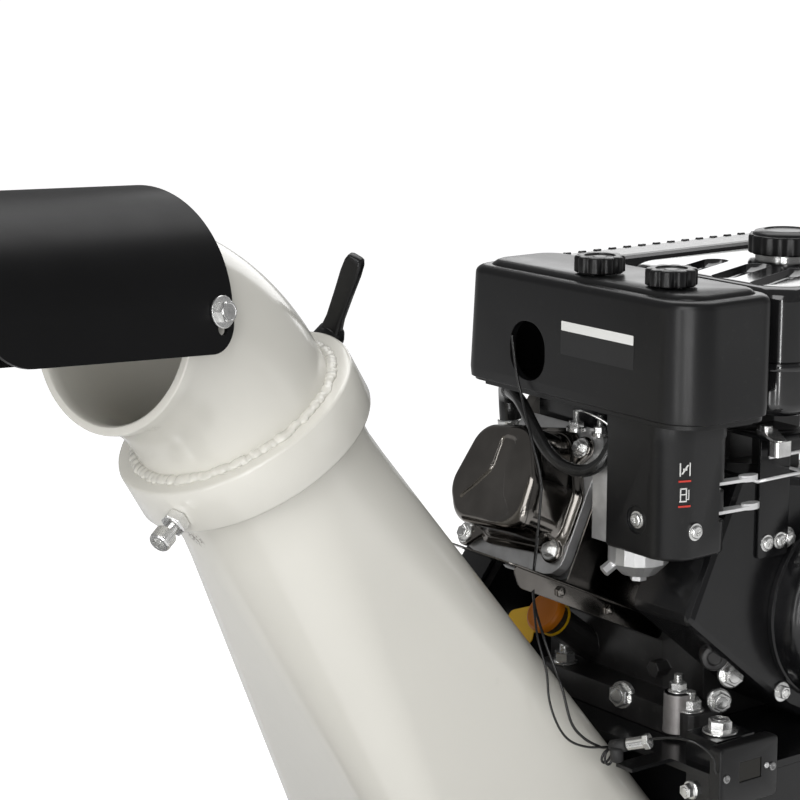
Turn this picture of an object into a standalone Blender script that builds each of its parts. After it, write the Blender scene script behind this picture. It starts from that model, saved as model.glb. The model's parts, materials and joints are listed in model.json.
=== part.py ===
"""Petrol garden shredder: a towed drum chipper driven by a horizontal-shaft petrol engine.

Row frame: +X points to the tow bar, +Z up, +Y to the belt side. The pieces are designed about a
point on the ground under the drum region, and one empty shifts the whole machine so that the
origin is the middle of its box, on the ground.
"""

import math

import bmesh
import bpy
from mathutils import Matrix, Vector

# Clearances, in metres
GAP = 0.0003                # between two pieces that touch
RUNNING = 0.0015            # between a turning piece and what it turns beside
WELD = 0.000005             # points this close are one point

# Wheels and axle
WHEEL_RADIUS = 0.205
TYRE_WIDTH = 0.110
TYRE_CROWN = 0.016          # how far the shoulders fall below the tread
RIM_RADIUS = 0.104
RIM_WIDTH = 0.084
RIM_SHEET = 0.004
HUB_RADIUS = 0.026
HUB_LENGTH = 0.092
TRACK = 0.650
AXLE_X = -0.080
AXLE_RADIUS = 0.0125
AXLE_TUBE = 0.040
AXLE_NUT_RADIUS = 0.020
AXLE_NUT_DEPTH = 0.014

# Frame
RAIL_SPREAD = 0.158         # centre plane to rail centre
RAIL_WIDTH = 0.040
RAIL_HEIGHT = 0.050
FRAME_REAR = -0.270
FRAME_FRONT = 0.460
POST_SIZE = 0.040
POST_REAR_X = 0.075
POST_FRONT_X = 0.350
PLATE_REAR = 0.050
PLATE_FRONT = 0.390
PLATE_HALF_WIDTH = 0.178
PLATE_THICKNESS = 0.006
PLATE_TOP = 0.750
PLATE_WINDOW = 0.110
PILLAR_HEIGHT = 0.022       # stand-off in the plate's rear near corner

# Tow bar and support leg
TOW_BAR_SIZE = 0.040
TOW_BAR_REACH = 1.080
TOW_BAR_ROOT = 0.300
SOCKET_WALL = 0.004
HANDLE_HALF_WIDTH = 0.190
HANDLE_RADIUS = 0.014
HANDLE_SETBACK = 0.120
HITCH_LENGTH = 0.090
HITCH_PLATE = 0.008
HITCH_PIN_RADIUS = 0.008
LEG_X = 0.700
LEG_SIZE = 0.030
LEG_PIN_DROP = 0.055
LEG_PIN_RADIUS = 0.006
FOOT_LENGTH = 0.090
FOOT_WIDTH = 0.090
FOOT_THICKNESS = 0.006
EAR_PLATE = 0.005

# Drum, its housing and its bearings
DRUM_X = -0.060
DRUM_Z = 0.430
DRUM_RADIUS = 0.120
DRUM_LENGTH = 0.240
SHAFT_RADIUS = 0.0175
KNIFE_COUNT = 2
KNIFE_WIDTH = 0.045
KNIFE_THICKNESS = 0.009
KNIFE_REACH = 0.007         # the edge beyond the drum
HOUSING_RUN = 0.014         # knife circle to the housing
HOUSING_WALL = 0.008
HOUSING_SIDE_RUN = 0.005
BEARING_SIZE = 0.092
BEARING_DEPTH = 0.024
FOOT_PLATE = 0.008
THROAT_HEIGHT = 0.130
THROAT_FLOOR = -0.035       # throat floor relative to the drum axis
THROAT_REACH = 0.200        # drum axis to the throat flange
FLANGE_WIDTH = 0.020
FLANGE_THICKNESS = 0.006
BED_KNIFE_WIDTH = 0.040
BED_KNIFE_THICKNESS = 0.012
BED_KNIFE_CLEARANCE = 0.0015

# Feed hopper, folding table and curtain
HOPPER_LENGTH = 0.300
HOPPER_MOUTH_WIDTH = 0.420
HOPPER_MOUTH_TOP = 0.255    # mouth top above the drum axis
HOPPER_MOUTH_FLOOR = -0.080
HOPPER_SHEET = 0.003
TABLE_LENGTH = 0.300
TABLE_WING = 0.060
TABLE_ROD_RADIUS = 0.006
TABLE_KNUCKLE = 0.011
CURTAIN_THICKNESS = 0.004
CURTAIN_DROP = 0.110
CURTAIN_SLITS = 5
CURTAIN_ROD = 0.005

# Belt drive
PULLEY_PLANE = 0.1985
PULLEY_WIDTH = 0.030
ENGINE_PULLEY_RADIUS = 0.048
DRUM_PULLEY_RADIUS = 0.092
GROOVE_DEPTH = 0.011
GROOVES = 2
PULLEY_HUB = 0.032
BELT_DEPTH = 0.010
GUARD_MARGIN = 0.013
GUARD_SHEET = 0.003
GUARD_FACE = 0.222

# Discharge chute
CHUTE_LEAN = math.radians(31)
COLLAR_X = -0.263           # collar top centre
COLLAR_Z = 1.042
CHUTE_BASE_Z = 0.600
CHUTE_BASE_LENGTH = 0.260
CHUTE_BASE_WIDTH = 0.225
CHUTE_BASE_SHIFT = 0.0107   # base centre forward of the pipe's axis line
CHUTE_PIPE_RADIUS = 0.077
CHUTE_CORNER = 0.020
CHUTE_SHEET = 0.004
CHUTE_FLANGE = 0.022
PIPE_RADIUS = 0.075
PIPE_WALL = 0.005
PIPE_LENGTH = 0.075         # straight pipe under the collar top
COLLAR_RADIUS = 0.092
COLLAR_HEIGHT = 0.036
COLLAR_EDGE = 0.0025

# Elbow, deflector and their fittings
ELBOW_TURN = math.radians(18)
ELBOW_BEND = math.radians(50)
ELBOW_RISE = 0.010          # straight pipe before the bend
ELBOW_RADIUS = 0.1334
ELBOW_LIP = 0.0142          # straight pipe after the bend
PIVOT_BACK = 0.023          # pivot behind the mouth
PIVOT_RISE = 0.005
PIVOT_BOSS_RADIUS = 0.011
DEFLECTOR_RADIUS = 0.080
DEFLECTOR_SHEET = 0.003
DEFLECTOR_LENGTH = 0.285
DEFLECTOR_TAIL = 0.013      # rear edge behind the pivot
DEFLECTOR_SKIRT = 0.022     # bottom edge under the pivot
DEFLECTOR_CENTRE = 0.0060   # roll's centre above the pivot
DEFLECTOR_DROOP = math.radians(6.5)
DEFLECTOR_CORNER = 0.022
SLOT_WIDTH = 0.0090
SLOT_DROP = 0.011
PIVOT_BOLT_RADIUS = 0.004
PIVOT_HEAD_RADIUS = 0.0075
PIVOT_HEAD_HEIGHT = 0.0055
WASHER_RADIUS = 0.011
WASHER_THICKNESS = 0.002
SET_SCREW_RADIUS = 0.005
SET_SCREW_HEAD_RADIUS = 0.0078
SET_SCREW_HEAD = 0.011
SET_SCREW_DROP = 0.022      # screw under the collar top
SET_SCREW_SHOW = 0.007      # shank between nut and head
LOCK_NUT_RADIUS = 0.0095
LOCK_NUT_HEIGHT = 0.008
LEVER_HUB_RADIUS = 0.011
LEVER_HUB_LENGTH = 0.024
LEVER_STUD_RADIUS = 0.005
LEVER_LENGTH = 0.073
LEVER_TURN = math.radians(37)
LEVER_CANT = math.radians(20)
LEVER_SWING = math.radians(12)     # bearing round the chute's axis

# Engine block
CRANK_X = 0.215
CYLINDER_Y = 0.018
CRANK_HEIGHT = 0.100
CYLINDER_TILT = math.radians(25)
CASE_REAR = -0.112
CASE_FRONT = 0.112
CASE_NEAR = -0.078
CASE_FAR = 0.076
CASE_TOP = 0.193
CASE_COVER_DEPTH = 0.022
CASE_WALL = 0.007
CASE_SEAT = 0.058           # half the cylinder's seat, measured up the case
BOSS_RADIUS = 0.011
BOSS_HEIGHT = 0.036
OIL_NECK_ROOT = (0.118, 0.044, 0.784)
OIL_NECK_MOUTH = (0.070, 0.044, 0.820)
OIL_BORE = 0.0095
FOOT_HEIGHT = 0.022
FOOT_REACH = 0.012
MOUNT_BOLT_RADIUS = 0.008
BARREL_START = 0.100
BARREL_END = 0.164
BARREL_CORE = 0.052
BARREL_BORE = 0.034
HEAD_END = 0.204
HEAD_HALF = 0.060
FIN_REACH = 0.020
FIN_THICKNESS = 0.003
BARREL_FINS = 5
HEAD_FINS = 3
VALVE_COVER_DEPTH = 0.043
VALVE_COVER_BLEND = 0.010
VALVE_FLANGE = 0.006
VALVE_RIM = 0.010
# Corners of the cover as (away from the belt side, up across the cylinder), then its ears
VALVE_COVER_OUTLINE = ((-0.030, -0.044), (0.052, -0.038), (0.050, 0.005), (0.024, 0.048), (-0.036, 0.038),
                       (-0.050, -0.018))
VALVE_EARS = ((-0.054, -0.049), (0.048, -0.041), (0.042, 0.042), (-0.048, 0.024))
EAR_RADIUS = 0.010
EXHAUST_PORT = (0.044, 0.078, 0.924)
PORT_RADIUS = 0.012
INTAKE_X = 0.058
INTAKE_Z = 0.952
PLUG_SEAT = (0.0543, 0.074, 0.967)
PLUG_WAY = (-0.10, 0.05, 1.0)
PLUG_WELL_RADIUS = 0.0135
CRANK_RADIUS = 0.0125

# Cooling, starter and controls
SHROUD_RADIUS = 0.097
SHROUD_DEPTH = 0.062
SHROUD_WALL = 0.003
FLYWHEEL_RADIUS = 0.086
FLYWHEEL_DEPTH = 0.024
FLYWHEEL_SEAT = 0.012       # behind the cowl's rear edge
DUCT_END = 0.1535           # cowl's reach along the cylinder
COWL_EDGE = 0.006           # rounding of the cowl's face edge
FLYWHEEL_VANES = 10
STARTER_RADIUS = 0.080
STARTER_DEPTH = 0.038
STARTER_VENTS = 8
GRIP_LENGTH = 0.086
GRIP_RADIUS = 0.011
GRIP_PULL = 0.250

# Air cleaner and carburettor
BOX_REAR = -0.002
BOX_FRONT = 0.096
BOX_NEAR = -0.190
BOX_FAR = 0.052
BOX_TOP = 1.116
BOX_FLOOR = 1.022
BOX_CORNER = 0.032
BOX_EDGE = 0.006
BOX_PANEL = 0.004
BOX_PANEL_INSET = 0.010
BOX_WALL = 0.003
KNOB_RADIUS = 0.0185
KNOB_HEIGHT = 0.016
KNOB_RIBS = 10
KNOB_STEM = 0.004
KNOB_X = 0.029
KNOB_FAR_Y = -0.058
KNOB_NEAR_Y = -0.137
OVAL_WIDTH = 0.040
OVAL_HEIGHT = 0.064
OVAL_Y = -0.012
OVAL_Z = 1.048
COVER_REAR = 0.010
COVER_FRONT = 0.076
COVER_NEAR = -0.162
COVER_FAR = -0.092
COVER_CORNER = 0.024
COVER_FLOOR = 0.918
COVER_SILL = 0.010
CARB_X = 0.040
CARB_Y = -0.096
AIRWAY_RADIUS = 0.0095
BOWL_RADIUS = 0.0235
BOWL_TOP = 0.917
BOWL_STRAIGHT = 0.014
BOWL_TAPER = 0.010
BOWL_NUT = 0.0055
COVER_SCREW_Y = -0.125
COVER_SCREW_Z = 0.945
LEVER_Y = -0.150
CHOKE_Z = 0.970
FUEL_Z = 0.9475
LEVER_PIN = 0.0025          # half the pin of the choke and fuel levers
CONTROL_X = 0.132
CONTROL_Z = 0.998
CONTROL_PIN_Y = -0.136
THROTTLE_LENGTH = 0.034

# Exhaust and fuel
SHIELD_REAR = 0.128
SHIELD_FRONT = 0.425
SHIELD_NEAR = 0.115
SHIELD_FAR = 0.176
SHIELD_ROLL = 0.020         # radius of its far top edge
SHIELD_TOP = 1.096
SHIELD_FLOOR = 0.985
SHIELD_SHEET = 0.002
SHIELD_BUMPS = 16
BUMP_RADIUS = 0.003
TAB_REACH = 0.038           # pierced tab on the shield's rear end
MUFFLER_CLEAR = 0.008
TANK_REAR = 0.112
TANK_FRONT = 0.385
TANK_NEAR = -0.168
TANK_FAR = 0.020
TANK_TOP = 1.112
TANK_FLOOR = 1.012
TANK_CORNER = 0.034
TANK_EDGE = 0.014
TANK_WALL = 0.004
TANK_GROOVES = 3
GROOVE_TURN = math.radians(22)
NECK_RADIUS = 0.024
NECK_HEIGHT = 0.012
NECK_WALL = 0.003
CAP_X = 0.244
CAP_Y = -0.040
CAP_RADIUS = 0.030
CAP_HEIGHT = 0.022
CAP_RIBS = 15

# Small engine fittings
OIL_CAP_RADIUS = 0.0145
OIL_CAP_HEIGHT = 0.014
OIL_NECK_RADIUS = 0.013
WIRE_RADIUS = 0.0011
LEAD_RADIUS = 0.0050
METER_WIDTH = 0.060
METER_HEIGHT = 0.048
METER_DEPTH = 0.0115
METER_X = 0.071
METER_Z = 0.753
TAG_WIDTH = 0.030
TAG_LENGTH = 0.034
TAG_THICKNESS = 0.0012
TAG_TURN = math.radians(45)
# Routes of the meter's wire, of the plug boot's bend and of its lead
WIRE_ROUTE = ((-0.006, 0.0027, 1.0676), (-0.007, -0.0051, 1.0376), (-0.008, -0.0126, 1.0217),
              (-0.016, -0.0348, 0.993), (-0.020, -0.0508, 0.9653), (-0.020, -0.049, 0.9337),
              (-0.010, -0.0320, 0.8730), (0.0035, -0.0410, 0.7985), (0.0237, -0.0281, 0.7714),
              (0.0350, -0.0386, 0.7555), (0.0403, -0.0568, 0.7490), (0.0192, -0.12, 0.7698),
              (0.016, -0.15, 0.7806), (0.0251, -0.175, 0.7833), (0.0360, -0.1855, 0.7724),
              (0.0380, -0.1865, 0.7620), (0.0397, -0.1870, 0.7585))
BOOT_BEND = ((0.0420, 0.0660, 1.0100), (0.0270, 0.0460, 1.0130))
LEAD_ROUTE = [(0.0270, 0.0460, 1.0130), (0.0120, 0.0140, 1.0120), (0.0062, -0.0088, 0.9972),
              (0.0045, -0.0271, 0.9817), (0.0068, -0.0430, 0.9719), (0.0120, -0.0620, 0.9700),
              (0.0150, -0.0800, 0.9800), (0.0280, -0.0850, 1.0010), (0.0500, -0.0800, 1.0030),
              (0.0760, -0.0680, 0.9940), (0.0900, -0.0640, 0.9700), (0.0950, -0.0680, 0.9520),
              (0.0950, -0.0728, 0.9480)]

FINISHES = {
    "chute_paint": ((0.78, 0.77, 0.73), 0.28, 0.0),
    "black_paint": ((0.02, 0.02, 0.022), 0.35, 0.0),
    "satin_black": ((0.008, 0.008, 0.009), 0.42, 0.0),
    "machine_grey": ((0.16, 0.165, 0.17), 0.45, 0.0),
    "cast_aluminium": ((0.36, 0.36, 0.36), 0.42, 0.9),
    "polished_steel": ((0.62, 0.61, 0.59), 0.16, 1.0),
    "zinc": ((0.66, 0.66, 0.64), 0.28, 1.0),
    "bare_steel": ((0.42, 0.42, 0.42), 0.35, 1.0),
    "black_plastic": ((0.035, 0.035, 0.037), 0.55, 0.0),
    "orange_plastic": ((0.86, 0.36, 0.03), 0.45, 0.0),
    "rubber": ((0.018, 0.018, 0.018), 0.8, 0.0),
    "wire_black": ((0.03, 0.03, 0.03), 0.6, 0.0),
    "cast_steel": ((0.18, 0.17, 0.16), 0.6, 0.8),
    "filter_paper": ((0.62, 0.55, 0.38), 0.9, 0.0),
    "yellow_card": ((0.88, 0.66, 0.04), 0.45, 0.0),
}

SIDE_ON = Matrix(((1, 0, 0, 0), (0, 0, -1, 0), (0, 1, 0, 0), (0, 0, 0, 1)))
END_ON = Matrix(((0, 0, 1, 0), (1, 0, 0, 0), (0, 1, 0, 0), (0, 0, 0, 1)))


# Drawing outlines

def circle(radius, steps, centre=(0.0, 0.0)):
    """Points of a full circle, counter-clockwise."""
    turn = 2 * math.pi / steps
    return [(centre[0] + radius * math.cos(turn * i), centre[1] + radius * math.sin(turn * i))
            for i in range(steps)]


def clear_of(radius, steps):
    """Corner radius of a hole with this many flats that clears a round bar by the gap."""
    return (radius + GAP) / math.cos(math.pi / steps)


def rectangle(left, low, right, high):
    """Corners of an upright rectangle, counter-clockwise."""
    return [(left, low), (right, low), (right, high), (left, high)]


def rounded(points, radius, steps=5):
    """The outline with each corner turned into an arc; radius may be one value or one per corner."""
    count = len(points)
    radii = radius if isinstance(radius, (list, tuple)) else [radius] * count
    outline = []
    for i, corner in enumerate(points):
        here = Vector(corner)
        back = (Vector(points[i - 1]) - here).normalized()
        ahead = (Vector(points[(i + 1) % count]) - here).normalized()
        if radii[i] <= 0:
            outline.append(tuple(here))
            continue
        half = back.angle(ahead) / 2
        reach = radii[i] / math.tan(half)
        centre = here + (back + ahead).normalized() * radii[i] / math.sin(half)
        start = here + back * reach - centre
        sweep = start.angle_signed(here + ahead * reach - centre)
        for step in range(steps + 1):
            turned = Matrix.Rotation(-sweep * step / steps, 2) @ start
            outline.append(tuple(centre + turned))
    return outline


def ribbed(radius, depth, ribs, steps_each=4):
    """A round outline with shallow flutes."""
    count = ribs * steps_each
    outline = []
    for i in range(count):
        angle = 2 * math.pi * i / count
        reach = radius - depth * (0.5 - 0.5 * math.cos(ribs * angle))
        outline.append((reach * math.cos(angle), reach * math.sin(angle)))
    return outline


def hexagon(radius):
    """A nut's outline with corners at the given radius."""
    return circle(radius, 6)


def hull_of(points):
    """The convex outline round a cloud of points, counter-clockwise."""
    ordered = sorted(set(points))

    def half_hull(run):
        kept = []
        for point in run:
            while len(kept) > 1 and ((kept[-1][0] - kept[-2][0]) * (point[1] - kept[-2][1])
                                     <= (kept[-1][1] - kept[-2][1]) * (point[0] - kept[-2][0]) + 1e-12):
                kept.pop()
            kept.append(point)
        return kept[:-1]

    return half_hull(ordered) + half_hull(ordered[::-1])


def smooth_path(points, steps=6):
    """A flowing curve through the points, as points along it."""
    spots = [Vector(point) for point in points]
    ends = [2 * spots[0] - spots[1]] + spots + [2 * spots[-1] - spots[-2]]
    path = []
    for before, here, there, after in zip(ends, ends[1:], ends[2:], ends[3:]):
        for step in range(steps):
            t = step / steps
            path.append(0.5 * (2 * here + (there - before) * t
                               + (2 * before - 5 * here + 4 * there - after) * t ** 2
                               + (3 * here - before - 3 * there + after) * t ** 3))
    path.append(spots[-1])
    return path


# Making solids

def material(finish):
    """The finish's Principled material, made once."""
    found = bpy.data.materials.get(finish)
    if found:
        return found
    colour, roughness, metallic = FINISHES[finish]
    made = bpy.data.materials.new(finish)
    made.use_nodes = True
    shader = made.node_tree.nodes["Principled BSDF"]
    shader.inputs["Base Color"].default_value = (*colour, 1.0)
    shader.inputs["Roughness"].default_value = roughness
    shader.inputs["Metallic"].default_value = metallic
    return made


def empty(name, parent=None, matrix=Matrix.Identity(4)):
    """An empty that carries a sub-assembly or marks a joint's axis."""
    made = bpy.data.objects.new(name, None)
    made.empty_display_size = 0.05
    bpy.context.collection.objects.link(made)
    made.parent = parent
    made.matrix_local = matrix
    return made


def shape(bm, matrix=Matrix.Identity(4)):
    """A loose object made from a bmesh, its faces pointing out."""
    bmesh.ops.transform(bm, matrix=matrix, verts=bm.verts)
    bmesh.ops.recalc_face_normals(bm, faces=bm.faces)
    mesh = bpy.data.meshes.new("shape")
    bm.to_mesh(mesh)
    bm.free()
    made = bpy.data.objects.new("shape", mesh)
    bpy.context.collection.objects.link(made)
    return made


def prism(outline, low, high, matrix=Matrix.Identity(4)):
    """The outline in XY, extruded from low to high along Z."""
    bm = bmesh.new()
    corners = [bm.verts.new((x, y, low)) for x, y in outline]
    face = bm.faces.new(corners)
    grown = bmesh.ops.extrude_face_region(bm, geom=[face])
    moved = [item for item in grown["geom"] if isinstance(item, bmesh.types.BMVert)]
    bmesh.ops.translate(bm, vec=(0, 0, high - low), verts=moved)
    return shape(bm, matrix)


def side_prism(outline, y_low, y_high):
    """An outline in XZ, extruded along Y."""
    return prism(outline, -y_high, -y_low, SIDE_ON)


def end_prism(outline, x_low, x_high):
    """An outline in YZ, extruded along X."""
    return prism(outline, x_low, x_high, END_ON)


def block(low, high):
    """An upright block between two corners."""
    return prism(rectangle(low[0], low[1], high[0], high[1]), low[2], high[2])


def lathe(profile, steps, matrix=Matrix.Identity(4)):
    """A profile of (radius, height) points turned about Z; it starts and ends on the axis or is a loop."""
    bm = bmesh.new()
    points = [bm.verts.new((radius, 0, height)) for radius, height in profile]
    edges = [bm.edges.new(pair) for pair in zip(points, points[1:])]
    if profile[0][0] > 0:
        edges.append(bm.edges.new((points[-1], points[0])))
    bmesh.ops.spin(bm, geom=points + edges, axis=(0, 0, 1), cent=(0, 0, 0), angle=2 * math.pi,
                   steps=steps, use_merge=True)
    bmesh.ops.remove_doubles(bm, verts=bm.verts, dist=1e-6)
    return shape(bm, matrix)


def loft(rings, closed=False, matrix=Matrix.Identity(4)):
    """A skin through rings with the same number of points, capped or closed on itself."""
    bm = bmesh.new()
    loops = [[bm.verts.new(point) for point in ring] for ring in rings]
    pairs = list(zip(loops, loops[1:]))
    if closed:
        pairs.append((loops[-1], loops[0]))
    else:
        bm.faces.new(loops[0])
        bm.faces.new(loops[-1])
    count = len(loops[0])
    for lower, upper in pairs:
        for i in range(count):
            following = (i + 1) % count
            bm.faces.new((lower[i], lower[following], upper[following], upper[i]))
    bmesh.ops.remove_doubles(bm, verts=bm.verts, dist=1e-7)
    return shape(bm, matrix)


def rod(start, end, radius, steps=16):
    """A round bar between two points."""
    start, end = Vector(start), Vector(end)
    matrix = Matrix.Translation(start) @ (end - start).to_track_quat("Z", "Y").to_matrix().to_4x4()
    return prism(circle(radius, steps), 0, (end - start).length, matrix)


def tube(path, radius, steps=10):
    """A round section carried along a path without twisting; radius may be one per point."""
    radii = radius if isinstance(radius, (list, tuple)) else [radius] * len(path)
    spots = [Vector(point) for point in path]
    ahead = [(after - before).normalized()
             for before, after in zip([spots[0]] + spots[:-1], spots[1:] + [spots[-1]])]
    side = ahead[0].orthogonal().normalized()
    rings = []
    for spot, along, reach in zip(spots, ahead, radii):
        side = (side - along * side.dot(along)).normalized()
        across = along.cross(side)
        rings.append([spot + reach * (math.cos(turn) * side + math.sin(turn) * across)
                      for turn in (2 * math.pi * i / steps for i in range(steps))])
    return loft(rings)


def bar(start, end, width, height, up=(0, 0, 1)):
    """A rectangular bar between two points; width lies across up."""
    start, end = Vector(start), Vector(end)
    along = (end - start).normalized()
    across = along.cross(Vector(up)).normalized()
    turned = Matrix((across, along.cross(across), along)).transposed().to_4x4()
    return prism(rectangle(-width / 2, -height / 2, width / 2, height / 2), 0, (end - start).length,
                 Matrix.Translation(start) @ turned)


def apply_booleans(target, operation, tools):
    """Runs the Booleans on the target's mesh and removes the tools."""
    for tool in tools:
        modifier = target.modifiers.new(operation, "BOOLEAN")
        modifier.solver = "EXACT"
        modifier.operation = operation
        modifier.object = tool
    bpy.context.view_layer.update()
    view = bpy.context.evaluated_depsgraph_get()
    result = bpy.data.meshes.new_from_object(target.evaluated_get(view))
    target.modifiers.clear()
    target.data = result
    for tool in tools:
        bpy.data.objects.remove(tool)
    bm = bmesh.new()
    bm.from_mesh(target.data)
    bmesh.ops.remove_doubles(bm, verts=bm.verts, dist=WELD)
    bmesh.ops.dissolve_degenerate(bm, edges=bm.edges, dist=WELD)
    bm.to_mesh(target.data)
    bm.free()
    return target


def unite(first, *others):
    """One solid from several that cross each other."""
    return apply_booleans(first, "UNION", others)


def cut(target, *tools):
    """The target with the tools taken away."""
    return apply_booleans(target, "DIFFERENCE", tools)


def keep_inside(target, tool):
    """The part of the target inside the tool."""
    return apply_booleans(target, "INTERSECT", [tool])


def soften(target, width, angle=40, segments=2):
    """Bevels the target's sharp edges."""
    bm = bmesh.new()
    bm.from_mesh(target.data)
    sharp = [edge for edge in bm.edges if edge.is_manifold
             and edge.calc_face_angle() > math.radians(angle)]
    bmesh.ops.bevel(bm, geom=sharp, offset=width, segments=segments, profile=0.5, affect="EDGES",
                    clamp_overlap=True)
    bm.to_mesh(target.data)
    bm.free()
    return target


def piece(made, name, finish, parent, matrix=Matrix.Identity(4), sharp=35):
    """Names a solid, dresses it and hangs it in its sub-assembly."""
    made.name = name
    made.data.name = name
    made.data.materials.clear()
    made.data.materials.append(material(finish))
    made.data.shade_smooth()
    made.data.set_sharp_from_angle(angle=math.radians(sharp))
    made.parent = parent
    made.matrix_local = matrix
    return made


def place(x, y, z):
    """A translation."""
    return Matrix.Translation((x, y, z))


def aim(origin, z_axis, x_axis):
    """A frame at origin with Z along z_axis and X near x_axis."""
    up = Vector(z_axis).normalized()
    across = up.cross(Vector(x_axis)).normalized()
    along = across.cross(up)
    return Matrix.Translation(origin) @ Matrix((along, across, up)).transposed().to_4x4()


# Places worked out from the sizes

RAIL_FLOOR = WHEEL_RADIUS + AXLE_TUBE / 2 - 0.002
RAIL_TOP = RAIL_FLOOR + RAIL_HEIGHT
BAR_Z = RAIL_FLOOR + RAIL_HEIGHT / 2
HUB_INNER = TRACK / 2 - HUB_LENGTH / 2
HUB_OUTER = TRACK / 2 + HUB_LENGTH / 2
KNIFE_CIRCLE = DRUM_RADIUS + KNIFE_REACH
HOUSING_INNER = KNIFE_CIRCLE + HOUSING_RUN
HOUSING_OUTER = HOUSING_INNER + HOUSING_WALL
CAVITY_HALF = DRUM_LENGTH / 2 + HOUSING_SIDE_RUN
HOUSING_HALF = CAVITY_HALF + HOUSING_WALL
CHUTE_BASE_X = COLLAR_X + (COLLAR_Z - CHUTE_BASE_Z) * math.tan(CHUTE_LEAN) + CHUTE_BASE_SHIFT
HOUSING_TOP = CHUTE_BASE_Z - GAP
THROAT_X = DRUM_X - THROAT_REACH
THROAT_LOW = DRUM_Z + THROAT_FLOOR
THROAT_HIGH = THROAT_LOW + THROAT_HEIGHT
HOPPER_X = THROAT_X - GAP
MOUTH_X = HOPPER_X - HOPPER_LENGTH
MOUTH_LOW = DRUM_Z + HOPPER_MOUTH_FLOOR
MOUTH_HIGH = DRUM_Z + HOPPER_MOUTH_TOP
TABLE_AXIS_X = MOUTH_X - TABLE_KNUCKLE - GAP
TABLE_AXIS_Z = MOUTH_LOW - TABLE_KNUCKLE
TABLE_HALF = HOPPER_MOUTH_WIDTH / 2 - 0.030
CURTAIN_X = HOPPER_X - 0.018
CURTAIN_Z = THROAT_HIGH - CURTAIN_ROD - 0.006
ENGINE_FLOOR = PLATE_TOP + GAP
CRANK_Z = PLATE_TOP + CRANK_HEIGHT
COLLAR_BORE = (CHUTE_PIPE_RADIUS + GAP) / math.cos(math.pi / 24)
ELBOW_START = -0.004        # where the elbow's pipe meets the chute's, under the collar top
SHAFT_END = PULLEY_PLANE + PULLEY_WIDTH / 2 + 0.003
CYLINDER_AXIS = Vector((-math.cos(CYLINDER_TILT), 0, math.sin(CYLINDER_TILT)))
CYLINDER_UP = Vector((math.sin(CYLINDER_TILT), 0, math.cos(CYLINDER_TILT)))


# Wheels, axle and frame

def wheel(side, name, machine):
    """A pneumatic tyre on a pressed rim, turning on the axle's stub."""
    pivot = empty(f"{name}_wheel_axis", machine,
                  aim((AXLE_X, side * TRACK / 2, WHEEL_RADIUS), (0, side, 0), (1, 0, 0)))
    half, bead = RIM_WIDTH / 2, RIM_RADIUS + 0.010
    bore = clear_of(AXLE_RADIUS, 14)
    dish = 0.010
    rim = lathe([(bead, -half), (bead, RIM_SHEET - half), (RIM_RADIUS, RIM_SHEET - half),
                 (RIM_RADIUS, half - RIM_SHEET), (bead, half - RIM_SHEET), (bead, half),
                 (RIM_RADIUS - RIM_SHEET, half), (RIM_RADIUS - RIM_SHEET, RIM_SHEET / 2),
                 (RIM_RADIUS * 0.6, RIM_SHEET / 2 + dish), (HUB_RADIUS, RIM_SHEET / 2 + dish),
                 (HUB_RADIUS, HUB_LENGTH / 2), (bore, HUB_LENGTH / 2), (bore, -HUB_LENGTH / 2),
                 (HUB_RADIUS, -HUB_LENGTH / 2), (HUB_RADIUS, dish - RIM_SHEET / 2),
                 (RIM_RADIUS * 0.6, dish - RIM_SHEET / 2), (RIM_RADIUS - RIM_SHEET, -RIM_SHEET / 2),
                 (RIM_RADIUS - RIM_SHEET, -half)], 14)
    piece(rim, f"{name}_rim", "chute_paint", pivot)
    seat = half - RIM_SHEET - GAP
    wall = TYRE_WIDTH / 2
    inner = RIM_RADIUS + GAP
    side_points = [(inner, seat), (bead + 0.003, seat), (bead + 0.012, wall - 0.005),
                   (WHEEL_RADIUS - TYRE_CROWN - 0.012, wall), (WHEEL_RADIUS - TYRE_CROWN, wall - 0.004),
                   (WHEEL_RADIUS - TYRE_CROWN / 6, wall - 0.022)]
    profile = side_points + [(radius, -height) for radius, height in reversed(side_points)]
    piece(lathe(profile, 28), f"{name}_tyre", "rubber", pivot)


def axle():
    """The parts of the axle: a square tube, the turned stubs and a nut on each."""
    half = AXLE_TUBE / 2
    tube = block((AXLE_X - half, GAP - HUB_INNER, WHEEL_RADIUS - half),
                 (AXLE_X + half, HUB_INNER - GAP, WHEEL_RADIUS + half))
    end = HUB_OUTER + GAP + AXLE_NUT_DEPTH
    stub = rod((AXLE_X, -end, WHEEL_RADIUS), (AXLE_X, end, WHEEL_RADIUS), AXLE_RADIUS, 12)
    nuts = [side_prism([(AXLE_X + x, WHEEL_RADIUS + z) for x, z in hexagon(AXLE_NUT_RADIUS)],
                       min(side * (HUB_OUTER + GAP), side * end), max(side * (HUB_OUTER + GAP), side * end))
            for side in (-1, 1)]
    return [tube, stub, *nuts]


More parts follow.
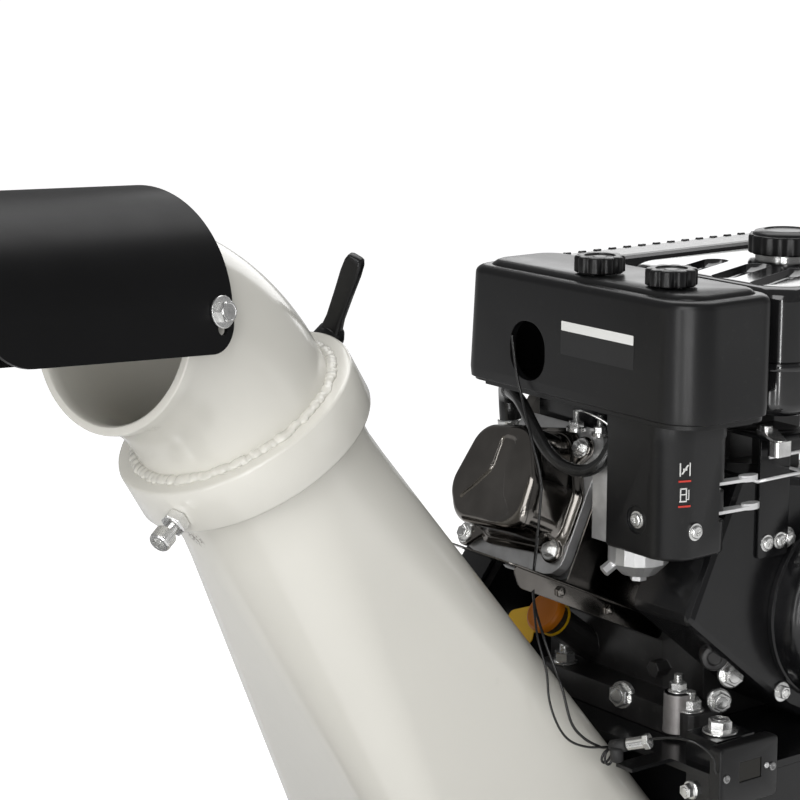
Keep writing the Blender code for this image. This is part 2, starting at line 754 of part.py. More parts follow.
def frame(machine):
    """Axle, two rails, cross members, four posts and the engine plate, welded into one."""
    half_width, half_post = RAIL_WIDTH / 2, POST_SIZE / 2
    parts = axle()
    for side in (-1, 1):
        y = side * RAIL_SPREAD
        parts.append(block((FRAME_REAR, y - half_width, RAIL_FLOOR),
                           (FRAME_FRONT, y + half_width, RAIL_TOP)))
        for x in (POST_REAR_X, POST_FRONT_X):
            parts.append(block((x - half_post, y - half_post + GAP, RAIL_TOP - 0.010),
                               (x + half_post, y + half_post - GAP, PLATE_TOP - PLATE_THICKNESS / 2)))
    inset = 0.004
    for x in (FRAME_REAR + 0.002, FRAME_FRONT - RAIL_WIDTH - 0.002, TOW_BAR_ROOT):
        parts.append(block((x, inset - RAIL_SPREAD, RAIL_FLOOR + inset),
                           (x + RAIL_WIDTH, RAIL_SPREAD - inset, RAIL_TOP - inset)))
    parts.append(block((PLATE_REAR, -PLATE_HALF_WIDTH, PLATE_TOP - PLATE_THICKNESS),
                       (PLATE_FRONT, PLATE_HALF_WIDTH, PLATE_TOP)))
    parts.append(block((0.060, -0.165, PLATE_TOP - 0.001), (0.100, -0.132, PLATE_TOP + PILLAR_HEIGHT)))
    pillar_top, bolt = PLATE_TOP + PILLAR_HEIGHT, (0.079, -0.149)
    parts.append(prism(circle(0.0105, 12, bolt), pillar_top - 0.001, pillar_top + 0.002))
    parts.append(prism([(bolt[0] + x, bolt[1] + y) for x, y in hexagon(0.0075)], pillar_top, pillar_top + 0.009))
    parts.append(block((0.010, -0.126, PLATE_TOP - 0.003), (0.056, -0.108, PLATE_TOP)))
    brace = POST_SIZE * 0.6
    for side in (-1, 1):
        parts.append(bar((POST_REAR_X, side * RAIL_SPREAD, RAIL_TOP + 0.120),
                         (POST_FRONT_X, side * RAIL_SPREAD, RAIL_TOP + 0.330), brace, brace))
    outer = TOW_BAR_SIZE / 2 + SOCKET_WALL
    parts.append(block((TOW_BAR_ROOT - 0.010, -outer, BAR_Z - outer),
                       (FRAME_FRONT + 0.020, outer, BAR_Z + outer)))
    inner = TOW_BAR_SIZE / 2 + GAP
    channel = block((TOW_BAR_ROOT - 0.020, -inner, BAR_Z - inner),
                    (FRAME_FRONT + 0.030, inner, BAR_Z + inner))
    window = block((CRANK_X - PLATE_WINDOW / 2, -PLATE_WINDOW / 2, PLATE_TOP - 0.020),
                   (CRANK_X + PLATE_WINDOW / 2, PLATE_WINDOW / 2, PLATE_TOP + 0.010))
    piece(cut(unite(*parts), channel, window), "chassis_frame", "black_paint", machine)


def tow_bar(machine):
    """The square draw bar with its hand bar, hitch plates and the ears for the leg."""
    half = TOW_BAR_SIZE / 2
    reach = TOW_BAR_REACH
    parts = [block((TOW_BAR_ROOT, -half, BAR_Z - half), (reach, half, BAR_Z + half))]
    hand_x = reach - HANDLE_SETBACK
    hand_z = BAR_Z + half + HANDLE_RADIUS * 0.6
    parts.append(rod((hand_x, -HANDLE_HALF_WIDTH, hand_z), (hand_x, HANDLE_HALF_WIDTH, hand_z),
                     HANDLE_RADIUS, 10))
    for z in (BAR_Z - half - HITCH_PLATE / 2, BAR_Z + half - HITCH_PLATE / 2):
        outline = rounded([(reach - 0.040, -half + 0.002), (reach + HITCH_LENGTH, -half + 0.002),
                           (reach + HITCH_LENGTH, half - 0.002), (reach - 0.040, half - 0.002)],
                          [0, half - 0.004, half - 0.004, 0], 4)
        parts.append(prism(outline, z, z + HITCH_PLATE))
    pin_z = BAR_Z - half - LEG_PIN_DROP
    ear_inner = LEG_SIZE / 2 + GAP
    for side in (-1, 1):
        low, high = sorted((side * ear_inner, side * (ear_inner + EAR_PLATE)))
        outline = rounded([(LEG_X - 0.022, pin_z - 0.014), (LEG_X + 0.022, pin_z - 0.014),
                           (LEG_X + 0.022, BAR_Z), (LEG_X - 0.022, BAR_Z)], [0.012, 0.012, 0, 0])
        parts.append(side_prism(outline, low, high))
    span = ear_inner + EAR_PLATE + 0.004
    parts.append(rod((LEG_X, -span, pin_z), (LEG_X, span, pin_z), LEG_PIN_RADIUS, 12))
    hole = rod((reach + HITCH_LENGTH - half, 0, BAR_Z - 0.060),
               (reach + HITCH_LENGTH - half, 0, BAR_Z + 0.060), HITCH_PIN_RADIUS, 12)
    wall = SOCKET_WALL
    bore = block((TOW_BAR_ROOT - 0.010, wall - half, BAR_Z - half + wall),
                 (reach + 0.010, half - wall, BAR_Z + half - wall))
    piece(cut(unite(*parts), bore, hole), "tow_bar", "black_paint", machine)
    return pin_z


def support_leg(machine, pin_z):
    """The folding leg with its foot plate."""
    pivot = empty("support_leg_axis", machine, place(LEG_X, 0, pin_z))
    half = LEG_SIZE / 2
    post = block((-half, -half, FOOT_THICKNESS / 2 - pin_z), (half, half, half * 0.9))
    foot = prism(rounded(rectangle(-FOOT_LENGTH / 2, -FOOT_WIDTH / 2, FOOT_LENGTH / 2, FOOT_WIDTH / 2),
                         0.012), -pin_z, FOOT_THICKNESS - pin_z)
    bore = rod((0, -LEG_SIZE, 0), (0, LEG_SIZE, 0), LEG_PIN_RADIUS + GAP, 12)
    piece(cut(unite(post, foot), bore), "support_leg", "black_paint", pivot)


# Drum housing and rotor

def drum_housing(machine):
    """The welded housing: drum case, feed throat, discharge neck, flanges and feet."""
    base_left = CHUTE_BASE_X - CHUTE_BASE_LENGTH / 2 - DRUM_X
    base_right = CHUTE_BASE_X + CHUTE_BASE_LENGTH / 2 - DRUM_X
    neck_top = HOUSING_TOP - DRUM_Z
    neck_outer = [(base_left, 0), (HOUSING_OUTER - 0.001, 0), (base_right, neck_top * 0.7),
                  (base_right, neck_top), (base_left, neck_top)]
    wall = HOUSING_WALL
    neck_inner = [(base_left + wall, 0.0), (HOUSING_INNER - 0.001, 0.0),
                  (base_right - wall, neck_top * 0.7), (base_right - wall, neck_top + 0.020),
                  (base_left + wall, neck_top + 0.020)]

    def at_drum(points):
        return [(DRUM_X + x, DRUM_Z + z) for x, z in points]

    floor, ceiling = THROAT_FLOOR, THROAT_FLOOR + THROAT_HEIGHT
    neck_half = CHUTE_BASE_WIDTH / 2
    parts = [side_prism(at_drum(circle(HOUSING_OUTER, 20)), -HOUSING_HALF, HOUSING_HALF),
             side_prism(at_drum(rectangle(-THROAT_REACH, floor - wall, -0.010, ceiling + wall)),
                        0.001 - HOUSING_HALF, HOUSING_HALF - 0.001),
             side_prism(at_drum(neck_outer), -neck_half, neck_half)]
    rim = FLANGE_WIDTH
    parts.append(end_prism(rectangle(-HOUSING_HALF - rim, THROAT_LOW - wall - rim, HOUSING_HALF + rim,
                                     THROAT_HIGH + wall + rim), THROAT_X, THROAT_X + FLANGE_THICKNESS))
    parts.append(block((CHUTE_BASE_X - CHUTE_BASE_LENGTH / 2 - CHUTE_FLANGE, -neck_half - CHUTE_FLANGE,
                        HOUSING_TOP - FLANGE_THICKNESS),
                       (CHUTE_BASE_X + CHUTE_BASE_LENGTH / 2 + CHUTE_FLANGE, neck_half + CHUTE_FLANGE,
                        HOUSING_TOP)))
    seat = RAIL_TOP + GAP
    web_top = DRUM_Z - BEARING_SIZE / 2 - 0.006
    for side in (-1, 1):
        inner, web = HOUSING_HALF - 0.002, HOUSING_HALF + 0.005
        low, high = sorted((side * inner, side * web))
        parts.append(side_prism([(DRUM_X - 0.110, seat), (DRUM_X + 0.110, seat),
                                 (DRUM_X + 0.070, web_top), (DRUM_X - 0.070, web_top)],
                                low, high))
        low, high = sorted((side * inner, side * (RAIL_SPREAD + RAIL_WIDTH / 2)))
        parts.append(block((DRUM_X - 0.120, low, seat), (DRUM_X + 0.112, high, seat + FOOT_PLATE)))
    edge_x = -math.sqrt((KNIFE_CIRCLE + BED_KNIFE_CLEARANCE) ** 2 - floor ** 2)
    bed_high = floor
    bed_low = floor - BED_KNIFE_THICKNESS
    shelf = -HOUSING_INNER * 0.93
    parts.append(side_prism(at_drum(rectangle(edge_x - BED_KNIFE_WIDTH - 0.014, bed_low - 0.016,
                                              shelf, floor)), 0.002 - HOUSING_HALF, HOUSING_HALF - 0.002))
    voids = [side_prism(at_drum(circle(HOUSING_INNER, 20)), -CAVITY_HALF, CAVITY_HALF),
             side_prism(at_drum(rectangle(-THROAT_REACH - 0.020, floor, -0.050, ceiling)),
                        -CAVITY_HALF, CAVITY_HALF),
             side_prism(at_drum(neck_inner), wall - neck_half, neck_half - wall),
             side_prism(at_drum(rectangle(edge_x - BED_KNIFE_WIDTH - GAP, bed_low - GAP,
                                          edge_x + 0.060, bed_high + 0.001)),
                        -CAVITY_HALF, CAVITY_HALF),
             rod((DRUM_X, -HOUSING_HALF - 0.020, DRUM_Z), (DRUM_X, HOUSING_HALF + 0.020, DRUM_Z),
                 SHAFT_RADIUS + RUNNING, 16)]
    piece(cut(unite(*parts), *voids), "drum_housing", "chute_paint", machine)
    bed = [(edge_x - BED_KNIFE_WIDTH, bed_low), (edge_x - 0.002, bed_low), (edge_x, bed_high - 0.003),
           (edge_x, bed_high), (edge_x - BED_KNIFE_WIDTH, bed_high)]
    piece(side_prism(at_drum(bed), GAP - CAVITY_HALF, CAVITY_HALF - GAP), "bed_knife", "bare_steel",
          machine)


def bearings(machine):
    """A square-flanged bearing on each side of the housing."""
    for side, name in ((-1, "near"), (1, "far")):
        frame_here = aim((DRUM_X, side * (HOUSING_HALF + GAP), DRUM_Z), (0, side, 0), (1, 0, 0))
        half = BEARING_SIZE / 2
        flange = prism(rounded(rectangle(-half, -half, half, half), 0.016, 3), 0, BEARING_DEPTH * 0.4)
        boss = lathe([(0, 0.001), (half * 0.78, 0.001), (half * 0.72, BEARING_DEPTH * 0.8),
                      (half * 0.55, BEARING_DEPTH), (0, BEARING_DEPTH)], 12)
        heads = [prism([(x + sx, y + sy) for sx, sy in hexagon(0.0075)], 0.004,
                       BEARING_DEPTH * 0.4 + 0.006)
                 for x in (-half + 0.015, half - 0.015) for y in (-half + 0.015, half - 0.015)]
        bore = prism(circle(clear_of(SHAFT_RADIUS, 16), 16), -0.010, BEARING_DEPTH + 0.010)
        piece(cut(unite(flange, boss, *heads), bore), f"bearing_{name}", "machine_grey", machine,
              frame_here)


def rotor(machine):
    """The drum with its knives, its shaft and the belt pulley."""
    pivot = empty("drum_axis", machine, aim((DRUM_X, 0, DRUM_Z), (0, 1, 0), (1, 0, 0)))
    half = DRUM_LENGTH / 2
    drum = prism(circle(DRUM_RADIUS, 16), -half, half)
    seat = DRUM_RADIUS * 0.85
    edge = math.sqrt(KNIFE_CIRCLE ** 2 - (seat + KNIFE_THICKNESS) ** 2)
    root = edge - KNIFE_WIDTH
    pockets = []
    for i in range(KNIFE_COUNT):
        turn = Matrix.Rotation(2 * math.pi * i / KNIFE_COUNT, 4, "Z")
        gullet = [(root - GAP, seat - GAP), (edge - 0.016, seat - GAP), (edge - 0.002, seat - 0.024),
                  (edge + 0.060, seat - 0.024), (edge + 0.060, DRUM_RADIUS + 0.020),
                  (root - GAP, DRUM_RADIUS + 0.020)]
        pockets.append(prism(gullet, -half - 0.010, half + 0.010, turn))
        blade = prism([(root, seat), (edge - 0.011, seat), (edge, seat + KNIFE_THICKNESS),
                       (root, seat + KNIFE_THICKNESS)], 0.002 - half, half - 0.002)
        bolts = [lathe([(0, 0), (0.0075, 0), (0.0075, 0.0045), (0.005, 0.006), (0, 0.006)], 12,
                       Matrix.Translation((root + 0.017, seat + KNIFE_THICKNESS - 0.001, z))
                       @ Matrix.Rotation(-math.pi / 2, 4, "X"))
                 for z in (-half * 0.66, 0, half * 0.66)]
        piece(unite(blade, *bolts), f"knife_{i + 1}", "bare_steel", pivot, turn, 25)
    pockets.append(prism(circle(clear_of(SHAFT_RADIUS, 16), 16), -half - 0.010, half + 0.010))
    piece(cut(drum, *pockets), "cutting_drum", "machine_grey", pivot)
    inner_end = -(HOUSING_HALF + BEARING_DEPTH + 0.012)
    outer_end = SHAFT_END
    shaft = lathe([(0, inner_end), (SHAFT_RADIUS - 0.001, inner_end), (SHAFT_RADIUS, inner_end + 0.001),
                   (SHAFT_RADIUS, outer_end - 0.001), (SHAFT_RADIUS - 0.001, outer_end),
                   (0, outer_end)], 16)
    piece(shaft, "drum_shaft", "bare_steel", pivot)
    piece(pulley(DRUM_PULLEY_RADIUS, SHAFT_RADIUS), "drum_pulley", "machine_grey", pivot,
          place(0, 0, PULLEY_PLANE))


def pulley(radius, shaft):
    """A grooved pulley with a hub, bored for its shaft, about the belt's plane."""
    half, bore = PULLEY_WIDTH / 2, shaft + GAP
    pitch = PULLEY_WIDTH / GROOVES
    outer = [(radius, -half)]
    for groove in range(GROOVES):
        centre = -half + pitch * (groove + 0.5)
        mouth, root = pitch * 0.38, pitch * 0.38 - GROOVE_DEPTH * math.tan(math.radians(18))
        outer += [(radius, centre - mouth), (radius - GROOVE_DEPTH, centre - root),
                  (radius - GROOVE_DEPTH, centre + root), (radius, centre + mouth)]
    outer.append((radius, half))
    rim = radius - GROOVE_DEPTH - 0.006
    if rim - PULLEY_HUB > 0.015:
        recess = half - 0.005
        return lathe([(bore, -half), (PULLEY_HUB, -half), (PULLEY_HUB, -recess + 0.008),
                      (rim, -recess + 0.008), (rim, -half)] + outer
                     + [(rim, half), (rim, recess - 0.008), (PULLEY_HUB, recess - 0.008),
                        (PULLEY_HUB, half), (bore, half)], 16)
    return lathe([(bore, -half)] + outer + [(bore, half)], 16)


def belt_path(steps_small=5, steps_large=9):
    """Stations along the belt: the pulley's centre and radius, the bearing, half the step's angle."""
    small = Vector((CRANK_X, CRANK_Z))
    large = Vector((DRUM_X, DRUM_Z))
    line = small - large
    base = math.atan2(line.y, line.x)
    lean = math.acos((DRUM_PULLEY_RADIUS - ENGINE_PULLEY_RADIUS) / line.length)
    path = []
    for i in range(steps_small + 1):
        angle = base + lean - 2 * lean * i / steps_small
        path.append((small, ENGINE_PULLEY_RADIUS, angle, lean / steps_small))
    for i in range(steps_large + 1):
        angle = base - lean - (2 * math.pi - 2 * lean) * i / steps_large
        path.append((large, DRUM_PULLEY_RADIUS, angle, (math.pi - lean) / steps_large))
    return path


def drive_belt(machine):
    """A banded belt: two V sections under one back, running round both pulleys."""
    pitch = PULLEY_WIDTH / GROOVES
    half = PULLEY_WIDTH / 2
    section = [(-half + 0.001, 0.0025), (half - 0.001, 0.0025), (half - 0.001, 0.0006)]
    for groove in reversed(range(GROOVES)):
        centre = -half + pitch * (groove + 0.5)
        mouth = pitch * 0.38 - 0.0012
        root = mouth - BELT_DEPTH * 0.8 * math.tan(math.radians(18))
        section += [(centre + mouth, 0.0006), (centre + root, -BELT_DEPTH * 0.8),
                    (centre - root, -BELT_DEPTH * 0.8), (centre - mouth, 0.0006)]
    section.append((-half + 0.001, 0.0006))
    rings = []
    for centre, radius, angle, half_step in belt_path():
        normal = Vector((math.cos(angle), math.sin(angle)))
        ring = []
        for across, rise in section:
            spot = centre + normal * (radius + rise) / math.cos(half_step)
            ring.append((spot.x, PULLEY_PLANE + across, spot.y))
        rings.append(ring)
    piece(loft(rings, closed=True), "drive_belt", "rubber", machine)


def belt_guard(machine):
    """The pressed cover over the belt, open towards the engine, with cooling slots."""
    back = RAIL_SPREAD + POST_SIZE / 2 + GAP

    def round_pulleys(margin):
        return hull_of(circle(ENGINE_PULLEY_RADIUS + margin, 18, (CRANK_X, CRANK_Z))
                       + circle(DRUM_PULLEY_RADIUS + margin, 20, (DRUM_X, DRUM_Z)))

    outer = side_prism(round_pulleys(GUARD_MARGIN + GUARD_SHEET), back, GUARD_FACE)
    inner = side_prism(round_pulleys(GUARD_MARGIN), back - 0.010, GUARD_FACE - GUARD_SHEET)
    slots = []
    mid = Vector((CRANK_X + DRUM_X, CRANK_Z + DRUM_Z)) / 2
    for i in range(5):
        z = mid.y + (i - 2) * 0.022
        slots.append(side_prism(rounded(rectangle(mid.x - 0.034, z - 0.004, mid.x + 0.034, z + 0.004),
                                        0.0039, 1), GUARD_FACE - 0.010, GUARD_FACE + 0.010))
    piece(cut(outer, inner, *slots), "belt_guard", "black_paint", machine)


# Feed side

def hopper_ring(x, grow):
    """The hopper's four corners at a place along it, grown outwards."""
    share = (HOPPER_X - x) / HOPPER_LENGTH
    half = CAVITY_HALF + (HOPPER_MOUTH_WIDTH / 2 - CAVITY_HALF) * share + grow
    low = THROAT_LOW + (MOUTH_LOW - THROAT_LOW) * share - grow
    high = THROAT_HIGH + (MOUTH_HIGH - THROAT_HIGH) * share + grow
    return [(x, -half, low), (x, half, low), (x, half, high), (x, -half, high)]


def feed_hopper(machine):
    """The sheet funnel with its throat flange, rolled mouth and hinge ears."""
    sheet = HOPPER_SHEET
    outer = loft([hopper_ring(HOPPER_X, sheet), hopper_ring(MOUTH_X, sheet)])
    rim = FLANGE_WIDTH
    wall = HOUSING_WALL
    flange = end_prism(rectangle(-HOUSING_HALF - rim, THROAT_LOW - wall - rim, HOUSING_HALF + rim,
                                 THROAT_HIGH + wall + rim), HOPPER_X - FLANGE_THICKNESS, HOPPER_X)
    half = HOPPER_MOUTH_WIDTH / 2
    hem = 0.010
    roll = end_prism(rectangle(-half - hem, MOUTH_LOW - 0.004, half + hem, MOUTH_HIGH + hem),
                     MOUTH_X, MOUTH_X + 0.008)
    ears = []
    for side in (-1, 1):
        low, high = sorted((side * (TABLE_HALF + 0.004), side * (TABLE_HALF + 0.010)))
        outline = [(MOUTH_X + 0.006, MOUTH_LOW + 0.004), (MOUTH_X - 0.002, MOUTH_LOW + 0.004),
                   (TABLE_AXIS_X - 0.010, TABLE_AXIS_Z + 0.008), (TABLE_AXIS_X - 0.010, TABLE_AXIS_Z - 0.010),
                   (TABLE_AXIS_X + 0.010, TABLE_AXIS_Z - 0.010), (MOUTH_X + 0.030, MOUTH_LOW - 0.001)]
        ears.append(side_prism(outline, low, high))
    inner = loft([hopper_ring(HOPPER_X + 0.010, 0), hopper_ring(MOUTH_X - 0.010, 0)])
    pin_end = TABLE_HALF + 0.014
    pin = rod((TABLE_AXIS_X, -pin_end, TABLE_AXIS_Z), (TABLE_AXIS_X, pin_end, TABLE_AXIS_Z),
              TABLE_ROD_RADIUS, 12)
    curtain_holes = rod((CURTAIN_X, -0.2, CURTAIN_Z), (CURTAIN_X, 0.2, CURTAIN_Z), clear_of(CURTAIN_ROD, 12), 12)
    shell = cut(unite(outer, flange, roll), inner, curtain_holes)
    piece(unite(shell, *ears, pin), "feed_hopper", "black_paint", machine)


def feed_table(machine):
    """The table that folds up over the mouth, with side wings and a knuckle along its edge."""
    pivot = empty("feed_table_axis", machine, place(TABLE_AXIS_X, 0, TABLE_AXIS_Z))
    sheet = HOPPER_SHEET
    top = TABLE_KNUCKLE - 0.001
    plate = block((-TABLE_LENGTH, -TABLE_HALF, top - sheet), (0, TABLE_HALF, top))
    knuckle = rod((0, -TABLE_HALF, 0), (0, TABLE_HALF, 0), TABLE_KNUCKLE - 0.001, 12)
    wings = []
    for side in (-1, 1):
        low, high = sorted((side * TABLE_HALF, side * (TABLE_HALF - sheet)))
        outline = rounded([(-TABLE_LENGTH, top - sheet), (-0.014, top - sheet),
                           (-0.036, top + TABLE_WING), (-TABLE_LENGTH, top + TABLE_WING * 0.5)],
                          [0, 0, 0.012, 0.012])
        wings.append(side_prism(outline, low, high))
    lip = block((-TABLE_LENGTH - sheet, -TABLE_HALF, top - 0.018),
                (-TABLE_LENGTH + 0.001, TABLE_HALF, top))
    bore = rod((0, -0.3, 0), (0, 0.3, 0), TABLE_ROD_RADIUS + GAP, 12)
    piece(cut(unite(plate, knuckle, lip, *wings), bore), "feed_table", "black_paint", pivot)


def feed_curtain(machine):
    """The slit rubber flap that hangs in front of the throat on its rod."""
    pivot = empty("feed_curtain_axis", machine, place(CURTAIN_X, 0, CURTAIN_Z))
    half = CAVITY_HALF - 0.008
    flap = block((-CURTAIN_THICKNESS / 2, -half, -CURTAIN_DROP), (CURTAIN_THICKNESS / 2, half, 0))
    reach = CAVITY_HALF + 0.010
    spindle = rod((0, -reach, 0), (0, reach, 0), CURTAIN_ROD, 12)
    slits = []
    for i in range(CURTAIN_SLITS):
        y = (i + 1) * 2 * half / (CURTAIN_SLITS + 1) - half
        slits.append(block((-0.010, y - 0.001, -CURTAIN_DROP - 0.010), (0.010, y + 0.001, -0.024)))
    piece(cut(unite(flap, spindle), *slits), "feed_curtain", "rubber", pivot)


# Discharge chute, elbow and deflector

def chute_frame():
    """Origin at the collar's top centre, Z up the leaning pipe, Y across the machine."""
    return aim((COLLAR_X, 0, COLLAR_Z), (-math.sin(CHUTE_LEAN), 0, math.cos(CHUTE_LEAN)), (1, 0, 0))


def corner_ring(half_length, half_width, radius, steps):
    """A rounded rectangle whose points pair with those of a circle, quarter by quarter."""
    ring = []
    for quarter in range(4):
        sx = 1 if quarter in (0, 3) else -1
        sy = 1 if quarter in (0, 1) else -1
        for i in range(steps + 1):
            angle = (quarter + i / steps) * math.pi / 2
            ring.append((sx * (half_length - radius) + radius * math.cos(angle),
                         sy * (half_width - radius) + radius * math.sin(angle)))
    return ring


def round_ring(radius, height, steps):
    """A circle with each quarter's ends doubled, to pair with corner_ring."""
    ring = []
    for quarter in range(4):
        for i in range(steps + 1):
            angle = (quarter + i / steps) * math.pi / 2
            ring.append((radius * math.cos(angle), radius * math.sin(angle), height))
    return ring


def transition(shrink, base_drop, top, steps=6):
    """The square-to-round body of the chute, in its own frame, shrunk by a wall."""
    to_local = chute_frame().inverted()
    base = [tuple(to_local @ Vector((CHUTE_BASE_X + x, y, CHUTE_BASE_Z - base_drop)))
            for x, y in corner_ring(CHUTE_BASE_LENGTH / 2 - shrink, CHUTE_BASE_WIDTH / 2 - shrink,
                                    CHUTE_CORNER, steps)]
    pipe_shrink = shrink * PIPE_WALL / CHUTE_SHEET
    radius = CHUTE_PIPE_RADIUS - pipe_shrink
    return loft([base, round_ring(radius, -PIPE_LENGTH, steps), round_ring(radius, top, steps)])


def discharge_chute(machine):
    """The chute from the housing's square neck to the round pipe, with its base flange."""
    frame_here = chute_frame()
    body = transition(0, 0, ELBOW_START - GAP)
    to_local = frame_here.inverted()
    half_length = CHUTE_BASE_LENGTH / 2 + CHUTE_FLANGE
    half_width = CHUTE_BASE_WIDTH / 2 + CHUTE_FLANGE
    plate = prism(rounded(rectangle(-half_length, -half_width, half_length, half_width), 0.012), 0,
                  FLANGE_THICKNESS, to_local @ place(CHUTE_BASE_X, 0, CHUTE_BASE_Z))
    void = transition(CHUTE_SHEET, 0.010, 0.010)
    piece(cut(unite(body, plate), void), "discharge_chute", "chute_paint", machine, frame_here, 24)


def elbow_frame():
    """The chute's frame turned so that X is the side to which the elbow bends."""
    return Matrix.Rotation(math.pi + ELBOW_TURN, 4, "Z")


def elbow_station(angle):
    """Centre and direction of the elbow's pipe after a bend, and the way down across it."""
    centre = Vector((ELBOW_RADIUS * (1 - math.cos(angle)), 0, ELBOW_RISE + ELBOW_RADIUS * math.sin(angle)))
    along = Vector((math.sin(angle), 0, math.cos(angle)))
    down = Vector((math.cos(angle), 0, -math.sin(angle)))
    return centre, along, down


def elbow_pipe(radius, overrun, stations=5, steps=24):
    """The bent pipe as a solid, from the chute's pipe to just past the mouth."""
    rings = []
    stops = [(0.0, ELBOW_START - ELBOW_RISE - overrun)]
    stops += [(ELBOW_BEND * i / stations, 0.0) for i in range(stations + 1)]
    stops.append((ELBOW_BEND, ELBOW_LIP + overrun))
    for angle, extra in stops:
        centre, along, down = elbow_station(angle)
        middle = centre + along * extra
        rings.append([middle + radius * (math.cos(t) * down + math.sin(t) * Vector((0, 1, 0)))
                      for t in (2 * math.pi * i / steps for i in range(steps))])
    return loft(rings)


def pivot_frame():
    """The deflector's pivot in the elbow's frame: X along the hood, Y through the bolts."""
    centre, along, down = elbow_station(ELBOW_BEND)
    mouth = centre + along * ELBOW_LIP
    origin = mouth - along * PIVOT_BACK - down * PIVOT_RISE
    forward = math.cos(DEFLECTOR_DROOP) * along + math.sin(DEFLECTOR_DROOP) * down
    upward = forward.cross(Vector((0, 1, 0)))
    return Matrix.Translation(origin) @ Matrix((forward, Vector((0, 1, 0)), upward)).transposed().to_4x4()


def discharge_elbow(pivot):
    """The elbow welded on its collar, with a boss on each side for the deflector."""
    collar = lathe([(0, -COLLAR_HEIGHT), (COLLAR_RADIUS - COLLAR_EDGE, -COLLAR_HEIGHT),
                    (COLLAR_RADIUS, COLLAR_EDGE - COLLAR_HEIGHT), (COLLAR_RADIUS, -COLLAR_EDGE),
                    (COLLAR_RADIUS - COLLAR_EDGE, 0), (0, 0)], 32)
    at_pivot = pivot_frame()
    bosses, holes = [], []
    for side in (-1, 1):
        bosses.append(rod(at_pivot @ Vector((0, side * (PIPE_RADIUS - 0.006), 0)),
                          at_pivot @ Vector((0, side * (DEFLECTOR_RADIUS - 3 * GAP), 0)),
                          PIVOT_BOSS_RADIUS, 12))
        holes.append(rod(at_pivot @ Vector((0, side * (PIPE_RADIUS - 0.020), 0)),
                         at_pivot @ Vector((0, side * (DEFLECTOR_RADIUS + 0.010), 0)),
                         PIVOT_BOLT_RADIUS + GAP, 12))
    body = unite(elbow_pipe(PIPE_RADIUS, 0.0), collar, *bosses)
    bore = prism(circle(COLLAR_BORE, 24), -COLLAR_HEIGHT - 0.010, ELBOW_START)
    screw_hole = rod((0, 0, -SET_SCREW_DROP), (COLLAR_RADIUS + 0.020, 0, -SET_SCREW_DROP),
                     SET_SCREW_RADIUS + GAP, 12)
    away = lever_frame().to_3x3() @ Vector((0, 0, 1))
    middle = Vector((0, 0, -COLLAR_HEIGHT / 2))
    stud_hole = rod(middle, middle + away * (COLLAR_RADIUS + 0.020), LEVER_STUD_RADIUS + GAP, 12)
    void = elbow_pipe(PIPE_RADIUS - PIPE_WALL, 0.012)
    piece(cut(body, void, bore, screw_hole, stud_hole, *holes), "discharge_elbow", "chute_paint", pivot,
          sharp=30)


def collar_screw(pivot):
    """The locking screw through the collar with its lock nut."""
    outward = aim((0, 0, -SET_SCREW_DROP), (1, 0, 0), (0, 0, 1))
    nut_start = COLLAR_RADIUS + GAP
    nut_end = nut_start + LOCK_NUT_HEIGHT
    nut = prism(hexagon(LOCK_NUT_RADIUS), nut_start, nut_end)
    soften(nut, 0.0008, segments=1)
    piece(cut(nut, prism(circle(SET_SCREW_RADIUS + GAP, 12), nut_start - 0.010, nut_end + 0.010)),
          "collar_lock_nut", "zinc", pivot, outward, 25)
    tip = COLLAR_BORE + 0.0010
    head = nut_end + SET_SCREW_SHOW
    end = head + SET_SCREW_HEAD
    screw = lathe([(0, tip), (SET_SCREW_RADIUS - 0.001, tip), (SET_SCREW_RADIUS, tip + 0.001),
                   (SET_SCREW_RADIUS, head), (SET_SCREW_HEAD_RADIUS, head),
                   (SET_SCREW_HEAD_RADIUS, end - 0.001), (SET_SCREW_HEAD_RADIUS - 0.001, end),
                   (0, end)], 12)
    socket = prism(hexagon(SET_SCREW_RADIUS * 0.85), end - 0.006, end + 0.010)
    piece(cut(screw, socket), "collar_set_screw", "zinc", pivot, outward, 25)


def lever_frame():
    """The clamp lever's stud in the elbow's frame: Z out of the collar, X up the pipe."""
    bearing = math.pi - ELBOW_TURN + LEVER_SWING
    out = Vector((math.cos(bearing), math.sin(bearing), 0))
    return aim(out * (COLLAR_RADIUS + GAP) + Vector((0, 0, -COLLAR_HEIGHT / 2)), out, (0, 0, 1))


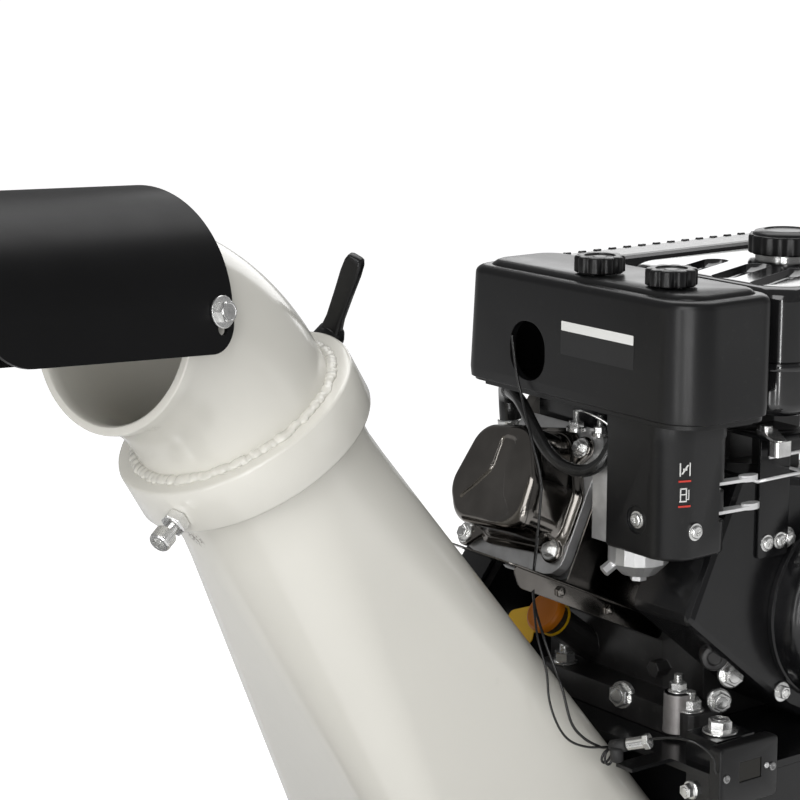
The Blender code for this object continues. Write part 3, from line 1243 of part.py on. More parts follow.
def clamp_lever(elbow_pivot):
    """The adjustable lever: a turned hub, a canted tapering arm and the threaded stud."""
    pivot = empty("clamp_lever_axis", elbow_pivot, lever_frame())
    hub = lathe([(0, 0), (LEVER_HUB_RADIUS * 0.8, 0), (LEVER_HUB_RADIUS, 0.003),
                 (LEVER_HUB_RADIUS, LEVER_HUB_LENGTH - 0.003),
                 (LEVER_HUB_RADIUS * 0.7, LEVER_HUB_LENGTH), (0, LEVER_HUB_LENGTH)], 14)
    inner = COLLAR_RADIUS + GAP - COLLAR_BORE - 0.0008
    stud = prism(circle(LEVER_STUD_RADIUS, 12), -inner, 0.004)
    along = Vector((math.cos(LEVER_TURN) * math.cos(LEVER_CANT), math.sin(LEVER_TURN)
                    * math.cos(LEVER_CANT), math.sin(LEVER_CANT)))
    across = Vector((-math.sin(LEVER_TURN), math.cos(LEVER_TURN), 0))
    out = along.cross(across)
    start = Vector((0, 0, LEVER_HUB_LENGTH * 0.62))
    rings = []
    for share, half_wide, half_deep in ((-0.06, 0.0085, 0.0070), (0.25, 0.0065, 0.0050),
                                        (0.80, 0.0075, 0.0048), (0.97, 0.0065, 0.0042),
                                        (1.0, 0.0045, 0.0030)):
        middle = start + along * LEVER_LENGTH * share
        rings.append([middle + across * x + out * y
                      for x, y in rounded(rectangle(-half_wide, -half_deep, half_wide, half_deep),
                                          min(half_wide, half_deep) * 0.55, 2)])
    piece(unite(hub, stud, loft(rings)), "clamp_lever", "black_plastic", pivot)


def chute_deflector(elbow_pivot):
    """The rolled hood: a half-round sheet with straight skirts, slotted at its pivot bolts."""
    pivot = empty("chute_deflector_axis", elbow_pivot, pivot_frame())
    inner, outer = DEFLECTOR_RADIUS, DEFLECTOR_RADIUS + DEFLECTOR_SHEET
    steps = 22
    crown = [(math.cos(math.pi * i / steps), math.sin(math.pi * i / steps)) for i in range(steps + 1)]
    outline = [(outer, -DEFLECTOR_SKIRT)]
    outline += [(outer * c, outer * s + DEFLECTOR_CENTRE) for c, s in crown]
    outline += [(-outer, -DEFLECTOR_SKIRT), (-inner, -DEFLECTOR_SKIRT)]
    outline += [(-inner * c, inner * s + DEFLECTOR_CENTRE) for c, s in crown]
    outline.append((inner, -DEFLECTOR_SKIRT))
    rear, front = -DEFLECTOR_TAIL, DEFLECTOR_LENGTH - DEFLECTOR_TAIL
    sheet = end_prism(outline, rear, front)
    corner = DEFLECTOR_CORNER
    template = rounded([(rear, -DEFLECTOR_SKIRT), (front, -DEFLECTOR_SKIRT), (front, outer + 0.010),
                        (rear, outer + 0.010)], [corner, corner * 1.6, 0, 0], 5)
    sheet = keep_inside(sheet, side_prism(template, -outer - 0.010, outer + 0.010))
    half = SLOT_WIDTH / 2
    slot = rounded([(-half, -SLOT_DROP - half), (half, -SLOT_DROP - half), (half, half), (-half, half)],
                   half * 0.98, 4)
    piece(cut(sheet, side_prism(slot, -outer - 0.010, outer + 0.010)), "chute_deflector", "satin_black",
          pivot, sharp=30)


def deflector_bolts(elbow_pivot):
    """A bolt with a flat washer under its head at each side of the hood."""
    at_pivot = pivot_frame()
    for side, name in ((-1, "far"), (1, "near")):
        outward = at_pivot @ aim((0, 0, 0), (0, side, 0), (1, 0, 0))
        start = DEFLECTOR_RADIUS + DEFLECTOR_SHEET + GAP
        end = start + WASHER_THICKNESS
        washer = prism(circle(WASHER_RADIUS, 12), start, end)
        shank = prism(circle(PIVOT_BOLT_RADIUS, 12), PIPE_RADIUS - PIPE_WALL + 0.001, end)
        head = prism(hexagon(PIVOT_HEAD_RADIUS), end - 0.001, end + PIVOT_HEAD_HEIGHT)
        soften(head, 0.0007, segments=1)
        piece(unite(washer, shank, head), f"deflector_bolt_{name}", "zinc", elbow_pivot, outward, 25)


# Engine block

def cylinder_frame():
    """Origin on the crank's axis in the cylinder's plane; Z along the cylinder, X up across it."""
    return aim((CRANK_X, CYLINDER_Y, CRANK_Z), CYLINDER_AXIS, CYLINDER_UP)


def case_outline(wall=0.0, seat_back=0.0):
    """The crankcase from the side, drawn in by a wall; seat_back draws the cylinder's seat in."""
    seat = BARREL_START - seat_back - wall
    low = cylinder_frame() @ Vector((wall - CASE_SEAT, 0, seat))
    high = cylinder_frame() @ Vector((CASE_SEAT - wall, 0, seat))
    rear, front = CRANK_X + CASE_REAR + wall + seat_back / 2, CRANK_X + CASE_FRONT - wall
    base, top = ENGINE_FLOOR + wall, ENGINE_FLOOR + CASE_TOP - wall
    return [(rear + 0.012, base), (front - 0.008, base), (front, base + 0.060), (front - 0.012, base + 0.145),
            (CRANK_X + 0.040, top), (CRANK_X - 0.040 + seat_back / 2, top + 0.003),
            (high.x, high.z), (low.x, low.z), (rear + 0.010, base + 0.062)]


def crankcase(machine):
    """The cast case with its mounting feet, oil filler and tank brackets, open on the belt side."""
    rings = [[(x, y, z) for x, z in case_outline(seat_back=back)]
             for y, back in ((CASE_NEAR, 0.030), (CASE_NEAR + 0.032, 0.0), (CASE_FAR, 0.0))]
    parts = [loft(rings)]
    base = ENGINE_FLOOR
    for x, near in ((CRANK_X + CASE_REAR, CASE_NEAR - 0.034), (CRANK_X + CASE_FRONT, CASE_NEAR + 0.010)):
        foot = rounded(rectangle(x - FOOT_REACH * 1.6, near, x + FOOT_REACH * 1.6, CASE_FAR - 0.002), 0.009, 3)
        parts.append(prism(foot, base, base + FOOT_HEIGHT))
        for y in (near + 0.014, CASE_FAR - 0.022):
            outer = x - FOOT_REACH * 0.6 if x < CRANK_X else x + FOOT_REACH * 0.6
            nut = [(outer + hx, y + hy) for hx, hy in hexagon(MOUNT_BOLT_RADIUS)]
            parts.append(prism(nut, base + FOOT_HEIGHT - 0.001, base + FOOT_HEIGHT + 0.008))
            parts.append(prism(circle(MOUNT_BOLT_RADIUS / 2, 8, (outer, y)), base + FOOT_HEIGHT,
                               base + FOOT_HEIGHT + 0.015))
    stud_x, stud_y = CRANK_X + CASE_REAR - 0.013, CASE_NEAR - 0.012
    parts.append(prism(circle(BOSS_RADIUS, 12, (stud_x, stud_y)), base + 0.004, base + BOSS_HEIGHT))
    parts.append(prism([(stud_x + hx, stud_y + hy) for hx, hy in hexagon(0.0065)],
                       base + BOSS_HEIGHT - 0.001, base + BOSS_HEIGHT + 0.006))
    parts.append(prism(circle(0.0032, 12, (stud_x, stud_y)), base + BOSS_HEIGHT, base + BOSS_HEIGHT + 0.014))
    neck_start, neck_end = Vector(OIL_NECK_ROOT), Vector(OIL_NECK_MOUTH)
    parts.append(rod(neck_start, neck_end, OIL_NECK_RADIUS, 16))
    plug_at = Vector((CRANK_X + CASE_REAR + 0.020, -0.046, base + 0.040))
    parts.append(rod(plug_at, plug_at + Vector((-0.020, 0, 0)), 0.0072, 6))
    for y in (-0.060, -0.010):
        parts.append(block((CRANK_X - 0.010, y - 0.012, base + CASE_TOP - 0.010),
                           (CRANK_X + 0.020, y + 0.012, TANK_FLOOR - GAP)))
        parts.append(block((TANK_REAR + 0.040, y - 0.012, TANK_FLOOR - 0.007),
                           (TANK_FRONT - 0.050, y + 0.012, TANK_FLOOR - GAP)))
    inside = [[(x, y, z) for x, z in case_outline(wall=CASE_WALL, seat_back=back)]
              for y, back in ((CASE_NEAR + CASE_WALL, 0.022), (CASE_NEAR + 0.034, 0.0), (CASE_FAR + 0.020, 0.0))]
    crank_bore = rod((CRANK_X, CASE_NEAR - 0.020, CRANK_Z), (CRANK_X, 0, CRANK_Z), CRANK_RADIUS + GAP, 16)
    along = (neck_end - neck_start).normalized()
    neck_bore = rod(neck_start + along * 0.004, neck_end + along * 0.010, OIL_BORE, 20)
    sleeve = prism(circle(BARREL_BORE, 16), 0.050, BARREL_START + 0.010, cylinder_frame())
    piece(cut(unite(*parts), loft(inside), crank_bore, neck_bore, sleeve), "crankcase", "machine_grey",
          machine, sharp=30)


def case_cover(machine):
    """The bearing cover on the belt side, with its rim of bolts."""
    start, end = CASE_FAR + GAP, CASE_FAR + CASE_COVER_DEPTH
    outline = case_outline(wall=0.001)
    cover = side_prism(rounded(outline, 0.010, 2), start, end)
    soften(cover, 0.003, 50, 1)
    boss = lathe([(0, -0.002), (0.034, -0.002), (0.030, 0.014), (0, 0.014)], 12,
                 aim((CRANK_X, end, CRANK_Z), (0, 1, 0), (1, 0, 0)))
    middle = Vector((CRANK_X, CRANK_Z))
    bolts = []
    for point in outline[::2] + [outline[3]]:
        spot = middle + (Vector(point) - middle) * 0.88
        bolts.append(side_prism([(spot.x + x, spot.y + z) for x, z in hexagon(0.006)], end - 0.002,
                                end + 0.005))
    bore = rod((CRANK_X, start - 0.010, CRANK_Z), (CRANK_X, end + 0.030, CRANK_Z), CRANK_RADIUS + GAP, 16)
    pocket = side_prism(case_outline(wall=CASE_WALL + 0.003), start - 0.010, end - 0.006)
    piece(cut(unite(cover, boss, *bolts), bore, pocket), "crankcase_cover", "machine_grey", machine)


def barrel(machine):
    """The finned cylinder with its foot flange, bored right through."""
    start, end = BARREL_START + GAP, BARREL_END - GAP
    parts = [prism(circle(BARREL_CORE, 16), start, end),
             prism(rounded(rectangle(0.002 - CASE_SEAT, -HEAD_HALF, CASE_SEAT - 0.002, HEAD_HALF), 0.012, 2),
                   start, start + 0.008)]
    pitch = (end - start - 0.012) / BARREL_FINS
    for i in range(BARREL_FINS):
        low = start + 0.012 + pitch * (i + 0.5) - FIN_THICKNESS / 2
        reach = HEAD_HALF + 0.004
        parts.append(prism(rounded(rectangle(-reach, -reach, reach, reach), 0.014, 2), low,
                           low + FIN_THICKNESS))
    bore = prism(circle(BARREL_BORE, 16), start - 0.010, end + 0.010)
    piece(cut(unite(*parts), bore), "cylinder_barrel", "cast_aluminium", machine, cylinder_frame())


def cylinder_head(machine):
    """The finned head with its gasket face, exhaust port and the spark plug's boss."""
    start, end = BARREL_END, HEAD_END
    core = HEAD_HALF - 0.010
    parts = [prism(rounded(rectangle(-core, -core, core, core), 0.012, 2), start, end),
             prism(rounded(rectangle(-HEAD_HALF, -HEAD_HALF, HEAD_HALF, HEAD_HALF), 0.016, 3),
                   end - 0.009, end)]
    for i in range(HEAD_FINS):
        low = start + i * (end - start - 0.009) / HEAD_FINS
        parts.append(prism(rounded(rectangle(-HEAD_HALF, -HEAD_HALF, HEAD_HALF, HEAD_HALF), 0.014, 2),
                           low, low + FIN_THICKNESS))
    local = cylinder_frame().inverted()
    port = local @ Vector(EXHAUST_PORT)
    parts.append(rod(port - Vector((0, 0.030, 0)), port, PORT_RADIUS + 0.007, 10))
    intake = local @ Vector((INTAKE_X, CYLINDER_Y - HEAD_HALF, INTAKE_Z))
    parts.append(rod(intake + Vector((0, 0.030, 0)), intake, 0.017, 10))
    plug, way = local @ Vector(PLUG_SEAT), (local.to_3x3() @ Vector(PLUG_WAY)).normalized()
    parts.append(rod(plug - way * 0.018, plug, 0.013, 12))
    turned = aim(plug, way, (0, 1, 0))
    plug_parts = [prism(hexagon(0.0105), -0.001, 0.009, turned),
                  lathe([(0, 0), (0.0068, 0), (0.0058, 0.030), (0.0030, 0.034), (0.0030, 0.040), (0, 0.040)],
                        10, turned)]
    voids = [rod(port - Vector((0, 0.024, 0)), port + Vector((0, 0.010, 0)), PORT_RADIUS, 12),
             prism(circle(BARREL_BORE * 0.9, 12), start - 0.010, start + 0.012),
             prism(circle(PLUG_WELL_RADIUS, 12), 0.0095, 0.060, turned),
             prism(rectangle(-2 * HEAD_HALF, -2 * HEAD_HALF, 2 * HEAD_HALF, 2 * HEAD_HALF), end, end + 0.040)]
    piece(unite(cut(unite(*parts), *voids), *plug_parts), "cylinder_head", "cast_aluminium", machine,
          cylinder_frame())


def valve_cover(machine):
    """The pressed cover: a rolled flange with four ears and a drawn body, hollow underneath."""
    corners = [Vector((across, -along)) for along, across in VALVE_COVER_OUTLINE]
    middle = sum(corners, Vector((0, 0))) / len(corners)

    def outline(grow, radii=0.016):
        grown = [middle + (corner - middle) * (1 + grow / (corner - middle).length) for corner in corners]
        return rounded([tuple(corner) for corner in grown], radii, 2)

    start = HEAD_END + GAP
    end = start + VALVE_COVER_DEPTH
    blend = VALVE_COVER_BLEND

    def body(shrink, low, high):
        stages = [(low, 0.0), (high - blend, -0.0005), (high - blend * 0.45, -0.0015),
                  (high - blend * 0.15, -0.004), (high, -0.008)]
        return loft([[(x, y, z) for x, y in outline(grow - shrink)] for z, grow in stages])

    flange = prism(outline(VALVE_RIM), start, start + VALVE_FLANGE)
    soften(flange, 0.0015, 50, 1)
    parts = [flange, body(0.0, start + 0.001, end)]
    for along, across in VALVE_EARS:
        ear = (across, -along)
        root = Vector(ear).lerp(middle, 0.45)
        parts.append(prism(hull_of(circle(EAR_RADIUS, 10, ear) + circle(EAR_RADIUS, 10, root)), start,
                           start + VALVE_FLANGE * 0.9))
        parts.append(prism([(ear[0] + x, ear[1] + y) for x, y in hexagon(0.0058)],
                           start + VALVE_FLANGE * 0.9 - 0.001, start + VALVE_FLANGE + 0.005))
    sheet = 0.003
    piece(cut(unite(*parts), body(sheet, start - 0.010, end - sheet)), "valve_cover", "polished_steel",
          machine, cylinder_frame(), 40)


def crank_group(machine):
    """The crankshaft with its webs, the flywheel fan and the engine's belt pulley."""
    pivot = empty("crank_axis", machine, aim((CRANK_X, 0, CRANK_Z), (0, 1, 0), (1, 0, 0)))
    near = CASE_NEAR - FLYWHEEL_SEAT - FLYWHEEL_DEPTH
    web = 0.034
    shaft = lathe([(0, near), (CRANK_RADIUS, near), (CRANK_RADIUS, CYLINDER_Y - 0.024),
                   (web, CYLINDER_Y - 0.024), (web, CYLINDER_Y - 0.012), (0.016, CYLINDER_Y - 0.012),
                   (0.016, CYLINDER_Y + 0.012), (web, CYLINDER_Y + 0.012), (web, CYLINDER_Y + 0.024),
                   (CRANK_RADIUS, CYLINDER_Y + 0.024), (CRANK_RADIUS, SHAFT_END), (0, SHAFT_END)], 12)
    piece(shaft, "crankshaft", "bare_steel", pivot)
    bore = CRANK_RADIUS + GAP
    high = CASE_NEAR - FLYWHEEL_SEAT
    disc = lathe([(bore, near), (0.030, near), (0.030, near + 0.008), (FLYWHEEL_RADIUS * 0.6, near + 0.012),
                  (FLYWHEEL_RADIUS, near + 0.012), (FLYWHEEL_RADIUS, high), (bore, high)], 18)
    vanes = []
    for i in range(FLYWHEEL_VANES):
        turn = Matrix.Rotation(2 * math.pi * i / FLYWHEEL_VANES, 4, "Z")
        vane = prism(rectangle(FLYWHEEL_RADIUS * 0.62, -0.0015, FLYWHEEL_RADIUS - 0.002, 0.0015), near,
                     near + 0.014, turn)
        vanes.append(vane)
    piece(unite(disc, *vanes), "flywheel", "machine_grey", pivot)
    piece(pulley(ENGINE_PULLEY_RADIUS, CRANK_RADIUS), "engine_pulley", "machine_grey", pivot,
          place(0, 0, PULLEY_PLANE))


# Cooling and starter

def blower_housing(machine):
    """The fan cowl with its duct to the cylinder and a ring for the starter."""
    start = CASE_NEAR - GAP
    end = start - SHROUD_DEPTH
    seat = cylinder_frame()
    corners = [seat @ Vector((side * (CASE_SEAT + 0.002), 0, DUCT_END)) for side in (-1, 1)]

    def cowl(wall):
        points = circle(SHROUD_RADIUS - wall, 26, (CRANK_X, CRANK_Z))
        middle = Vector((CRANK_X, CRANK_Z))
        for corner in corners:
            away = Vector((corner.x, corner.z)) - middle
            points.append(tuple(middle + away * (1 - wall / away.length * 1.3)))
        return hull_of(points)

    outer = side_prism(cowl(0), end, start + COWL_EDGE * 2)
    soften(outer, COWL_EDGE, 50, 2)
    beyond = block((CRANK_X - SHROUD_RADIUS * 2, start, ENGINE_FLOOR),
                   (CRANK_X + SHROUD_RADIUS * 2, start + COWL_EDGE * 3, CRANK_Z + SHROUD_RADIUS * 2))
    wall = SHROUD_WALL
    inner = side_prism(cowl(wall), end + wall, start + 0.010)
    mouth = rod((CRANK_X, end - 0.010, CRANK_Z), (CRANK_X, end + 0.010, CRANK_Z), STARTER_RADIUS * 0.86, 24)
    piece(cut(outer, inner, mouth, beyond), "blower_housing", "black_paint", machine)
    return end


def recoil_starter(machine, seat):
    """The vented starter cover and the grip that pulls out along its rope's line."""
    frame_here = aim((CRANK_X, seat - GAP, CRANK_Z), (0, -1, 0), (0, 0, -1))
    radius, depth, wall = STARTER_RADIUS, STARTER_DEPTH, 0.0025
    cup = lathe([(0, depth), (radius * 0.45, depth), (radius * 0.86, depth * 0.82),
                 (radius - 0.003, depth * 0.55), (radius, 0), (0, 0)][::-1], 18)
    hollow = lathe([(0, -0.001), (radius - wall, -0.001), (radius - 0.003 - wall, depth * 0.55 - wall),
                    (radius * 0.86 - wall, depth * 0.82 - wall), (radius * 0.45, depth - wall),
                    (0, depth - wall)], 18)
    slots = []
    for i in range(STARTER_VENTS):
        turn = Matrix.Rotation(2 * math.pi * (i + 0.5) / STARTER_VENTS, 4, "Z")
        slots.append(prism(rounded(rectangle(radius * 0.40, -0.0035, radius * 0.74, 0.0035), 0.0034, 1),
                           depth * 0.5, depth + 0.010, turn))
    spout = block((-0.012, radius * 0.80, 0.004), (0.012, radius + 0.014, depth * 0.6))
    mouth = rod((0, radius * 0.5, depth * 0.3), (0, radius + 0.030, depth * 0.3), 0.0035, 12)
    piece(cut(unite(cup, spout), hollow, mouth, *slots), "starter_cover", "black_paint", machine, frame_here)
    grip_at = frame_here @ Vector((0, radius + 0.014 + GAP, depth * 0.3))
    outward = (frame_here.to_3x3() @ Vector((0, 1, 0))).normalized()
    pivot = empty("starter_grip_axis", machine, aim(grip_at, outward, (0, 0, 1)))
    half, thick = GRIP_LENGTH / 2, GRIP_RADIUS
    handle = loft([[(x, r * math.cos(t), thick + r * math.sin(t)) for t in
                    (2 * math.pi * i / 10 for i in range(10))]
                   for x, r in ((-half, thick * 0.55), (-half * 0.85, thick * 0.9), (-half * 0.3, thick * 0.8),
                                (half * 0.3, thick * 0.8), (half * 0.85, thick * 0.9), (half, thick * 0.55))])
    stem = lathe([(0, 0), (0.007, 0), (0.006, 0.008), (0, 0.008)], 8)
    rope = lathe([(0, -0.030), (0.0025, -0.030), (0.0025, 0.004), (0, 0.004)], 8)
    piece(unite(handle, stem, rope), "starter_grip", "black_plastic", pivot)


# Air cleaner, carburettor and controls

def air_cleaner(machine):
    """The air cleaner's box with its raised lid, oval breather and two clamping knobs."""
    def plan(shrink):
        near, far = BOX_CORNER - shrink, BOX_CORNER * 0.5
        return rounded(rectangle(BOX_REAR + shrink, BOX_NEAR + shrink, BOX_FRONT - shrink, BOX_FAR - shrink),
                       [near, near * 0.5, far, far], 4)

    edge = BOX_EDGE
    outer = loft([[(x, y, z) for x, y in plan(grow)]
                  for z, grow in ((BOX_FLOOR, 0.003), (BOX_FLOOR + 0.012, 0.0), (BOX_TOP - edge, 0.0),
                                  (BOX_TOP - edge * 0.3, edge * 0.3), (BOX_TOP, edge))])
    lid = prism([(x, y) for x, y in plan(BOX_PANEL_INSET)], BOX_TOP - 0.002, BOX_TOP + BOX_PANEL)
    wall = BOX_WALL
    inner = prism(plan(wall + 0.003), BOX_FLOOR + wall, BOX_TOP - wall - 0.001)
    oval = rounded(rectangle(OVAL_Y - OVAL_WIDTH / 2, OVAL_Z - OVAL_HEIGHT / 2, OVAL_Y + OVAL_WIDTH / 2,
                             OVAL_Z + OVAL_HEIGHT / 2), OVAL_WIDTH / 2 - 0.001, 5)
    vent = end_prism(oval, BOX_REAR - 0.010, BOX_REAR + wall + 0.010)
    notch = block((BOX_REAR - 0.010, BOX_FAR - 0.008, BOX_FLOOR - 0.010),
                  (BOX_FRONT + 0.010, BOX_FAR + 0.010, BOX_FLOOR + wall - 0.001))
    throat = rod((CARB_X + 0.012, CARB_Y, BOX_FLOOR - 0.010), (CARB_X + 0.012, CARB_Y, BOX_FLOOR + 0.010),
                 0.012, 12)
    stems = [rod((KNOB_X, y, BOX_TOP - 0.020), (KNOB_X, y, BOX_TOP + 0.020), KNOB_STEM + GAP, 16)
             for y in (KNOB_FAR_Y, KNOB_NEAR_Y)]
    piece(cut(unite(outer, lid), inner, vent, notch, throat, *stems), "air_cleaner_box", "black_plastic",
          machine, sharp=30)
    filter_body = prism(rounded(rectangle(BOX_REAR + 0.022, BOX_NEAR + 0.030, BOX_FRONT - 0.014,
                                          OVAL_Y - OVAL_WIDTH / 2 - 0.012), 0.010),
                        BOX_FLOOR + wall + GAP, BOX_TOP - 0.028)
    piece(filter_body, "air_filter", "filter_paper", machine)
    for y, name in ((KNOB_FAR_Y, "far"), (KNOB_NEAR_Y, "near")):
        pivot = empty(f"lid_knob_{name}_axis", machine, place(KNOB_X, y, BOX_TOP + BOX_PANEL + GAP))
        grip = prism(ribbed(KNOB_RADIUS, 0.0022, KNOB_RIBS, 3), 0.004, KNOB_HEIGHT)
        soften(grip, 0.0012, 60, 1)
        skirt = prism(circle(KNOB_RADIUS * 0.72, 12), 0, 0.006)
        stem = prism(circle(KNOB_STEM, 12), -0.018, 0.002)
        piece(unite(skirt, grip, stem), f"lid_knob_{name}", "black_plastic", pivot)


def carburettor_cover(machine):
    """The shield in front of the carburettor, open behind and below, with slots for the levers."""
    top = BOX_FLOOR - GAP
    near = COVER_CORNER

    def plan(shrink):
        return rounded(rectangle(COVER_REAR + shrink, COVER_NEAR + shrink, COVER_FRONT - shrink, COVER_FAR),
                       [near - shrink, near * 0.4, 0, 0], 6)

    outer = loft([[(x, y, z) for x, y in plan(grow)]
                  for z, grow in ((COVER_FLOOR, 0.002), (COVER_FLOOR + 0.004, 0.0), (top, 0.0))])
    wall = BOX_WALL
    inner = block((COVER_REAR + wall, COVER_NEAR + wall + 0.001, COVER_FLOOR - 0.010),
                  (COVER_FRONT - wall, COVER_FAR + 0.020, top - wall))
    void = keep_inside(inner, prism([(x, min(y, COVER_FAR + 0.010) if y < COVER_FAR - 1e-6 else y + 0.015)
                                     for x, y in plan(wall)], COVER_FLOOR - 0.020, top + 0.010))
    dish = rod((COVER_REAR - 0.010, COVER_SCREW_Y, COVER_SCREW_Z),
               (COVER_REAR + 0.0015, COVER_SCREW_Y, COVER_SCREW_Z), 0.011, 16)
    screw = rod((COVER_REAR + 0.002, COVER_SCREW_Y, COVER_SCREW_Z),
                (COVER_REAR - 0.0015, COVER_SCREW_Y, COVER_SCREW_Z), 0.006, 6)
    slots = [block((COVER_FRONT - 0.010, COVER_NEAR - 0.004, z - 0.004),
                   (COVER_FRONT + 0.010, LEVER_Y + 0.030, z + 0.004)) for z in (CHOKE_Z, FUEL_Z)]
    port = rod((CARB_X + 0.012, CARB_Y, top - 0.010), (CARB_X + 0.012, CARB_Y, top + 0.010),
               clear_of(AIRWAY_RADIUS, 12), 12)
    shell = cut(outer, void, dish, *slots, port)
    piece(unite(shell, screw), "carburettor_cover", "black_plastic", machine, sharp=30)


def carburettor(machine):
    """The carburettor: insulator, throat body, float bowl and its drain screw."""
    bottom, radius = BOWL_TOP, BOWL_RADIUS
    body = block((CARB_X - 0.018, CARB_Y - 0.026, bottom - 0.001), (CARB_X + 0.028, CARB_Y + 0.034, 0.9815))
    bowl = lathe([(0, 0.010), (radius + 0.002, 0.010), (radius + 0.002, 0), (radius, -0.001),
                  (radius, -BOWL_STRAIGHT), (radius * 0.58, -BOWL_STRAIGHT - BOWL_TAPER),
                  (0, -BOWL_STRAIGHT - BOWL_TAPER)], 18, place(CARB_X, CARB_Y, bottom))
    drop = bottom - BOWL_STRAIGHT - BOWL_TAPER
    nut = prism([(CARB_X + x, CARB_Y + y) for x, y in hexagon(0.0065)], drop - BOWL_NUT, drop + 0.001)
    slant = Vector((CARB_X - radius * 0.78, CARB_Y + radius * 0.30, bottom - BOWL_STRAIGHT - 0.001))
    drain = rod(slant + Vector((0.006, 0, 0.003)), slant + Vector((-0.008, 0.003, -0.006)), 0.0045, 6)
    spacer = rod((INTAKE_X, CARB_Y + 0.030, INTAKE_Z), (INTAKE_X, CYLINDER_Y - HEAD_HALF - GAP, INTAKE_Z),
                 0.017, 16)
    airway = rod((CARB_X + 0.012, CARB_Y, 0.975), (CARB_X + 0.012, CARB_Y, BOX_FLOOR - GAP),
                 AIRWAY_RADIUS, 12)
    throat = rod((CARB_X + 0.012, CARB_Y, 0.965), (CARB_X + 0.012, CARB_Y, BOX_FLOOR + 0.010), 0.0070, 12)
    post_low, post_high = FUEL_Z + LEVER_PIN + GAP, CHOKE_Z - LEVER_PIN - GAP
    post = block((COVER_FRONT - 0.018, LEVER_Y - 0.006, post_low), (COVER_FRONT - 0.010, CARB_Y - 0.020, post_high))
    piece(cut(unite(body, bowl, nut, drain, spacer, airway, post), throat), "carburettor", "cast_aluminium",
          machine)


def control_lever(machine, name, height, length, angle, finish):
    """A flat lever that swings about an upright pin beside the carburettor cover."""
    pivot = empty(f"{name}_axis", machine, place(COVER_FRONT - 0.012, LEVER_Y, height))
    reach = Vector((math.cos(angle), math.sin(angle)))
    side = Vector((-reach.y, reach.x))
    tip = reach * length
    arm = hull_of([tuple(point) for point in
                   [Vector(p) for p in circle(0.0050, 12)] + [tip + Vector(p) for p in circle(0.0040, 12)]])
    blade = prism(arm, -0.0012, 0.0012)
    pad = prism([tuple(tip + side * x * 0.5 + reach * y) for x, y in circle(0.0085, 12)], -0.0018, 0.0030)
    pin = prism(circle(0.0030, 12), -LEVER_PIN, LEVER_PIN)
    piece(unite(blade, pad, pin), name, finish, pivot)


def controls(machine):
    """The chromed bracket on the cowl with the throttle lever that swings on it."""
    face = CASE_NEAR - GAP - SHROUD_DEPTH
    back = face - GAP
    low, top = CRANK_Z + 0.050, CONTROL_Z
    sheet = 0.0025
    x_low, x_high = CONTROL_X - 0.030, CONTROL_X + 0.034
    upright = block((CONTROL_X - 0.012, back - sheet, low), (CONTROL_X + 0.020, back, top))
    shelf = prism(rounded(rectangle(x_low, back - 0.016, x_high, back + 0.030), 0.006), top - sheet, top)
    lip = block((x_low + 0.006, back - 0.016, top - 0.012), (x_high - 0.006, back - 0.016 + sheet, top - 0.001))
    screws = [rod((CONTROL_X + dx, back - sheet + 0.001, low + dz), (CONTROL_X + dx, back - sheet - 0.004,
                                                                    low + dz), 0.005, 12)
              for dx, dz in ((-0.003, 0.012), (0.011, 0.012))]
    bore = prism(circle(0.0030 + GAP, 12, (CONTROL_X, CONTROL_PIN_Y)), top - 0.010, top + 0.010)
    piece(cut(unite(upright, shelf, lip, *screws), bore), "control_bracket", "polished_steel", machine)
    pivot = empty("throttle_lever_axis", machine, place(CONTROL_X, CONTROL_PIN_Y, top + GAP))
    arm = hull_of(circle(0.0075, 12) + circle(0.0050, 12, (-0.020, -THROTTLE_LENGTH)))
    blade = prism(arm, 0, 0.002)
    pin = lathe([(0, -sheet - 0.002), (0.0030, -sheet - 0.002), (0.0030, 0.001), (0.0050, 0.001),
                 (0.0050, 0.0045), (0, 0.0045)], 12)
    pad = prism(rounded([(-0.028, -THROTTLE_LENGTH - 0.006), (-0.012, -THROTTLE_LENGTH - 0.006),
                         (-0.012, 0.004 - THROTTLE_LENGTH), (-0.028, 0.004 - THROTTLE_LENGTH)], 0.003, 3),
                -0.010, 0.0015)
    piece(unite(blade, pin, pad), "throttle_lever", "zinc", pivot)


# Exhaust and fuel

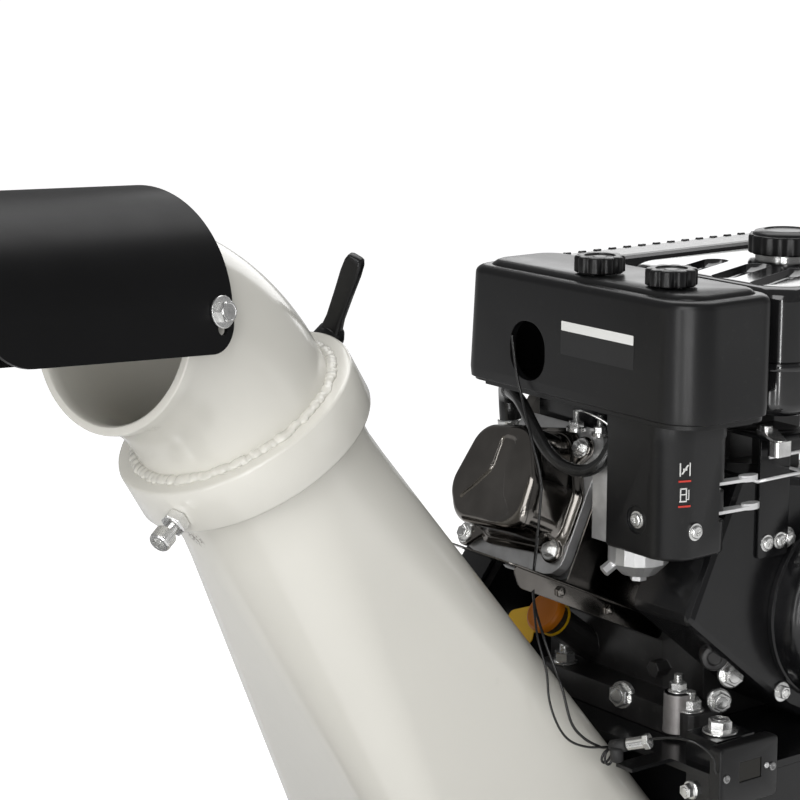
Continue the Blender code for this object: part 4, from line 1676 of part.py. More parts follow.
def muffler(machine):
    """The silencer with its bent pipe from the exhaust port, hollow from the port to its outlet."""
    near, far = SHIELD_NEAR + MUFFLER_CLEAR, SHIELD_FAR - MUFFLER_CLEAR
    low, high = SHIELD_FLOOR + MUFFLER_CLEAR, SHIELD_TOP - MUFFLER_CLEAR - 0.002
    rear, front = SHIELD_REAR + MUFFLER_CLEAR + 0.006, SHIELD_FRONT - MUFFLER_CLEAR - 0.004

    def can(shrink):
        def ring(x, grow):
            outline = rounded(rectangle(near + grow + shrink, low + grow + shrink, far - grow - shrink,
                                        high - grow - shrink), 0.016 - grow - shrink, 3)
            return [(x, y, z) for y, z in outline]
        return loft([ring(rear + shrink, 0.006), ring(rear + 0.006 + shrink, 0.0), ring(front - 0.006 - shrink, 0.0),
                     ring(front - shrink, 0.006)])

    port = Vector(EXHAUST_PORT) + Vector((0, GAP, 0))
    middle = (near + far) / 2
    run = smooth_path([port, port + Vector((0.001, 0.018, 0.001)), port + Vector((0.022, 0.040, 0.006)),
                       (rear - 0.016, middle - 0.008, low - 0.036), (rear + 0.034, middle, low + 0.024)], 3)
    void_run = [port - Vector((0, 0.010, 0))] + run
    flange = rod(port, port + Vector((0, 0.006, 0)), PORT_RADIUS + 0.010, 12)
    studs = [rod((x, middle, high - 0.010), (x, middle, SHIELD_TOP - SHIELD_SHEET - GAP), 0.006, 8)
             for x in (rear + 0.050, front - 0.050)]
    run[0] = port + Vector((0, 0.001, 0))
    body = unite(can(0.0), tube(run, PORT_RADIUS + 0.002, 8), flange, *studs)
    outlet = rod((front - 0.040, middle, low - 0.010), (front - 0.040, middle, low + 0.010), 0.008, 12)
    piece(cut(body, can(0.0025), tube(void_run, PORT_RADIUS - 0.001, 8), outlet), "muffler", "cast_steel",
          machine)


def muffler_shield(machine):
    """The heat shield over the silencer: folded sheet with pressed bumps along its top edge."""
    def ring(x, shrink, drop):
        outline = [(SHIELD_NEAR + shrink, SHIELD_FLOOR - drop), (SHIELD_FAR - shrink, SHIELD_FLOOR - drop)]
        outline += rounded(rectangle(SHIELD_NEAR + shrink, SHIELD_FLOOR, SHIELD_FAR - shrink,
                                     SHIELD_TOP - shrink), [0, 0, SHIELD_ROLL - shrink, 0.010 - shrink], 4)[2:]
        return [(x, y, z) for y, z in outline]

    sheet = SHIELD_SHEET
    outer = loft([ring(SHIELD_REAR, 0, 0), ring(SHIELD_FRONT, 0, 0)])
    pitch = (SHIELD_FRONT - SHIELD_REAR - 0.020) / SHIELD_BUMPS
    bumps = []
    for i in range(SHIELD_BUMPS):
        x = SHIELD_REAR + 0.010 + pitch * (i + 0.5)
        at = (SHIELD_FAR - SHIELD_ROLL + 0.002, SHIELD_TOP - BUMP_RADIUS + 0.0014)
        bumps.append(end_prism(circle(BUMP_RADIUS, 6, at), x - BUMP_RADIUS, x + BUMP_RADIUS))
    inner = loft([ring(SHIELD_REAR + sheet, sheet, 0.010), ring(SHIELD_FRONT - sheet, sheet, 0.010)])
    tab = side_prism(rounded(rectangle(SHIELD_REAR - TAB_REACH, SHIELD_TOP - 0.030, SHIELD_REAR + 0.020,
                                       SHIELD_TOP + 0.004), [0, 0, 0.003, 0.014], 4),
                     SHIELD_NEAR, SHIELD_NEAR + sheet)
    holes = [side_prism(rectangle(x, SHIELD_TOP - 0.006, x + 0.007, SHIELD_TOP - 0.0005), SHIELD_NEAR - 0.010,
                        SHIELD_NEAR + 0.010)
             for x in (SHIELD_REAR - TAB_REACH + 0.020, SHIELD_REAR - 0.004)]
    slots = [side_prism(rectangle(x, SHIELD_FLOOR + 0.020, x + 0.006, SHIELD_TOP - 0.046), SHIELD_FAR - 0.010,
                        SHIELD_FAR + 0.010)
             for x in (SHIELD_REAR + 0.060 + 0.032 * i for i in range(6))]
    piece(cut(unite(cut(unite(outer, *bumps), inner), tab), *holes, *slots), "muffler_shield", "black_paint", machine)


def fuel_tank(machine):
    """The tank with a seamed waist, pressed grooves on top and a neck, hollow for the fuel."""
    def ring(z, shrink, corner=TANK_CORNER):
        outline = rounded(rectangle(TANK_REAR + shrink, TANK_NEAR + shrink, TANK_FRONT - shrink,
                                    TANK_FAR - shrink), corner, 3)
        return [(x, y, z) for x, y in outline]

    edge, low, high = TANK_EDGE, TANK_FLOOR, TANK_TOP
    outer = loft([ring(low, edge), ring(low + edge * 0.3, edge * 0.3), ring(low + edge, 0.004),
                  ring(high - edge, 0.004), ring(high - edge * 0.35, edge * 0.35 + 0.002),
                  ring(high, edge + 0.002)])
    middle = (low + high) / 2 - 0.010
    seam = loft([ring(middle - 0.003, 0.0), ring(middle + 0.003, 0.0)])
    wall = TANK_WALL
    inner = loft([ring(low + wall, edge + wall), ring(low + edge + wall * 0.5, 0.004 + wall),
                  ring(high - edge - wall * 0.5, 0.004 + wall), ring(high - wall, edge + 0.002 + wall)])
    neck_at = place(CAP_X, CAP_Y, TANK_TOP)
    neck = lathe([(0, -0.012), (NECK_RADIUS, -0.012), (NECK_RADIUS, NECK_HEIGHT), (0, NECK_HEIGHT)], 20, neck_at)
    bore = prism(circle(clear_of(NECK_RADIUS - NECK_WALL, 20), 20), -0.030, NECK_HEIGHT + 0.010, neck_at)
    grooves = []
    for i in range(TANK_GROOVES):
        start = Vector((TANK_REAR + 0.036, TANK_FAR - 0.060 - 0.045 * i, high))
        way = Vector((math.cos(GROOVE_TURN), math.sin(GROOVE_TURN), 0))
        reach = min(0.064, (CAP_X - NECK_RADIUS - 0.012 - start.x))
        turned = aim(start, (0, 0, 1), way)
        groove = rounded(rectangle(0, -0.008, reach, 0.008), 0.0078, 2)
        grooves.append(prism(groove, -0.0022, 0.010, turned))
    piece(cut(unite(outer, seam, neck), inner, bore, *grooves), "fuel_tank", "black_paint", machine, sharp=30)
    pivot = empty("fuel_cap_axis", machine, place(CAP_X, CAP_Y, TANK_TOP))
    skirt = prism(ribbed(CAP_RADIUS, 0.0016, CAP_RIBS, 3), 0.003, NECK_HEIGHT + 0.006)
    crown = lathe([(0, NECK_HEIGHT + 0.005), (CAP_RADIUS - 0.003, NECK_HEIGHT + 0.005),
                   (CAP_RADIUS - 0.005, CAP_HEIGHT - 0.002), (CAP_RADIUS * 0.6, CAP_HEIGHT), (0, CAP_HEIGHT)], 18)
    over = prism(circle(clear_of(NECK_RADIUS, 20), 20), -0.001, NECK_HEIGHT + GAP)
    plug = prism(circle(NECK_RADIUS - NECK_WALL, 20), -0.004, NECK_HEIGHT + 0.004)
    piece(unite(cut(unite(skirt, crown), over), plug), "fuel_cap", "black_plastic", pivot)


# Small engine fittings

def oil_filler(machine):
    """The filler cap in its neck and the blank hanging tag round the neck."""
    root, mouth = Vector(OIL_NECK_ROOT), Vector(OIL_NECK_MOUTH)
    along = (mouth - root).normalized()
    pivot = empty("oil_cap_axis", machine, aim(mouth, along, (0, 1, 0)))
    head = lathe([(0, GAP), (OIL_CAP_RADIUS - 0.002, GAP), (OIL_CAP_RADIUS, 0.002), (OIL_CAP_RADIUS, 0.006),
                  (OIL_CAP_RADIUS - 0.0015, 0.009), (OIL_CAP_RADIUS * 0.5, 0.0105), (0, 0.0105)], 20)
    grip = prism(rounded(rectangle(-0.011, -0.0032, 0.011, 0.0032), 0.0030, 3), 0.009, OIL_CAP_HEIGHT)
    plug = prism(circle(OIL_BORE - GAP, 12), -0.014, 0.002)
    piece(unite(head, grip, plug), "oil_cap", "orange_plastic", pivot)
    tag_at = aim(mouth - along * 0.009, along, (0, 1, 0))
    ring = prism(circle(OIL_NECK_RADIUS + 0.006, 12), 0, TAG_THICKNESS)
    turned = Matrix.Rotation(TAG_TURN, 4, "Z")
    half = TAG_WIDTH / 2
    leaf = prism(rounded(rectangle(OIL_NECK_RADIUS + 0.003, -half, OIL_NECK_RADIUS + 0.003 + TAG_LENGTH, half),
                         0.003, 3), 0, TAG_THICKNESS, turned)
    bore = prism(circle(clear_of(OIL_NECK_RADIUS, 16), 16), -0.010, 0.010)
    piece(cut(unite(ring, leaf), bore), "oil_tag", "yellow_card", machine, tag_at)


def hour_meter(machine):
    """The hour counter on the platform's edge, its window sunk in the face."""
    back = -PLATE_HALF_WIDTH - GAP
    face = back - METER_DEPTH
    x, z = METER_X, METER_Z
    half_w, half_h = METER_WIDTH / 2, METER_HEIGHT / 2
    body = side_prism(rounded(rectangle(x - half_w, z - half_h, x + half_w, z + half_h), 0.004, 3), face, back)
    soften(body, 0.0012, 60, 1)
    window = side_prism(rectangle(x - half_w * 0.35, z - half_h * 0.25, x + half_w * 0.42, z + half_h * 0.42),
                        face - 0.010, face + 0.0015)
    ears = [rod((x + side * half_w * 0.80, face + 0.001, z), (x + side * half_w * 0.80, face - 0.0015, z),
                0.0035, 12) for side in (-1, 1)]
    piece(cut(unite(body, *ears), window), "hour_meter", "black_plastic", machine)


def wires(machine):
    """The meter's pick-up wire and the plug's boot with its lead, each along its real route."""
    piece(tube(smooth_path(WIRE_ROUTE, 2), WIRE_RADIUS, 6), "meter_wire", "wire_black", machine)
    seat, way = Vector(PLUG_SEAT), Vector(PLUG_WAY).normalized()
    boot_path = [seat + way * 0.0105, seat + way * 0.030] + [Vector(point) for point in BOOT_BEND]
    boot = tube(boot_path, [0.0095, 0.0095, 0.0085, 0.0070], 12)
    collar = rod(seat + way * 0.0100, seat + way * 0.0150, 0.0110, 12)
    lead = tube(smooth_path([BOOT_BEND[-2]] + LEAD_ROUTE, 2), LEAD_RADIUS, 8)
    over_plug = rod(seat + way * 0.0050, seat + way * 0.0405, clear_of(0.0068, 14), 14)
    piece(cut(unite(boot, collar, lead), over_plug), "ignition_lead", "wire_black", machine)


def build():
    """Clears the scene, builds every sub-assembly and centres the machine on its box."""
    for leftover in list(bpy.data.objects):
        bpy.data.objects.remove(leftover)
    machine = empty("machine")
    for side, name in ((1, "left"), (-1, "right")):
        wheel(side, name, machine)
    frame(machine)
    support_leg(machine, tow_bar(machine))
    drum_housing(machine)
    bearings(machine)
    rotor(machine)
    drive_belt(machine)
    belt_guard(machine)
    feed_hopper(machine)
    feed_table(machine)
    feed_curtain(machine)
    discharge_chute(machine)
    elbow_pivot = empty("elbow_axis", machine, chute_frame() @ elbow_frame())
    discharge_elbow(elbow_pivot)
    collar_screw(elbow_pivot)
    clamp_lever(elbow_pivot)
    chute_deflector(elbow_pivot)
    deflector_bolts(elbow_pivot)
    for make in (crankcase, case_cover, barrel, cylinder_head, valve_cover, crank_group):
        make(machine)
    recoil_starter(machine, blower_housing(machine))
    air_cleaner(machine)
    carburettor_cover(machine)
    carburettor(machine)
    control_lever(machine, "choke_lever", CHOKE_Z, 0.032, math.radians(-8), "black_plastic")
    control_lever(machine, "fuel_lever", FUEL_Z, 0.036, math.radians(-5), "black_plastic")
    for make in (controls, muffler, muffler_shield, fuel_tank, oil_filler, hour_meter, wires):
        make(machine)
    bpy.context.view_layer.update()
    corners = [thing.matrix_world @ Vector(corner) for thing in bpy.data.objects if thing.type == "MESH"
               for corner in thing.bound_box]
    low = Vector(min(corner[i] for corner in corners) for i in range(3))
    high = Vector(max(corner[i] for corner in corners) for i in range(3))
    machine.location = (-(low.x + high.x) / 2, -(low.y + high.y) / 2, -low.z)
    bpy.context.view_layer.update()


build()
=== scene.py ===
"""The looks of a petrol garden shredder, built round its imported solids.

Every piece is placed in the maker's frame of the machine, in metres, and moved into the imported
model's frame by SHIFT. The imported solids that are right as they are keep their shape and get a
finish; the others are stood for by finer pieces of the same size in the same place.
"""

from __future__ import annotations

import json
import logging
from dataclasses import dataclass
from enum import Enum
from math import acos, asin, atan2, cos, pi, radians, sin, tan
from typing import Callable, Iterable, Sequence, Union

import bmesh
import bpy
from mathutils import Matrix, Vector


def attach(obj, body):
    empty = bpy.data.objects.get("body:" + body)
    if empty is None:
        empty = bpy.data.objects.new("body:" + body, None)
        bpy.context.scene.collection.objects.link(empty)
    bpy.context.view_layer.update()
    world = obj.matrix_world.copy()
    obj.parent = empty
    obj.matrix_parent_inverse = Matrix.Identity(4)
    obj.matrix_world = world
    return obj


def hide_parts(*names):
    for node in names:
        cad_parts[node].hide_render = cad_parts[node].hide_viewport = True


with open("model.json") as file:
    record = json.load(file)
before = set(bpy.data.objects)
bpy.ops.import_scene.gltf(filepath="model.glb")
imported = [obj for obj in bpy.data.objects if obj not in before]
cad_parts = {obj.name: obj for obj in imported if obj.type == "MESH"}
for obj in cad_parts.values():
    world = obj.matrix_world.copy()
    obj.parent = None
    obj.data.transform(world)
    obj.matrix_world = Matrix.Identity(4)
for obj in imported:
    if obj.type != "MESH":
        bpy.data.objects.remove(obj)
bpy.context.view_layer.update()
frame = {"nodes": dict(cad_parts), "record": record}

log = logging.getLogger("shredder")

SHIFT = Matrix.Translation((-0.1477, 0, 0))     # from the maker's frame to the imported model's
HERE = Matrix.Identity(4)
UP = (0, 0, 1)
DECK = 0.7503           # the platform's top, on which the engine stands
CRANK = (0.215, 0.85)   # the crank's axis, x and z
GAP = 0.0003            # running gap between parts
FULL = 2 * pi

Point = Union[Sequence[float], Vector]
Colour = tuple[float, float, float]
Outline = list[tuple[float, float]]
Item = bpy.types.Object
Material = bpy.types.Material
Node = bpy.types.Node
Socket = bpy.types.NodeSocket


# Shader maths

class Value:
    """A number that varies over a surface; Python's operators add the Math nodes."""

    def __init__(self, recipe: "Recipe", socket: Socket) -> None:
        """Wraps an output socket of the recipe's tree."""
        self.recipe = recipe
        self.socket = socket

    def maths(self, operation: str, *terms: object) -> "Value":
        """Adds one Math node with values or numbers as its inputs and gives its result."""
        made = self.recipe.node("ShaderNodeMath", dict(enumerate(terms)), operation=operation)
        return Value(self.recipe, made.outputs[0])

    def __add__(self, other: object) -> "Value":
        """Sum."""
        return self.maths("ADD", self, other)

    __radd__ = __add__

    def __sub__(self, other: object) -> "Value":
        """Difference."""
        return self.maths("SUBTRACT", self, other)

    def __mul__(self, other: object) -> "Value":
        """Product."""
        return self.maths("MULTIPLY", self, other)

    def within(self, low: float, high: float) -> "Value":
        """A smooth step from 0 at low to 1 at high; low may be the greater."""
        made = self.recipe.node(
            "ShaderNodeMapRange", {"Value": self, "From Min": low, "From Max": high},
            interpolation_type="SMOOTHSTEP")
        return Value(self.recipe, made.outputs[0])


class NodeTree:
    """Short ways to fill a tree of nodes, which a subclass keeps in its tree attribute."""

    def node(self, kind: str, inputs: dict | None = None, **settings: object) -> Node:
        """Adds a node.

        Args:
            kind: The node's type.
            inputs: Values or links of its sockets, by name or number.
            settings: Its settings, which are set first.

        Returns:
            The new node.
        """
        made = self.tree.nodes.new(kind)
        for name, value in settings.items():
            setattr(made, name, value)
        for name, value in (inputs or {}).items():
            self.feed(made.inputs[name], value)
        return made

    def feed(self, socket: Socket, value: object) -> None:
        """Links a value or an output to a socket, or sets a plain number or colour on it."""
        if isinstance(value, Value):
            self.tree.links.new(value.socket, socket)
        elif isinstance(value, Socket):
            self.tree.links.new(value, socket)
        elif isinstance(value, (tuple, list)) and len(value) == 3 and socket.type == "RGBA":
            socket.default_value = (*value, 1.0)
        else:
            socket.default_value = value


class Recipe(NodeTree):
    """One material's node tree, with short ways to its usual parts."""

    def __init__(self, name: str, world: bpy.types.World | None = None) -> None:
        """Starts a material of this name on its Principled shader, or a world on its background."""
        self.material = world or bpy.data.materials.new(name)
        self.material.use_nodes = True
        self.tree = self.material.node_tree
        self.shader = self.tree.nodes["Background" if world else "Principled BSDF"]
        self.place = self.node("ShaderNodeTexCoord").outputs["Object"]

    def moved(self, centre: Point = (0, 0, 0), turn: Point = (0, 0, 0), scale: Point = (1, 1, 1)) -> object:
        """Object coordinates seen from a centre, turned, then scaled."""
        away = self.node("ShaderNodeVectorMath", {0: self.place, 1: tuple(centre)}, operation="SUBTRACT")
        mapped = self.node(
            "ShaderNodeMapping",
            {"Vector": away.outputs[0], "Rotation": tuple(turn), "Scale": tuple(scale)},
            vector_type="POINT")
        return mapped.outputs[0]

    def noise(self, scale: float, detail: float = 2.0, at: object = None, rough: float = 0.5) -> Value:
        """Soft noise of a number of cells per metre."""
        made = self.node(
            "ShaderNodeTexNoise",
            {"Vector": at or self.place, "Scale": scale, "Detail": detail, "Roughness": rough})
        return Value(self, made.outputs[0])

    def far_from(self, centre: Point) -> Value:
        """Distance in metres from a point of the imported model's frame."""
        made = self.node("ShaderNodeVectorMath", {0: self.place, 1: tuple(centre)}, operation="DISTANCE")
        return Value(self, made.outputs["Value"])

    def blend(self, share: object, first: object, second: object) -> object:
        """A colour between two, by a share from 0 to 1."""
        made = self.node("ShaderNodeMix", data_type="RGBA")
        self.feed(made.inputs[0], share)
        self.feed(made.inputs[6], first)
        self.feed(made.inputs[7], second)
        return made.outputs[2]

    def bump(self, height: Value, depth: float, under: object = None, strength: float = 1.0) -> object:
        """A normal pushed in and out by a height, in metres, over another normal."""
        made = self.node("ShaderNodeBump", {"Height": height, "Distance": depth, "Strength": strength})
        if under is not None:
            self.feed(made.inputs["Normal"], under)
        return made.outputs[0]

    def soft_edge(self, radius: float) -> object:
        """A normal that rounds every edge by a radius."""
        return self.node("ShaderNodeBevel", {"Radius": radius}, samples=4).outputs[0]

    def done(self, **inputs: object) -> Material:
        """Sets the shader's sockets by their names, with _ for a space, and gives the material."""
        for name, value in inputs.items():
            self.feed(self.shader.inputs[name.replace("_", " ")], value)
        return self.material


# Finishes

@dataclass(frozen=True)
class Coat:
    """A painted, moulded or cast surface with uneven colour, uneven gloss and a fine texture."""

    name: str
    colour: Colour
    gloss: float = 0.3              # roughness
    metallic: float = 0.0
    mottle: float = 0.12            # how much the colour drifts
    mottle_scale: float = 9.0
    grain: float = 900.0            # cells per metre of the fine texture
    grain_depth: float = 0.00002
    wave: float = 60.0              # cells per metre of the slow unevenness
    wave_depth: float = 0.0001
    streak: float = 0.0             # share of brushed streaks
    dust: float = 0.0               # share of pale dust
    edge: float = 0.0006            # rounding of edges
    coat: float = 0.0
    specular: float = 0.5
    marks: tuple = ()               # dirt: centre, radius and share

    def build(self) -> Material:
        """Builds the node tree.

        Returns:
            The finished material.
        """
        r = Recipe(self.name)
        drift = r.noise(self.mottle_scale, 4).within(0.3, 0.7)
        dark = tuple(c * (1 - self.mottle) for c in self.colour)
        light = tuple(min(1.0, c * (1 + self.mottle)) for c in self.colour)
        colour = r.blend(drift, dark, light)
        fine = r.noise(self.grain, 3, rough=0.6)
        slow = r.noise(self.wave, 2)
        gloss = self.gloss * 0.85 + slow * self.gloss * 0.3
        if self.streak:
            lines = r.noise(40.0, 3, r.moved(scale=(1.0, 1.0, 30.0)), 0.7)
            gloss = gloss + (lines - 0.5) * self.streak
        if self.dust:
            specks = r.noise(140.0, 5, rough=0.75).within(0.56, 0.75) * self.dust
            colour = r.blend(specks, colour, (0.35, 0.34, 0.32))
            gloss = gloss + specks * 0.25
        for centre, radius, share in self.marks:
            patch = r.far_from(centre).within(radius, radius * 0.2) * r.noise(
                330.0, 5, rough=0.7).within(0.44, 0.6)
            colour = r.blend(patch * share, colour, (0.055, 0.036, 0.02))
        normal = r.soft_edge(self.edge) if self.edge else None
        normal = r.bump(slow, self.wave_depth, normal)
        normal = r.bump(fine, self.grain_depth, normal)
        return r.done(
            Base_Color=colour, Roughness=gloss, Metallic=self.metallic, Coat_Weight=self.coat,
            Coat_Roughness=0.08, Specular_IOR_Level=self.specular, Normal=normal)


class Finish(Enum):
    """The machine's finishes, by the record's material slot."""

    CHUTE = Coat(
        "chute_paint", (0.665, 0.65, 0.595), 0.2, mottle=0.02, mottle_scale=5.0, grain=700.0,
        grain_depth=0.00001, wave=120.0, wave_depth=0.00007, edge=0.0008, coat=0.3,
        marks=(
            ((-0.4465, -0.008, 0.9545), 0.0085, 0.85), ((-0.45, -0.003, 0.956), 0.006, 0.7),
            ((-0.508, -0.053, 1.0509), 0.008, 0.16), ((-0.362, -0.076, 1.033), 0.005, 0.25),
            ((-0.24, -0.087, 0.83), 0.006, 0.12)))
    BLACK_PAINT = Coat(
        "black_paint", (0.0055, 0.0055, 0.006), 0.2, mottle=0.25, grain=1100.0, grain_depth=0.00001,
        wave=160.0, wave_depth=0.00005, dust=0.03, specular=0.4)
    SATIN = Coat(
        "satin_black", (0.0052, 0.0052, 0.0056), 0.36, mottle=0.12, grain=1800.0, grain_depth=0.000012,
        wave=30.0, wave_depth=0.00003, streak=0.06, edge=0.0005, specular=0.12)
    CASTING = Coat(
        "machine_grey", (0.013, 0.0125, 0.0125), 0.34, mottle=0.3, mottle_scale=25.0, grain=650.0,
        grain_depth=0.00005, wave=90.0, wave_depth=0.00015, dust=0.06, edge=0.0018, specular=0.4)
    ALUMINIUM = Coat(
        "cast_aluminium", (0.58, 0.58, 0.58), 0.32, 0.75, mottle=0.18, mottle_scale=40.0, grain=900.0,
        grain_depth=0.00005, wave=150.0, wave_depth=0.0001, edge=0.0009)
    CHROME = Coat(
        "polished_steel", (0.19, 0.178, 0.165), 0.12, 1.0, mottle=0.15, mottle_scale=30.0, grain=500.0,
        grain_depth=0.00001, wave=45.0, wave_depth=0.00012, edge=0.0008)
    ZINC = Coat(
        "zinc", (0.74, 0.74, 0.73), 0.22, 0.9, mottle=0.15, mottle_scale=80.0, grain=1500.0,
        grain_depth=0.00002, wave=300.0, wave_depth=0.00005, edge=0.0004)
    STEEL = Coat(
        "bare_steel", (0.35, 0.35, 0.35), 0.34, 1.0, mottle=0.2, grain=1200.0, grain_depth=0.00002,
        streak=0.15)
    PLASTIC = Coat(
        "black_plastic", (0.006, 0.006, 0.0064), 0.3, mottle=0.12, grain=1500.0, grain_depth=0.000015,
        wave=50.0, wave_depth=0.00005, dust=0.02, edge=0.0009, specular=0.35)
    OIL_CAP = Coat("orange_plastic", (0.46, 0.135, 0.003), 0.36, mottle=0.12, grain=1400.0, specular=0.3)
    RUBBER = Coat(
        "rubber", (0.012, 0.012, 0.012), 0.62, mottle=0.2, grain=900.0, grain_depth=0.00006, wave=60.0,
        dust=0.18)
    WIRE = Coat("wire_black", (0.01, 0.01, 0.01), 0.22, mottle=0.1, grain=1500.0, edge=0.0)
    ROUGH_STEEL = Coat(
        "cast_steel", (0.1, 0.095, 0.088), 0.5, 0.7, mottle=0.35, mottle_scale=30.0, grain=700.0,
        grain_depth=0.00008, wave=120.0, wave_depth=0.0002)
    PAPER = Coat("filter_paper", (0.55, 0.48, 0.33), 0.85, mottle=0.1, grain=900.0)
    CARD = Coat("yellow_card", (0.66, 0.39, 0.006), 0.38, mottle=0.05, grain=800.0, edge=0.0)
    TANK = Coat(
        "tank_gloss", (0.006, 0.006, 0.0065), 0.12, mottle=0.2, grain=900.0, grain_depth=0.000006,
        wave=70.0, wave_depth=0.00006, dust=0.02, coat=0.5)
    LABEL = Coat("label_film", (0.0085, 0.0085, 0.009), 0.3, mottle=0.1, edge=0.0)
    WHITE = Coat("white_print", (0.72, 0.72, 0.7), 0.4, mottle=0.03, edge=0.0)
    RED = Coat("red_print", (0.6, 0.045, 0.03), 0.4, mottle=0.05, edge=0.0)
    RAW_CASTING = Coat(
        "raw_casting", (0.3, 0.285, 0.28), 0.42, 0.6, mottle=0.2, mottle_scale=60.0, grain=800.0,
        grain_depth=0.00005, edge=0.0008)
    BRIGHT = Coat("bright_lever", (0.82, 0.82, 0.82), 0.3, 0.5, mottle=0.06, grain=900.0, edge=0.0004)
    WINDOW = Coat("meter_glass", (0.01, 0.009, 0.006), 0.15, specular=0.3)

    @property
    def material(self) -> Material:
        """The material, built at its first use."""
        if self.value.name not in BUILT:
            BUILT[self.value.name] = self.value.build()
        return BUILT[self.value.name]


BUILT: dict[str, Material] = {}
SLOTS = {entry.get("slot") for entry in frame["record"].get("materials", [])}


# Outlines

def mm(*numbers: object) -> tuple:
    """Numbers, or points of numbers, from millimetres to metres."""
    return tuple(mm(*number) if isinstance(number, tuple) else number / 1000 for number in numbers)


def round_turn(steps: int) -> list[float]:
    """The angles of equal steps round a full turn."""
    return [FULL * i / steps for i in range(steps)]


def swept(steps: int, sweep: float = pi / 2, start: float = 0.0) -> list[float]:
    """The angles of equal steps over a sweep, with both ends; a quarter turn if nothing is said."""
    return [start + sweep * i / steps for i in range(steps + 1)]


def circle(radius: float, steps: int) -> Outline:
    """Points of a full circle, counter-clockwise."""
    return [(radius * cos(t), radius * sin(t)) for t in round_turn(steps)]


def disc(radius: float, low: float, high: float) -> Outline:
    """The profile of a flat disc between two heights."""
    return [(0, low), (radius, low), (radius, high), (0, high)]


def scaled(outline: Sequence[Point], middle: Vector, share: float) -> list[Vector]:
    """An outline drawn larger or smaller round a middle."""
    return [middle + (Vector(point) - middle) * share for point in outline]


def stack(outline: Callable, stages: Iterable[tuple], order: str = "xyz") -> list[list[Point]]:
    """Rings for a loft: an outline drawn at each stage's shrink or growth, at the stage's height.

    Args:
        outline: Gives the points for a growth.
        stages: Each stage's height and growth.
        order: The axes on which the outline's two numbers and the height go.

    Returns:
        The rings.
    """
    slots = [order.index(axis) for axis in "xyz"]
    return [
        [tuple((a, b, height)[slot] for slot in slots) for a, b in outline(grow)]
        for height, grow in stages]


def rectangle(left: float, low: float, right: float, high: float) -> Outline:
    """Corners of an upright rectangle, counter-clockwise."""
    return [(left, low), (right, low), (right, high), (left, high)]


def hexagon(radius: float) -> Outline:
    """A hexagon's corners."""
    return circle(radius, 6)


def rounded(points: Sequence[Point], radius: object, steps: int = 8) -> Outline:
    """Turns each corner of an outline into an arc.

    Args:
        points: The outline's corners.
        radius: One radius, or one for each corner.
        steps: Steps of each arc.

    Returns:
        The rounded outline.
    """
    count = len(points)
    radii = radius if isinstance(radius, (list, tuple)) else [radius] * count
    outline = []
    for i, corner in enumerate(points):
        here = Vector(corner)
        back = (Vector(points[i - 1]) - here).normalized()
        ahead = (Vector(points[(i + 1) % count]) - here).normalized()
        if radii[i] <= 0:
            outline.append(tuple(here))
            continue
        half = back.angle(ahead) / 2
        reach = radii[i] / tan(half)
        centre = here + (back + ahead).normalized() * radii[i] / sin(half)
        start = here + back * reach - centre
        sweep = start.angle_signed(here + ahead * reach - centre)
        for step in range(steps + 1):
            outline.append(tuple(centre + Matrix.Rotation(-sweep * step / steps, 2) @ start))
    return outline


def place(x: float, y: float, z: float) -> Matrix:
    """A translation."""
    return Matrix.Translation((x, y, z))


def aim(origin: Point, z_axis: Point, x_axis: Point = UP) -> Matrix:
    """A frame at origin with Z along z_axis and X near x_axis."""
    up = Vector(z_axis).normalized()
    across = up.cross(Vector(x_axis)).normalized()
    return Matrix.Translation(origin) @ Matrix((across.cross(up), across, up)).transposed().to_4x4()


SIDE_ON = Matrix(((1, 0, 0, 0), (0, 0, -1, 0), (0, 1, 0, 0), (0, 0, 0, 1)))
END_ON = Matrix(((0, 0, 1, 0), (1, 0, 0, 0), (0, 1, 0, 0), (0, 0, 0, 1)))


# Solids

